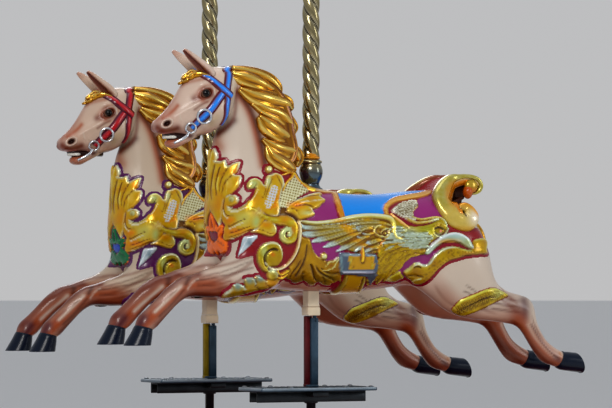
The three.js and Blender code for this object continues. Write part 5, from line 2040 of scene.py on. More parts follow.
def draw_chest(art):
    # a low, dark gold mass behind the leaves: painted shade between them
    art.mass("photo", BEHIND_LEAVES, SHADED_TROUGH, 3, soft=1.5)
    # the tall leaf on the chest
    art.mass("lobes", TALL_LEAF, LEAF, 11, soft=3.2)
    art.tints("lobes", TALL_LEAF_TINTS)
    art.grooves("lobes", TALL_LEAF_GROOVES)
    art.lines("lobes", TALL_LEAF_LIGHTS, 1.2, srgb(240, 222, 140), 0.8)

    # the broad leaf that turns towards the flower
    art.mass("photo", BROAD_LEAF, LEAF, 10, soft=3.0, lift=1.0)
    art.tints("flower", BROAD_LEAF_TINTS)
    art.grooves("flower", BROAD_LEAF_GROOVES)
    art.lines("flower", BROAD_LEAF_LIGHTS, 1.4, PAINTED_HIGHLIGHT, 0.85)
    art.boss("flower", *BROAD_LEAF_BOSS, MINT, 12, lift=2.0)
    art.tints("flower", BROAD_BOSS_TINT)

    # the curl leaf, the rise behind it and the pearl
    art.mass("photo", CURL_LEAF, LEAF, 10, soft=2.8, lift=1.5)
    art.tints("crest", CURL_TINTS)
    art.boss("crest", *CURL_BOSS, MINT, 12, lift=2.4)
    art.line("crest", CURL_COIL, -3.6)
    art.lines("crest", CURL_GROOVES, -3.4)
    art.lines("crest", CURL_LIGHTS, 1.4, PAINTED_HIGHLIGHT, 0.8)
    art.boss("crest", *CREST_PEARL, MINT, 12, lift=3.0)
    art.plate("crest", SILVER_FIELD, SILVER_LATTICE, 11.0, "lattice")
    art.stroke("crest", SCALED_STEM, ORANGE_CARVING, tall=13.5, scales=2.0)
    art.plate("crest", LATTICE_FIELD, LATTICE, 6.0, "lattice")
    art.stroke("crest", LATTICE_FRONT_EDGE, GILT_LINE, tall=12)
    art.stroke("crest", LATTICE_TOP_EDGE, GILT_LINE, tall=10)
    art.stroke("crest", LATTICE_CAP, GILT_LINE, tall=12)

    # three petals towards the seat
    art.mass("wing_tip", PETAL_LEAF, LEAF, 11, soft=3.0, lift=1.5)
    art.tints("wing_tip", PETAL_TINTS)
    art.grooves("wing_tip", PETAL_GROOVES)
    art.lines("wing_tip", PETAL_LIGHTS, 1.4, PAINTED_HIGHLIGHT, 0.8)


WHITE_BLADE = [
    (242.9, 238.5), (245, 236.5), (249.9, 235.6), (257.4, 235.6), (255.7, 238.9), (250.8, 244.8),
    (245.4, 250.1), (240.4, 254.7), (238.3, 256.4), (239.3, 252), (240.8, 246.8),
]
WHITE_BLADE_LIGHT = [(330, 1000, 8), (260, 1140, 14), (180, 1300, 12), (110, 1430, 6)]
WHITE_BLADE_TINT = [(350, 1150, (80, 120), srgb(104, 124, 134), 0.8)]
TONGUE_LEAF = [
    (700, 605), (840, 600), (930, 690), (985, 770), (998, 850), (965, 930), (880, 1000), (780, 990),
    (640, 950), (500, 915), (380, 900), (420, 850), (520, 790), (600, 700),
]
TONGUE_TINTS = [(720, 720, (180, 90), GOLD_GLOW, 0.9), (900, 830, (80, 80), srgb(214, 210, 140), 0.8)]
TONGUE_GROOVE = [(420, 890, 8), (560, 830, 12), (700, 870, 14), (830, 930, 14), (940, 900, 10)]
SCROLL_BAND = [
    (250.3, 209.0, 0.5), (254, 210.3, 1.3), (258, 213.6, 2.0), (263, 217.2, 2.5), (269.5, 219.5, 2.9),
    (276.5, 221.0, 4.2), (282.5, 220.6, 5.0), (288.3, 222.5, 5.4), (292.6, 227.0, 4.9), (293.0, 233.0, 4.3),
    (291.5, 238.5, 3.9), (287, 240.8, 3.4), (282.8, 238.5, 3.1), (281.8, 234.0, 2.8), (284.0, 230.3, 2.5),
    (287.7, 229.4, 2.1), (290, 232, 1.7), (289, 235, 1.3), (287, 235.2, 0.9),
]
BAND_TINTS = [
    (283, 220, (8, 4), GOLD_GLOW, 0.9), (292, 230, (3.5, 7), srgb(190, 120, 14), 0.8),
    (258, 213, (6, 4), srgb(236, 214, 160), 0.7),
]
BAND_EYE = 287.8, 233.2, 1.5
BAND_LIGHT = [
    (266, 216.0, 0.4), (272, 216.2, 0.7), (279, 215.0, 0.8), (286, 215.4, 0.8), (292, 219.5, 0.7),
    (296, 225, 0.4),
]
COIL = [
    (1000, 742), (1070, 770), (1108, 840), (1112, 920), (1085, 985), (1030, 1035), (960, 1045), (925, 1060),
    (940, 1110), (880, 1108), (835, 1060), (800, 980), (797, 900), (830, 820), (900, 760),
]
COIL_GROOVE = [
    (915, 1060, 14), (892, 1010, 22), (893, 930, 26), (930, 865, 28), (1000, 828, 24), (1075, 850, 12),
]
# the mint patch on the coil's upper left is a painted highlight
COIL_TINTS = [
    (985, 890, (34, 34), srgb(206, 110, 20), 0.8), (880, 850, (60, 110), srgb(196, 210, 150), 0.8),
    (1040, 960, (60, 60), srgb(176, 146, 10), 0.8),
]
COIL_LIGHT = [(880, 790, 10), (960, 752, 14), (1050, 768, 14), (1096, 840, 12), (1104, 920, 8)]
FIELD_RIM = [
    (298.3, 222, 1.6), (299.2, 229, 2.0), (299.0, 236, 2.0), (298.2, 242, 1.5), (297.0, 247.5, 1.3),
    (294.6, 253.3, 1.3), (290.6, 259.3, 1.3), (285.5, 264.6, 1.3), (279.5, 268, 1.2), (273.5, 269.0, 1.1),
    (267.8, 267, 1.0), (264.3, 263, 0.7),
]
LOW_LEAF_OUTLINE = [
    (1090, 1150), (1060, 1220), (1000, 1275), (900, 1310), (780, 1330), (650, 1370), (500, 1400),
    (380, 1412), (400, 1370), (470, 1320), (505, 1290), (520, 1262), (570, 1248), (640, 1270), (655, 1290),
    (640, 1230), (655, 1190), (720, 1172), (765, 1185), (785, 1230), (770, 1180), (800, 1150), (850, 1165),
    (910, 1210), (930, 1180), (960, 1150), (1040, 1150),
]
LOW_LEAF_TIPS = ((830, 1190), (705, 1215), (565, 1285))
LOW_LEAF_TINT = [(980, 1230, (110, 50), srgb(220, 166, 20), 0.9)]
KNOT = [
    (915, 1130), (925, 1095), (970, 1075), (1020, 1085), (1045, 1120), (1040, 1165), (1000, 1200),
    (945, 1200), (918, 1170),
]
KNOT_TINT = [(985, 1150, (40, 44), OLIVE, 0.8)]
KNOT_SPRIGS = [
    [(1040, 1075, 10), (1046, 1110, 14), (1080, 1130, 14), (1130, 1105, 12), (1185, 1075, 4)],
    [(1030, 1165, 12), (1080, 1170, 18), (1130, 1140, 12), (1160, 1115, 4)],
]


def draw_scrolls(art):
    art.mass("photo", WHITE_BLADE, WHITE_LEAF, 9, soft=2.6)
    art.line("scroll", WHITE_BLADE_LIGHT, 2.0, srgb(246, 250, 252), 0.9)
    art.tints("scroll", WHITE_BLADE_TINT)
    art.mass("scroll", TONGUE_LEAF, LEAF, 11, soft=3.0, lift=1.0, over=True)
    art.tints("scroll", TONGUE_TINTS)
    art.line("scroll", TONGUE_GROOVE, -2.4)
    art.stroke("photo", SCROLL_BAND, SCROLL, tall=13, lift=2.0, edge=0.5)
    art.tints("photo", BAND_TINTS)
    art.boss("photo", *BAND_EYE, MINT, 15)
    art.line("photo", BAND_LIGHT, 1.0, PAINTED_HIGHLIGHT, 0.8)
    art.mass("breast", COIL, SCROLL_MASS, 13, soft=5.0, lift=1.5)
    art.line("breast", COIL_GROOVE, -9.0, GROOVE_SHADE, 0.9)
    art.tints("breast", COIL_TINTS)
    art.line("breast", COIL_LIGHT, 1.2, PAINTED_HIGHLIGHT, 0.7)
    art.stroke("photo", FIELD_RIM, RIM, tall=11, lift=1.0)
    art.mass("breast", LOW_LEAF_OUTLINE, LOW_LEAF, 9, soft=2.6)
    for x, y in LOW_LEAF_TIPS:
        art.tint("breast", x, y, (60, 40), srgb(124, 150, 146), 0.9)
        art.line("breast", [(x + 60, y + 30, 8), (x + 90, y + 70, 12), (x + 130, y + 100, 8)], -3.0)
    art.tints("breast", LOW_LEAF_TINT)
    art.mass("breast", KNOT, MINT, 12,
             soft=3.2, lift=1.5, over=True)
    art.tints("breast", KNOT_TINT)
    art.strokes("breast", KNOT_SPRIGS, GILT_LINE, tall=12, lift=1)


FLOWER_OUTLINE = [
    (165, 800), (200, 880), (215, 930), (235, 945), (260, 930), (285, 945), (280, 1000), (262, 1050),
    (300, 1070), (325, 1100), (330, 1150), (310, 1200), (270, 1215), (245, 1190), (235, 1240), (215, 1300),
    (190, 1335), (178, 1280), (170, 1200), (150, 1150), (135, 1080), (130, 1010), (150, 980), (185, 960),
    (180, 900), (165, 850),
]
FLOWER_HOLLOW = [
    (205, 985), (232, 1000), (245, 1035), (232, 1075), (205, 1092), (180, 1070), (172, 1035), (182, 1000),
]


FLOWER_GROOVES = [
    [(190, 850, 6), (205, 915, 10), (208, 980, 8)],
    [(275, 945, 5), (248, 985, 9), (228, 1020, 7)],
    [(315, 1140, 6), (275, 1110, 10), (235, 1075, 8)],
    [(198, 1300, 6), (205, 1200, 10), (208, 1100, 8)],
    [(145, 1030, 5), (165, 1035, 8), (180, 1040, 6)],
]
FLOWER_LIGHTS = [
    [(215, 1290, 4), (226, 1210, 8), (226, 1120, 6)],
    [(305, 1190, 5), (270, 1150, 8), (244, 1110, 6)],
    [(262, 935, 4), (240, 975, 7), (222, 1000, 5)],
    [(150, 1130, 4), (158, 1080, 7), (170, 1055, 5)],
]


def draw_flower(art):
    art.mass("bust", FLOWER_OUTLINE, FLOWER, 10, soft=2.6, over=True)
    art.lines("bust", FLOWER_GROOVES, -2.4, srgb(176, 52, 8), 0.85)
    art.lines("bust", FLOWER_LIGHTS, 1.2, srgb(252, 196, 70), 0.75)
    art.mark("bust", FLOWER_OUTLINE, PETAL)
    art.mass("bust", FLOWER_HOLLOW, CENTRE, 6, soft=2.2, over=True)
    art.mark("bust", FLOWER_HOLLOW, CENTRE_OF_FLOWER)


CLOTH = [
    (560, 20), (640, 50), (760, 80), (800, 180), (830, 300), (880, 400), (950, 470), (1040, 530),
    (1120, 560), (1180, 575), (1300, 560), (1400, 480), (1470, 440), (1470, 1000), (1400, 1000),
    (1320, 1050), (1260, 1060), (1230, 1100), (1120, 1102), (1040, 1080), (980, 1030), (900, 1060),
    (860, 1098), (780, 1098), (720, 1070), (660, 1010), (620, 1002), (560, 1024), (470, 1054), (400, 1050),
    (350, 1010), (310, 970), (270, 982), (240, 950), (180, 940), (140, 950), (150, 900), (220, 850),
    (290, 780), (300, 700), (400, 580), (480, 440), (520, 300), (540, 150),
]
CLOTH_TINTS = [
    (1180, 900, (240, 120), srgb(104, 98, 30), 0.6), (560, 880, (120, 130), srgb(96, 78, 20), 0.6),
]
CLOTH_GROOVES = [
    (
        [(700, 110, 14), (690, 300, 26), (660, 480, 28), (600, 640, 28), (520, 780, 24), (400, 940, 16)],
        -5.5,
    ),
    ([(760, 600, 14), (810, 700, 30), (835, 800, 34), (870, 920, 28), (930, 1020, 14)], -6.5),
    ([(650, 720, 12), (610, 860, 22), (620, 1000, 14)], -4.5),
    ([(560, 520, 12), (480, 680, 22), (380, 810, 22), (290, 950, 14)], -4.0),
    ([(880, 620, 12), (960, 780, 24), (1100, 880, 24), (1260, 950, 18), (1330, 1040, 12)], -5.0),
    ([(980, 690, 12), (1120, 800, 20), (1290, 840, 20), (1440, 800, 14)], -4.0),
    ([(1040, 880, 12), (1100, 980, 20), (1110, 1090, 14)], -3.5),
]
CLOTH_LIGHTS = [
    [(742, 220, 12), (745, 460, 24), (740, 700, 30), (745, 880, 30), (780, 1050, 20)],
    [(580, 300, 12), (520, 520, 22), (430, 680, 22), (330, 820, 14)],
    [(600, 720, 12), (540, 860, 24), (470, 1000, 18)],
    [(820, 600, 12), (900, 760, 22), (1000, 900, 26), (1060, 1020, 18)],
]
CLOTH_HEM = [(800, 180, 10), (838, 320, 18), (900, 425, 20), (980, 500, 18), (1060, 535, 10)]
CLOTH_LEAVES = [
    [(1030, 770, 8), (1180, 752, 18), (1290, 690, 20), (1350, 600, 20), (1420, 500, 16), (1470, 450, 8)],
    [(1120, 690, 8), (1170, 610, 16), (1230, 578, 18), (1300, 570, 16), (1380, 500, 12)],
]
CLOTH_LEAF_TINT = [(1230, 650, (50, 30), srgb(140, 80, 10), 0.8)]
CLOTH_PEARL = 1078, 468, 86
CLOTH_PEARL_TINT = [(1090, 520, (70, 60), OLIVE, 0.85)]
CLOTH_PEARL_GROOVE = [(1160, 470, 8), (1175, 540, 14), (1140, 600, 14), (1080, 620, 8)]


def draw_drapery(art):
    art.mass("drape", CLOTH, DRAPERY, 10, soft=2.8)
    art.tints("drape", CLOTH_TINTS)
    art.grooves("drape", CLOTH_GROOVES, GROOVE_SHADE, 0.75)
    art.lines("drape", CLOTH_LIGHTS, 1.6, srgb(160, 128, 28), 0.7)
    art.line("drape", CLOTH_HEM, 1.5, srgb(226, 210, 150), 0.9)
    art.strokes("drape", CLOTH_LEAVES, MINT, tall=12.5)
    art.tints("drape", CLOTH_LEAF_TINT)
    art.boss("drape", *CLOTH_PEARL, MINT, 15)
    art.tints("drape", CLOTH_PEARL_TINT)
    art.line("drape", CLOTH_PEARL_GROOVE, -4.0, GROOVE_SHADE, 0.8)


WING_AREA = [
    (299, 222), (320, 226), (345, 222), (392, 219), (394, 235), (388, 245), (380, 252), (365, 255),
    (352, 252), (340, 246), (325, 240), (310, 236), (301, 232),
]
WING_TOP = [
    (300.0, 221.3, 0.8), (306, 222.3, 1.7), (314, 223.2, 1.9), (322, 223, 2.0), (330, 222.2, 2.1),
    (338, 221.0, 2.2), (346, 219.2, 2.4), (354, 217.9, 2.5), (362, 217.1, 2.5), (370, 216.9, 2.5),
    (378, 217.2, 2.4), (385, 218.0, 2.3), (390, 219.6, 2.3), (392.4, 223.4, 2.0), (393.4, 228, 1.8),
    (392.8, 232, 1.8), (393.6, 235.6, 1.7), (396, 238.1, 1.5), (400.5, 239, 0.9),
]
# the pale patch at the wing's end is a painted highlight
WING_TOP_TINTS = [
    (340, 222.0, (12, 2.4), srgb(206, 150, 30), 0.8), (392, 226, (3, 8), srgb(238, 214, 120), 0.7),
]
FEATHERS = [
    [
        (354, 226.6, 1.2), (346, 226.6, 1.9), (336, 226.8, 2.3), (326, 227, 2.6), (316, 227.6, 2.6),
        (308, 227.8, 2.2), (303, 227, 1.6), (299.0, 223.2, 0.5),
    ],
    [
        (354, 228.2, 1.0), (348, 228.6, 2.0), (340, 229.6, 2.6), (330, 231.4, 3.0), (320, 233.2, 3.2),
        (311, 234.2, 3.0), (305, 234.2, 2.4), (301.4, 233.4, 0.8),
    ],
    [
        (357, 230.0, 1.0), (351, 231.2, 2.0), (343, 233.2, 2.7), (334, 235.8, 3.1), (325, 238.2, 3.1),
        (317, 240.0, 2.4), (311.4, 241.6, 0.7),
    ],
    [
        (360, 232.8, 1.0), (354, 234.6, 2.0), (347, 237.6, 2.7), (339, 241.0, 3.0), (331, 244.2, 2.6),
        (323.6, 246.9, 0.7),
    ],
    [(364, 237.6, 1.0), (358, 240.4, 1.9), (351, 243.8, 2.5), (344, 247.4, 2.3), (336.3, 251.2, 0.7)],
    [(370, 242.2, 1.0), (364, 245.0, 1.9), (359, 248.0, 2.0), (354.2, 251.2, 0.7)],
    [(378, 244.6, 1.0), (372, 247.8, 1.8), (366, 250.6, 1.7), (361, 253.2, 0.7)],
]
COVERTS = [
    [(975, 900, 12), (900, 880, 34), (780, 880, 48), (650, 930, 44), (560, 900, 30), (515, 856, 6)],
    [(890, 1085, 12), (820, 1095, 34), (720, 1115, 42), (630, 1120, 30), (555, 1090, 8)],
    [(1210, 1190, 20), (1110, 1180, 58), (990, 1215, 72), (870, 1250, 54), (785, 1270, 14)],
    [(1010, 1000, 14), (940, 1010, 32), (850, 1040, 36), (760, 1030, 22), (690, 1000, 6)],
    [(1230, 1310, 16), (1120, 1370, 34), (1000, 1390, 34), (880, 1400, 20), (800, 1420, 6)],
]
UPPER_COVERTS = [
    [(392, 226.6, 0.8), (382, 223.6, 1.9), (368, 222.9, 2.1), (354, 224.4, 1.8), (343, 226.6, 0.6)],
    [(391, 230.4, 0.8), (382, 227.4, 1.8), (370, 226.6, 2.0), (359, 227.6, 1.6), (351, 229.6, 0.6)],
    [(378, 221.4, 0.6), (366, 220.4, 1.3), (350, 221.6, 1.4), (336, 224.2, 1.2), (322, 225.6, 0.5)],
]
WING_CURLS = [
    [(1010, 1000, 16), (1000, 930, 26), (1050, 856, 28), (1130, 812, 20), (1190, 820, 8)],
    [(1000, 985, 14), (1075, 1050, 24), (1160, 1086, 24), (1245, 1090, 14)],
    [(1180, 1010, 14), (1206, 950, 24), (1266, 912, 24), (1330, 905, 10)],
    [
        (1210, 1080, 16), (1290, 1108, 24), (1350, 1080, 28), (1390, 1000, 28), (1404, 920, 24),
        (1436, 878, 12),
    ],
]
WING_CURL_BOSS = 1290, 1010, 34
WING_STEM = [(1290, 1170, 16), (1200, 1270, 30), (1140, 1390, 34), (1130, 1490, 26), (1180, 1560, 14)]


def draw_wing(art):
    art.mass("photo", WING_AREA, WING_GROUND, 4, soft=1.5)
    art.stroke("photo", WING_TOP, WING_EDGE, tall=13, lift=1)
    art.tints("photo", WING_TOP_TINTS)
    for k, rows in enumerate(FEATHERS):
        art.stroke("photo", rows, FEATHER, tall=10, edge=0.3, rib=0.16, barbs=1.5, lift=0.2 * k)
        x, y, _ = rows[1]
        art.tint("photo", x - 2, y, (7, 2.5), srgb(214, 160, 40), 0.8)
        art.tint("photo", *rows[-2][:2], (7, 3), srgb(190, 208, 204), 0.7)
    for rows in UPPER_COVERTS:
        art.stroke("photo", rows, FEATHER, tall=9.5, edge=0.3, rib=0.14, barbs=1.4)
        art.tint("photo", *rows[1][:2], (6, 2.4), srgb(206, 164, 44), 0.7)
    for k, rows in enumerate(COVERTS):
        art.stroke("wing_root", rows, FEATHER, tall=11, rib=0.14, barbs=1.6, lift=0.8 + 0.2 * k)
        art.tint("wing_root", *rows[1][:2], (90, 60), srgb(216, 170, 30), 0.75)
    art.strokes("wing_root", WING_CURLS, MINT, tall=12, lift=1.6, rib=0.12)
    art.boss("wing_root", *WING_CURL_BOSS, EAGLE, 13, lift=1)
    art.stroke("wing_root", WING_STEM, GILT_LINE, tall=10, flutes=2)


NECK_AREA = [
    (397, 226), (404, 229), (414, 231.5), (426, 232.5), (436, 238), (429, 246), (424.5, 252), (412, 256.5),
    (402, 263.5), (392, 270), (380, 275.5), (372, 276), (373, 267), (379, 256), (386, 246), (394, 238),
]
NECK_GRID = (6.4, 2.5)  # between the roots of neighbouring feathers, in points of the photograph
NECK_FEATHER = (10.0, (0.8, 1.5, 1.4, 0.4))  # length and half widths


def neck_feathers(art):
    """Overlapping feathers swept back from the eagle's head, pale above, golden and turning down below."""
    random = np.random.default_rng(7)
    across, down = NECK_GRID
    roots = [
        (x + random.uniform(-2.4, 2.4), y + random.uniform(-0.7, 0.7))
        for y in np.arange(226, 278, down)
        for x in np.arange(372 + (y // down) % 2 * across / 2, 442, across)
    ]
    outline = np.array(NECK_AREA, float)
    inside = art.even_odd(outline[:, 0], outline[:, 1], *np.array(roots).T)
    roots = [root for root, within in zip(roots, inside) if within]
    roots.sort(key=lambda root: root[0] - root[1])
    length, halves = NECK_FEATHER
    for order, (x, y) in enumerate(roots):
        rows = []
        bend = random.uniform(-0.10, 0.16)
        reach = length * random.uniform(0.85, 1.15) / 3
        pale = y < 246 + random.uniform(-5, 5) - 0.15 * (400 - x)
        for half in halves:
            rows.append((x, y, half))
            slope = 0.08 + bend + 1.2 * float(smoothstep(246, 262, y + 0.3 * (400 - x)))
            x -= reach / math.hypot(1, slope)
            y += reach * slope / math.hypot(1, slope)
        art.stroke("photo", rows, PALE_FEATHER if pale else GOLD_FEATHER, tall=5.0, edge=0.2, rib=0.15,
                   lift=7.0 + 1.6 * order / len(roots))


EAGLE_OUTLINE = [
    (391.5, 217), (396, 218.5), (402, 222.5), (407.7, 225.7), (414, 226.6), (420, 226.2), (427, 225.3),
    (432.7, 223), (438, 219.5), (441, 218.6), (444.5, 221.3), (446.3, 225), (447, 228), (444, 232),
    (440.7, 235.2), (437, 238), (432, 241.5), (428, 245), (425.5, 249.5), (424.2, 253.7), (415.6, 255.6),
    (409.9, 257.1), (405.1, 260.9), (400.8, 265.7), (394.6, 269), (387.9, 272.8), (382, 276), (374, 277.5),
    (370, 274), (372, 268), (377, 262), (376.5, 255), (378, 249), (385, 243), (391, 238), (393, 230),
    (392, 222),
]
EAGLE_TINTS = [
    (620, 960, (280, 160), srgb(170, 182, 150), 0.85), (1000, 900, (260, 120), srgb(150, 156, 84), 0.8),
    (300, 1250, (220, 180), srgb(128, 88, 10), 0.7), (700, 1330, (260, 120), srgb(136, 96, 12), 0.6),
    (900, 1150, (120, 140), srgb(150, 146, 72), 0.7),
]
PEACH_STROKE = [(232, 556, 14), (320, 640, 30), (440, 730, 40), (540, 800, 34), (620, 850, 12)]
CREST_AREA = [
    (250, 480), (330, 400), (420, 330), (520, 300), (650, 265), (780, 255), (812, 290), (850, 380),
    (815, 415), (760, 470), (722, 530), (745, 615), (800, 660), (760, 720), (640, 700), (520, 640),
    (400, 590), (300, 540),
]
CREST_EDGE = [(770, 250, 10), (826, 320, 16), (846, 380, 14), (790, 440, 14), (730, 520, 12), (730, 600, 8)]
BROWS = [
    [
        (690, 610, 8), (780, 652, 20), (900, 676, 24), (1050, 656, 26), (1200, 632, 26), (1310, 640, 22),
        (1400, 690, 22), (1456, 770, 20), (1478, 850, 8),
    ],
    [
        (560, 640, 8), (660, 700, 20), (790, 742, 26), (940, 738, 28), (1090, 716, 28), (1200, 684, 24),
        (1290, 676, 12),
    ],
]
BROW_GROOVE = [
    (480, 680, 8), (560, 745, 16), (650, 790, 18), (770, 806, 18), (910, 794, 16), (1060, 764, 14),
    (1180, 730, 10),
]
EYE_LIDS = [
    [(1180, 800, 8), (1260, 762, 18), (1350, 770, 20), (1420, 830, 20), (1440, 890, 8)],
    [(1190, 860, 6), (1260, 812, 12), (1340, 818, 14), (1400, 862, 8)],
]
EYE_GROOVE = [(1190, 900, 10), (1230, 860, 22), (1320, 850, 26), (1410, 890, 24), (1450, 930, 10)]
CHEEK_GROOVE = [(1190, 930, 10), (1250, 990, 22), (1340, 1010, 22), (1430, 980, 14)]
EAGLE_EYE = 1325, 930, 46
CHEEK = [
    (1180, 1000, 8), (1260, 1040, 18), (1360, 1040, 18), (1440, 990, 18), (1500, 900, 16), (1520, 850, 6),
]
BEAK_OUTLINE = [
    (423.6, 252.6), (427, 247.5), (433.9, 241.0), (441, 236.2), (449.2, 232.9), (456, 232.8), (462, 234.8),
    (468.4, 239.6), (471.6, 246.5), (471, 249.5), (465.8, 247.6), (459, 243.8), (451, 242.3), (443, 243.4),
    (435.5, 247.4), (427.5, 254.2),
]
SERPENT_OUTLINE = [
    (403.5, 270.5), (409.9, 265.7), (413.7, 262.3), (417.5, 261.6), (421.4, 263.3), (425.7, 264.2),
    (429, 261.4), (432.8, 255.6), (437.6, 251.8), (442.4, 248.4), (448.6, 246.5), (456, 246.8),
    (464, 249.0), (470, 249.5), (472, 242), (476, 239.5), (483, 239), (486, 243), (485.5, 250), (486, 254),
    (478, 254.5), (466, 256), (457, 258.5), (450, 260.5), (444.8, 263.3), (437.6, 269.5), (432.8, 275.2),
    (428, 280), (421, 283.5), (413.7, 282.4), (409.9, 279), (405.6, 276.7), (403, 273.5),
]
SERPENT_TINT = [(478, 246, (8, 8), srgb(200, 164, 50), 0.8)]
SERPENT_LIGHT = [
    (410, 266.5, 0.6), (416.5, 262.6, 1.2), (424, 264.6, 1.4), (429.5, 262.4, 1.5), (434, 256.0, 1.6),
    (441, 250.4, 1.5), (449, 247.6, 1.2), (457, 247.8, 0.7),
]
SERPENT_EYE_GROOVE = [(560, 880, 8), (620, 846, 18), (700, 850, 20), (760, 880, 10)]
SERPENT_EYE = 650, 880, 24
SERPENT_MOUTH = [(420, 1040, 8), (560, 1010, 16), (700, 1040, 18), (820, 1060, 10)]
SERPENT_FANG = [(560, 1130, 10), (620, 1112, 26), (690, 1096, 24), (760, 1086, 8)]
BEAK_TINTS = [
    (448, 236, (17, 3.6), srgb(170, 196, 196), 0.7), (446, 242, (14, 3.2), srgb(196, 140, 12), 0.85),
]
BEAK_LIGHT = [
    (425, 250, 0.8), (433, 243, 1.4), (443, 236.6, 1.8), (453, 234.4, 2.0), (462, 236.6, 1.8),
    (469, 243, 1.2),
]
BEAK_GROOVE = [(430, 250.0, 0.6), (440, 243.6, 1.0), (452, 241.2, 1.1), (463, 245.2, 0.8)]
SERPENT_TONGUE = [
    (399.4, 270.5), (394.6, 271.9), (389.8, 274.8), (386, 277.6), (383.5, 279.4), (388.8, 280.8),
    (394.6, 280.7), (399.4, 278.6), (403.2, 276.7), (400.8, 273.3),
]
# painted highlight on the tip of the tongue
TONGUE_TIP_TINT = [(388, 278, (3.5, 1.6), srgb(226, 226, 170), 0.9)]


# The rows of scales on the serpent's back: its start in the photograph, how far it runs and rises
SERPENT_START, SERPENT_RUN, SERPENT_RISE = (424, 276), 56, 24
SERPENT_SCALE = [(-0.9, -0.9, 0.4), (0, 0.3, 0.6), (1.2, -0.6, 0.4)]  # offsets and half width


def draw_eagle(art):
    art.mass("photo", EAGLE_OUTLINE, EAGLE_BODY, 10, soft=3.4)
    art.tints("eagle", EAGLE_TINTS)
    neck_feathers(art)
    art.stroke("eagle", PEACH_STROKE, PEACH, tall=12.5)
    art.plate("eagle", CREST_AREA, CREST, 8.0, "grains")
    art.line("eagle", CREST_EDGE, 2.0, srgb(214, 166, 40), 0.8)
    art.strokes("eagle", BROWS, MINT, tall=13, lift=1.0, rib=0.1)
    art.line("eagle", BROW_GROOVE, -6.0, GROOVE_SHADE, 0.9)
    art.strokes("eagle", EYE_LIDS, EAGLE, tall=13.5, lift=0.5)
    art.line("eagle", EYE_GROOVE, -7.0, GROOVE_SHADE, 0.95)
    art.line("eagle", CHEEK_GROOVE, -4.0, GROOVE_SHADE, 0.7)
    art.boss("eagle", *EAGLE_EYE, EYE_BALL, 13)
    art.stroke("eagle", CHEEK, MINT, tall=12, lift=0.5)
    art.mass("photo", SERPENT_OUTLINE, SERPENT_MASS, 12, soft=4.2)
    art.tints("photo", SERPENT_TINT)
    for t in np.linspace(0, 1, 22):
        x = SERPENT_START[0] + SERPENT_RUN * t
        y = SERPENT_START[1] - SERPENT_RISE * math.sin(min(t * 1.5, 1) * math.pi / 2)
        for off in (-3.4, 0.0, 3.4):
            scale = [(x + dx, y + off + dy, half) for dx, dy, half in SERPENT_SCALE]
            art.line("photo", scale, -1.8, GROOVE_SHADE, 0.5)
    art.line("photo", SERPENT_LIGHT, 1.4, srgb(206, 220, 206), 0.85)
    art.line("serpent", SERPENT_EYE_GROOVE, -4.5, GROOVE_SHADE, 0.9)
    art.boss("serpent", *SERPENT_EYE, EYE_BALL, 11)
    art.line("serpent", SERPENT_MOUTH, -4.0, GROOVE_SHADE, 0.7)
    art.stroke("serpent", SERPENT_FANG, MINT, tall=13, lift=1)
    art.mass("photo", BEAK_OUTLINE, BEAK, 13, soft=3.0, lift=2.0, over=True)
    art.tints("photo", BEAK_TINTS)
    art.line("photo", BEAK_LIGHT, 1.0, srgb(222, 230, 232), 0.9)
    art.line("photo", BEAK_GROOVE, -3.0, GROOVE_SHADE, 0.6)
    art.mass("photo", SERPENT_TONGUE, EAGLE_BODY, 9, soft=2.4)
    art.tints("photo", TONGUE_TIP_TINT)
    haunch_leaf(art)


HAUNCH_LEAF = [
    (451.5, 310), (455.5, 304.5), (460, 300), (467, 297), (475, 293.8), (482, 290.8), (490, 288.3),
    (496, 288.6), (500, 290.6), (507.5, 295.4), (503.5, 298.4), (500, 300), (492, 303.6), (485, 307.2),
    (477, 311), (470, 313.6), (463, 315.2), (456, 313.6),
]


HAUNCH_CORNER, HAUNCH_THIN = (448, 284), 3.0  # right and below of the corner, the painted line is thinner


# A blade of the haunch leaf: x, y in the photograph, shares of its rise and half width, and further width
HAUNCH_BLADE = [
    (456, 311, 0.3, 0, 0.5), (466, 305.5, 1, 1, 0), (480, 299, 1, 1, 0.6), (493, 294, 1, 1, 0),
    (502, 294, 0, 0, 0.6),
]
# Rise and half width of each blade
HAUNCH_BLADES = ((2.6, 2.4), (-0.6, 2.8), (-3.8, 2.2))
HAUNCH_EDGE = [(453, 307.5, 0.4), (462, 300, 0.8), (476, 294.2, 0.9), (490, 289.2, 0.8), (500, 291.4, 0.4)]


# dark brown for the leaf's veins and scales: painted shade in the grooves
HAUNCH_GROOVE = srgb(88, 62, 4)
# The first vein: x, y in the photograph, how each of these shifts for the next vein, and half width
HAUNCH_VEIN = [
    (455, 311.5, 1.2, -0.1, 0.3), (466, 306, 1, -0.45, 0.45), (478, 300, 0.9, -0.2, 0.45),
    (490, 293, 0.7, 0.35, 0.3),
]
HAUNCH_SCALES = (456, 309.5)  # foot of the first scale
HAUNCH_SCALE = [(-1.2, -1.0, 0.3), (1.5, 3.5, 0.5), (1.0, 8.5, 0.3)]  # offsets and half width


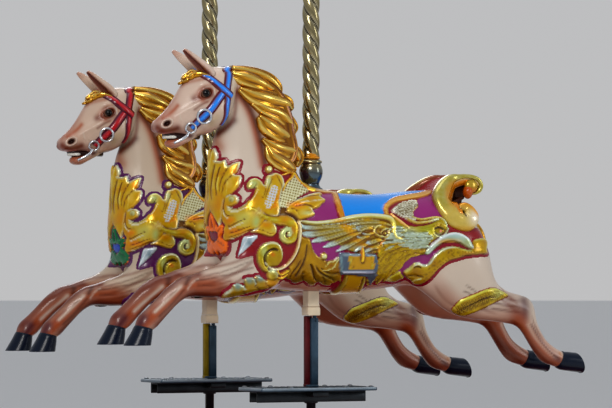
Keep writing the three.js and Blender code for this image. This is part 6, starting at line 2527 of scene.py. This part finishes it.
def haunch_leaf(art):
    """The long leaf that covers the top of the hind leg, with rows of fine scales along it."""
    art.mass("photo", HAUNCH_LEAF, HAUNCH_LOOK, 8, soft=3.0)
    for rise, half in HAUNCH_BLADES:
        blade = [(x, y - up * rise, wide * half + more) for x, y, up, wide, more in HAUNCH_BLADE]
        art.stroke("photo", blade, HAUNCH_LOOK, tall=6.5, edge=0.3, rib=0.2, lift=3.0, barbs=1.5)
    for k in range(0, 9, 2):
        shift = 1.9 * k
        rows = [(x + dx * shift, y + dy * shift, half) for x, y, dx, dy, half in HAUNCH_VEIN]
        art.line("photo", rows, -2.4, HAUNCH_GROOVE, 0.8)
    for k in range(26):
        x = HAUNCH_SCALES[0] + 1.85 * k
        y = HAUNCH_SCALES[1] - 14.5 * math.sin(math.pi * 0.5 * min((x - 450) / 44, 1.0))
        scale = [(x + dx, y + dy, half) for dx, dy, half in HAUNCH_SCALE]
        art.line("photo", scale, -2.8, HAUNCH_GROOVE, 0.85)
    art.line("photo", HAUNCH_EDGE, 1.0, srgb(214, 210, 110), 0.85)


GIRTH = [
    (378, 860), (492, 860), (488, 900), (452, 1000), (436, 1060), (430, 1120), (240, 1120), (262, 1040),
    (340, 960),
]
GIRTH_FRONT = [(362, 880, 12), (350, 940, 18), (300, 1010, 20), (236, 1060, 20), (230, 1120, 18)]
GIRTH_REAR = [(500, 880, 8), (494, 940, 14), (462, 1010, 14), (442, 1060, 14), (436, 1120, 12)]
BUCKLE_FRAME = [
    (300, 724), (590, 736), (598, 800), (590, 890), (540, 960), (520, 900), (400, 884), (308, 884),
    (296, 800),
]
FRAME_TOP_LIGHT = [(306, 738, 8), (440, 738, 14), (586, 748, 10)]
FRAME_FRONT_LIGHT = [(310, 740, 8), (312, 800, 12), (318, 872, 8)]
BUCKLE_STRAP = [(368, 746), (570, 750), (572, 846), (370, 842)]
STRAP_GROOVE = [(404, 760, 4), (404, 800, 6), (404, 840, 4)]
FRAME_BAR = [(330, 864, 14), (456, 864, 15), (560, 866, 14)]
PIN_SHADOW = [(480, 700, 14), (478, 760, 34), (480, 810, 14)]
BUCKLE_PIN = [(480, 690, 8), (482, 720, 14), (480, 760, 14), (478, 786, 10)]
PIN_HEAD = 480, 782, 13
KEEPERS = (384, 552)  # x of the strap's two gilt keepers in the saddle window


def draw_girth(art):
    art.plate("saddle", GIRTH, STRAP, 9)
    art.stroke("saddle", GIRTH_FRONT, EAGLE, tall=11)
    art.stroke("saddle", GIRTH_REAR, EAGLE, tall=11)
    art.plate("saddle", BUCKLE_FRAME, BUCKLE, 14)
    art.line("saddle", FRAME_TOP_LIGHT, 0.8, srgb(150, 166, 170), 0.8)
    art.line("saddle", FRAME_FRONT_LIGHT, 0.8, srgb(140, 166, 170), 0.8)
    art.plate("saddle", BUCKLE_STRAP, STRAP, 14.4)
    for x in KEEPERS:
        art.stroke("saddle", [(x, 750, 10), (x, 800, 11), (x, 842, 10)], EAGLE, tall=16)
    art.line("saddle", STRAP_GROOVE, -1.5, GROOVE_SHADE, 0.6)
    art.stroke("saddle", FRAME_BAR, BAR, tall=17)
    art.line("saddle", PIN_SHADOW, -4, GROOVE_SHADE, 0.9)
    art.stroke("saddle", BUCKLE_PIN, GILT_LINE, tall=17)
    art.boss("saddle", *PIN_HEAD, CENTRE, 15)


FLOWER_BRIGHTNESS = {PETAL: 0.80, CENTRE_OF_FLOWER: 0.30}  # the strongest channel where the paint is plain


DRAWINGS = [
    draw_seat, draw_wing, draw_eagle, draw_drapery, draw_chest, draw_scrolls, draw_girth, draw_flower,
    draw_grounds,
]


def draw_relief():
    art = Relief()
    for draw in DRAWINGS:
        draw(art)
    art.shade_and_measure()
    column, row = art.to_map("photo", *HAUNCH_CORNER)
    art.away[int(row) :, int(column) :] *= HAUNCH_THIN
    return art


RELIEF = draw_relief()


def relief_reach(points):
    """1 on the parts of the skin that carry carving, found from where they lie on the body, falling to 0
    elsewhere.
    """
    x, y, z = points.T
    floor = np.interp(x, [-0.42, -0.36, -0.30, 0.30, 0.40, 0.72], [0.455, 0.42, 0.30, 0.30, 0.26, 0.20])
    leaf = smoothstep(0.292, 0.300, z) * (1 - smoothstep(0.352, 0.362, z))
    leaf = leaf * smoothstep(0.075, 0.085, np.abs(y))
    leaf = leaf * smoothstep(-0.416, -0.408, x) * (1 - smoothstep(-0.30, -0.29, x))
    carved = smoothstep(0.0, 0.015, z - floor) * smoothstep(-0.50, -0.47, x)
    carved = carved * (1 - smoothstep(0.735, 0.755, x))
    return np.maximum(leaf, carved)


FINE_SHARE = 0.60  # of the carving's faces, those with the most detail, that are split finer


def build_relief():
    """The carved layer: the body's own faces, split finer and raised along their normals."""
    near = near_side(BODY_VERTS)
    normal = normals_of(BODY_VERTS, BODY_FACES)
    outward = np.where(BODY_VERTS[:, 1] > 0, normal[:, 1], -normal[:, 1])
    faces_out = outward + 0.5 * np.abs(normal[:, 0]) + np.maximum(normal[:, 2], 0)
    away = RELIEF.sample(RELIEF.away, near)
    wanted = (away < OUTLINE_WIDTH + 3.0) & (faces_out > -0.05) & (relief_reach(BODY_VERTS) > 0.5)
    keep = wanted[BODY_FACES].any(axis=1)
    faces = BODY_FACES[keep]
    used, inverse = np.unique(faces, return_inverse=True)
    verts, faces = BODY_VERTS[used], inverse.reshape(-1, 4)
    middles = verts[faces].mean(axis=1)
    detail = RELIEF.sample(RELIEF.detail, near_side(middles))
    verts, faces = split_where(verts, faces, detail > np.quantile(detail, 1 - FINE_SHARE))
    near = near_side(verts)
    away = RELIEF.sample(RELIEF.away, near)
    height = RELIEF.sample(RELIEF.height, near)
    height = np.maximum(height, 1.0 * (away < OUTLINE_WIDTH))
    height = height - 4.5 * smoothstep(OUTLINE_WIDTH - 0.4, OUTLINE_WIDTH + 1.2, away)
    normal = skin_normals(verts)
    return verts + normal * (height * MM)[:, None], faces, near


def skin_normals(points):
    return np.array([BODY_TREE.find_nearest(Vector(p))[1] for p in points])


def ground_paint(scheme, near):
    """Paint and gilding of the carved layer in one horse's scheme."""
    colour = RELIEF.sample(RELIEF.paint, near)
    gild = RELIEF.sample(RELIEF.gild, near)
    carved = RELIEF.sample(RELIEF.carved.astype(float), near)
    ground = RELIEF.sample(RELIEF.ground, near)
    fill = np.tile(scheme["outline"], (len(near), 1))
    for kind, name in ((CRIMSON, "crimson"), (MAGENTA, "magenta"), (SEAT_BLUE, "seat")):
        fill[ground == kind] = scheme[name]
    solid = smoothstep(0.35, 0.65, carved)
    colour = colour / np.maximum(carved, 0.2)[:, None] * np.minimum(carved * 5, 1)[:, None]
    special = RELIEF.sample(RELIEF.special, near)
    for kind, name in ((PETAL, "petal"), (CENTRE_OF_FLOWER, "centre")):
        there = special == kind
        shade = colour[there].max(axis=1)
        colour[there] = scheme[name] * np.clip(shade / FLOWER_BRIGHTNESS[kind], 0.15, 1.6)[:, None]
    colour = mix(fill, colour, solid)
    return np.clip(colour, 0, 1), gild * solid


RELIEF_VERTS, RELIEF_FACES, RELIEF_NEAR = build_relief()
CARVED_PAINT = material("carved_gloss", roughness=0.27, coat=0.35, bump=0.10, bump_scale=40.0, mottle=0.08)
both_horses(
    "carving",
    RELIEF_VERTS,
    RELIEF_FACES,
    lambda points, scheme: ground_paint(scheme, RELIEF_NEAR),
    CARVED_PAINT,
    ["carving_near", "carving_off", "seat"],
    slot="carving",
)


# Pole, post and step
AROUND = turns(48)


def turned(rows, x=0.0, y=0.0, around=48):
    """A piece turned on a vertical axis from rows of radius and height, in mm."""
    angles = turns(around)
    rings = []
    for r, z in rows:
        ring = [(x * MM + r * MM * math.cos(a), y * MM + r * MM * math.sin(a), z * MM) for a in angles]
        rings.append(ring)
    return ring_skin(rings)


def squared(rows, x=0.0, y=0.0, corner=3.0):
    """An upright piece of rounded square section from rows of half width, half depth and height, in mm."""
    turns = np.radians(np.linspace(0, 90, 5))
    rings = []
    for half_x, half_y, z in rows:
        ring = []
        for quarter, (sx, sy) in enumerate(((1, 1), (-1, 1), (-1, -1), (1, -1))):
            for turn in turns + quarter * math.pi / 2:
                px = x + sx * (half_x - corner) + corner * math.cos(turn)
                py = y + sy * (half_y - corner) + corner * math.sin(turn)
                ring.append((px * MM, py * MM, z * MM))
        rings.append(ring)
    return ring_skin(rings)


def block(low, high, bevel=2.0):
    """A box with softened edges between two corners, in mm."""
    (x0, y0, z0), (x1, y1, z1) = low, high
    half_x, half_y = (x1 - x0) / 2, (y1 - y0) / 2
    rows = [(half_x - bevel, half_y - bevel, z0), (half_x, half_y, z0 + bevel),
            (half_x, half_y, z1 - bevel), (half_x - bevel, half_y - bevel, z1)]
    return squared(rows, (x0 + x1) / 2, (y0 + y1) / 2, bevel + 0.5)


TWIST = {"foot": 787.0, "top": 1640.0, "valley": 21.5, "lobe": 8.6, "pitch": 201.0, "starts": 3}


def twist_phase(angle, z):
    """0 in the valleys and 1 on the crests of the left-handed twist."""
    turn = angle + 2 * math.pi * z / TWIST["pitch"]
    return np.abs(np.sin(TWIST["starts"] * turn / 2))


def twisted_sleeve():
    angles = turns(72)
    rings = []
    for z in np.linspace(TWIST["foot"], TWIST["top"], 150):
        fade = smoothstep(TWIST["top"], TWIST["top"] - 24, z)
        radius = TWIST["valley"] + TWIST["lobe"] * (
            twist_phase(angles, z) ** 0.62 * fade + 0.35 * (1 - fade)
        )
        rings.append([(r * MM * math.cos(a), r * MM * math.sin(a), z * MM) for r, a in zip(radius, angles)])
    return ring_skin(rings)


BRASS = srgb(172, 160, 122)
BRASS_SHADE = srgb(44, 32, 18)
BRASS_HIGHLIGHT = srgb(244, 236, 204)
URN_STEEL = srgb(98, 116, 128)


def paint_sleeve(points, scheme):
    phase = twist_phase(np.arctan2(points[:, 1], points[:, 0]), points[:, 2] / MM)
    # painted shade in the valleys of the twist and a painted highlight band on each lobe near the valley
    colour = mix(BRASS_SHADE, BRASS, smoothstep(0.12, 0.5, phase))
    edge = np.exp(-(((phase - 0.34) / 0.09) ** 2))
    colour = mix(colour, BRASS_HIGHLIGHT, 0.8 * edge)
    # darker in wavy bands up the sleeve
    dark_bands = 0.5 + 0.5 * np.sin(points[:, 2] * 37 + 2 * np.sin(points[:, 0] * 90))
    return mix(colour, colour * 0.72, 0.5 * dark_bands), np.full(len(points), 0.95)


def paint_urn(points, scheme):
    z = points[:, 2] / MM
    colour = mix(URN_STEEL, BRASS, smoothstep(724, 775, z))
    # darker in the two grooves: painted shade
    groove = np.exp(-(((z - 769) / 2.4) ** 2)) + np.exp(-(((z - 700) / 3.0) ** 2))
    return mix(colour, BRASS_SHADE, np.clip(groove, 0, 1) * 0.8), np.full(len(points), 0.92)


URN = [
    (26, 672), (40, 676), (41, 680), (40, 684), (33, 688), (29, 695), (28, 700), (29.5, 706), (34, 714),
    (38, 724), (40.5, 736), (40.5, 748), (38, 758), (34.5, 765), (33.5, 768), (34, 770.5), (37.5, 772),
    (38.3, 775), (37.5, 779), (33, 781), (30, 784.5), (22, 785.5),
]
GRAIN_RING = {"z": 790.0, "radius": 27.0, "grain": 4.2, "count": 26}


def grain_ring():
    """The granular gold ring at the foot of the twist."""
    grains = []
    for row in range(3):
        for k in range(GRAIN_RING["count"]):
            turn = 2 * math.pi * (k + 0.5 * row) / GRAIN_RING["count"]
            radius = GRAIN_RING["radius"] - 0.8 * row
            centre = np.array(
                [radius * math.cos(turn), radius * math.sin(turn), GRAIN_RING["z"] + 5.4 * row]
            ) * MM
            grains.append(ball(centre, GRAIN_RING["grain"] * MM, rows=6, around=8))
    band = turned([(20, 785.6), (26, 785.8), (27, 790), (27, 800), (24, 806), (20, 808)])
    return joined([*grains, band])


METAL = material("turned_metal", roughness=0.20, bump=0.06, bump_scale=90.0, mottle=0.22)
both_horses("twisted_sleeve", *twisted_sleeve(), paint_sleeve, METAL, ["pole_sleeve"], slot="brass")
both_horses("urn_collar", *turned(URN), paint_urn, METAL, ["pole_collar"], slot="brass")
both_horses("grain_ring", *grain_ring(), paint_flat(222, 150, 30), METAL, slot="brass")


HANGER_EYE = {"z": 1800.0, "bore": 31.0, "radius": 63.0, "half": 29.0}


def hanger():
    """The eye that hangs on the overhead crank, on its stem and cup."""
    bore, radius, half = HANGER_EYE["bore"], HANGER_EYE["radius"], HANGER_EYE["half"]
    low = [(bore, -half + 4), (bore + 3, -half), (radius - 5, -half), (radius, -half + 6)]
    profile = low + [(r, -y) for r, y in low[::-1]]
    rings = []
    for a in AROUND:
        rings.append(
            [(r * MM * math.cos(a), y * MM, (HANGER_EYE["z"] + r * math.sin(a)) * MM) for r, y in profile]
        )
    rings.append(rings[0])
    eye = ring_skin(rings, caps=False)
    stem = turned([(30, 1640.4), (33, 1643), (33, 1662), (30, 1668), (22, 1673), (19, 1680), (19, 1760)])
    nut = turned([(24, 1692), (26, 1694), (26, 1708), (24, 1710)], around=6)
    return joined([eye, stem, nut])


DARK_IRON = material(
    "dark_iron", colour=srgb(58, 62, 66), metallic=0.7, roughness=0.42, bump=0.25, bump_scale=80.0,
    mottle=0.35,
)


def both_plain(name, shape, mat, nodes=(), slot="steel"):
    """The same plainly coloured piece on both horses; shape takes how far the step is raised, in mm."""
    for horse, raise_m in HORSES.items():
        verts, faces = shape(raise_m / MM)
        ob = object_from(f"{horse}_{name}", verts + ORIGIN[horse], faces)
        ob.data.materials.append(mat[horse] if isinstance(mat, dict) else mat)
        place_on_horse(horse, ob, *nodes, slot=slot)


def belly_collar(_):
    stem = squared(
        [
            (24, 24, 402), (23, 23, 400), (21.5, 21.5, 290), (22, 22, 284), (23, 23, 281), (23, 23, 277),
        ][::-1],
        corner=4,
    )
    rim = squared(
        [
            (23.5, 23.5, 246.5), (24.7, 24.7, 248), (25, 25, 268), (24.5, 24.5, 271), (24, 24, 273),
            (23, 23, 276),
        ],
        corner=4,
    )
    return joined([stem, rim])


CREAM_IRON = material(
    "cream_iron", colour=srgb(232, 216, 188), roughness=0.36, coat=0.3, bump=0.30, bump_scale=70.0,
    mottle=0.22,
)
POST_IRON = {"roughness": 0.45, "bump": 0.3, "bump_scale": 90.0, "mottle": 0.4}
BACK_IRON = {
    "outer": material("red_iron", colour=srgb(104, 26, 34), **POST_IRON),
    "middle": material("mustard_iron", colour=srgb(164, 140, 20), **POST_IRON),
}
BLUE_IRON = material(
    "blue_iron", colour=srgb(62, 84, 102), metallic=0.35, roughness=0.38, bump=0.3, bump_scale=90.0,
    mottle=0.4,
)
PLATE_IRON = material("plate_iron", roughness=0.36, coat=0.15, bump=0.3, bump_scale=70.0, mottle=0.35)


def back_bar(raise_mm):
    bar = block((-21, -1, raise_mm + 1), (4, 16, 245))
    foot = block((-22, -2, raise_mm + 0.4), (22, 16.9, raise_mm + 12))
    return joined([bar, foot])


def front_bar(raise_mm):
    bar = block((-6, -16, raise_mm + 8), (21, -2, 238))
    foot = block((-22, -16.9, raise_mm + 0.4), (22, -2, raise_mm + 9))
    bolt = turned([(4, 225), (4, 262), (3.4, 264)], 10, -13, 16)
    nut = turned([(7, 238.4), (7.6, 239.5), (7.6, 244.5), (7, 245.4)], 10, -9, 6)
    return joined([bar, foot, bolt, nut])


PLATE = {"x": -12.0, "half_x": 225.0, "half_y": 95.0, "thick": 12.0, "corner": 14.0}
PLATE_EDGE = [(0, -2), (1, -0.6), (2.5, 0), (12, 0)]  # how far in and how high its rounded upper edge is


def step_plate():
    half_x, half_y, thick = PLATE["half_x"], PLATE["half_y"], PLATE["thick"]
    rows = [(half_x - inset, half_y - inset, z) for inset, z in [(2, -thick), (0, 2 - thick), *PLATE_EDGE]]
    slab = squared(rows, PLATE["x"], 0, PLATE["corner"])
    bolts = [
        turned([(9, -0.5), (9, 2.0), (7, 4.0), (3, 5.2)], PLATE["x"] + x, y, 12)
        for x in (-205, -105, 105, 205) for y in (-78, 78)
    ]
    ribs = [block((PLATE["x"] + x - 2.5, -64, -0.5), (PLATE["x"] + x + 2.5, 64, 2.2), 1.0)
            for x in range(-192, 193, 24) if abs(x + PLATE["x"]) > 30]
    return joined([slab, *bolts, *ribs])


def paint_plate(points, raise_mm):
    z = points[:, 2] / MM - raise_mm
    rim = np.maximum(
        np.abs(points[:, 0] / MM - PLATE["x"]) - PLATE["half_x"],
        np.abs(points[:, 1] / MM) - PLATE["half_y"],
    )
    # paler along the plate's upper edge: worn paint and a painted highlight
    colour = mix(srgb(66, 88, 106), srgb(176, 190, 200), smoothstep(-5, -1, rim) * smoothstep(-4, -1, z))
    worn = smoothstep(1.2, 2.2, z)
    return mix(colour, srgb(150, 158, 164), worn), 0.25 + 0.5 * worn


def place_step_plates():
    for horse, raise_m in HORSES.items():
        verts, faces = step_plate()
        verts = verts + [0, 0, raise_m]
        ob = painted_object(
            f"{horse}_step", verts + ORIGIN[horse], faces, paint_plate(verts, raise_m / MM), PLATE_IRON,
        )
        place_on_horse(horse, ob, "step_plate", slot="steel")


def channel(raise_mm):
    """The channel and cross bar under a step, with the guide rod that slides in the platform's socket."""
    top = raise_mm - PLATE["thick"] - 0.4
    middle = PLATE["x"]
    web = block((middle - 210, -30, top - 6), (middle + 210, 30, top), 1.5)
    sides = [block((middle - 210, y0, top - 38), (middle + 210, y0 + 6, top - 4), 1.5) for y0 in (-30, 24)]
    cross = block((-30, -75, top - 20), (30, 75, top), 2.0)
    socket = [(16, top - 44), (22, top - 43), (24, top - 40), (24, top - 22), (22, top - 20)]
    return joined([web, *sides, cross, turned([(14, -431), (16, -429), *socket])])


both_plain("hanger", lambda _: hanger(), DARK_IRON, ["pole_hanger"])
both_plain("belly_collar_cream", belly_collar, CREAM_IRON, ["belly_collar"], slot="cream")
both_plain("back_bar", back_bar, BACK_IRON, ["drop_post"])
both_plain("blue_bar", front_bar, BLUE_IRON)
both_plain("channel", channel, DARK_IRON, ["step_channel"])
place_step_plates()


# Platform
JOINT = {"Scale": 1.0, "Mortar Size": 0.0022, "Mortar Smooth": 0.4}
JOINT_SHADE = 0.12  # of the boards' colour
GRAIN_STRETCH = (2.5, 38.0, 38.0)


def boards(name, first, second, row, length, roughness=0.5, coat=0.3):
    """Painted boards: a brick pattern of long rows with dark joints, worn and grained along the row."""
    mat = material(name, colour=first, roughness=roughness, coat=coat)
    tree = mat.node_tree
    place = add_node(tree, "TexCoord").outputs["Object"]
    colours = {
        "Color1": (*first, 1), "Color2": (*second, 1), "Mortar": (*(np.array(first) * JOINT_SHADE), 1),
    }
    pattern = {"Vector": place, "Brick Width": length, "Row Height": row, **JOINT, **colours}
    brick = add_node(tree, "TexBrick", pattern, offset=0.37)
    stretch = add_node(tree, "Mapping", {"Vector": place, "Scale": GRAIN_STRETCH}).outputs["Vector"]
    grain = add_node(tree, "TexNoise", {"Vector": stretch, "Scale": 2.0, "Detail": 6.0}).outputs["Fac"]
    tone = tone_between(tree, grain, 0.35, 0.65, 0.72, 1.08)
    joint = add_node(tree, "Math", {0: brick.outputs["Fac"], 1: -1.0, 2: grain}, operation="MULTIPLY_ADD")
    inputs = {
        "Base Color": darkened(tree, brick.outputs["Color"], tone),
        "Normal": raised(tree, joint.outputs["Value"], 0.5, 0.003),
    }
    set_inputs(tree, tree.nodes["Principled BSDF"], inputs)
    return mat


DECK_BOARDS = boards("deck_boards", srgb(132, 34, 44), srgb(108, 24, 34), 0.088, 1.35)
JOIST_WOOD = boards("joist_wood", srgb(142, 108, 66), srgb(122, 90, 54), 0.4, 4.0, roughness=0.7, coat=0.0)
NOSING_GOLD = material(
    "nosing_gold", colour=srgb(206, 146, 34), roughness=0.32, coat=0.5, bump=0.15, bump_scale=30.0,
    mottle=0.15,
)
SOCKET_IRON = material(
    "socket_iron", colour=srgb(84, 98, 108), metallic=0.5, roughness=0.4, bump=0.2, bump_scale=70.0,
    mottle=0.3,
)


def dress(mat, *names):
    for name in names:
        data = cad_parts[name].data
        data.materials.clear()
        data.materials.append(mat)


dress(DECK_BOARDS, "deck_outer", "deck_middle", "deck_inner")
dress(NOSING_GOLD, "nosing_outer", "nosing_inner")
dress(JOIST_WOOD, "joist_left", "joist_middle_left", "joist_middle_right", "joist_right")
dress(SOCKET_IRON, "guide_socket_outer", "guide_socket_middle")


# Stage
FLOOR_RADIUS = 150.0
SKY = [(0.0, (0.98, 0.98, 0.99, 1)), (0.6, (0.86, 0.90, 0.96, 1))]  # height in the sky's ramp and colour
SKY_STRENGTH = 0.47
# Soft lamps: name, place, what they aim at, size, power and colour
LAMPS = [
    ("key", (-3.2, -5.0, 4.6), (0.0, 0.0, 1.1), (2.2, 1.4), 128, (1.0, 0.97, 0.93)),
    ("side", (4.2, -4.2, 2.6), (0.2, 0.0, 1.1), (1.2, 2.6), 42, (0.93, 0.97, 1.0)),
    ("top", (0.0, 0.6, 6.0), (0.0, 0.0, 1.0), (4.0, 3.0), 50, (1, 1, 1)),
    ("back", (1.5, 5.0, 4.0), (0.0, 0.0, 1.2), (3.0, 1.6), 48, (0.95, 0.97, 1.0)),
]


def add_stage():
    ring = [(FLOOR_RADIUS * math.cos(a), FLOOR_RADIUS * math.sin(a), 0.0) for a in turns(64)]
    floor = object_from("floor", ring, [range(64)], smooth=False)
    floor.data.materials.append(material("floor_pale", colour=(0.78, 0.77, 0.76), roughness=0.8))
    scene.world = bpy.data.worlds.new("studio")
    scene.world.use_nodes = True
    tree = scene.world.node_tree
    place = add_node(tree, "TexCoord").outputs["Generated"]
    height = add_node(tree, "SeparateXYZ", {"Vector": place}).outputs["Z"]
    ramp = add_node(tree, "ValToRGB", {"Fac": height})
    for element, (position, colour) in zip(ramp.color_ramp.elements, SKY):
        element.position, element.color = position, colour
    sky = {"Color": ramp.outputs["Color"], "Strength": SKY_STRENGTH}
    set_inputs(tree, tree.nodes["Background"], sky)


def add_lamp(name, place, aim, size, power, colour):
    data = bpy.data.lights.new(name, "AREA")
    data.shape = "RECTANGLE"
    data.size, data.size_y = size
    data.energy, data.color = power, colour
    ob = bpy.data.objects.new(name, data)
    scene.collection.objects.link(ob)
    ob.location = place
    ob.rotation_euler = (Vector(aim) - Vector(place)).to_track_quat("-Z", "Y").to_euler()


add_stage()
for lamp in LAMPS:
    add_lamp(*lamp)
scene.view_settings.view_transform = "Standard"
scene.view_settings.look = "Medium High Contrast"
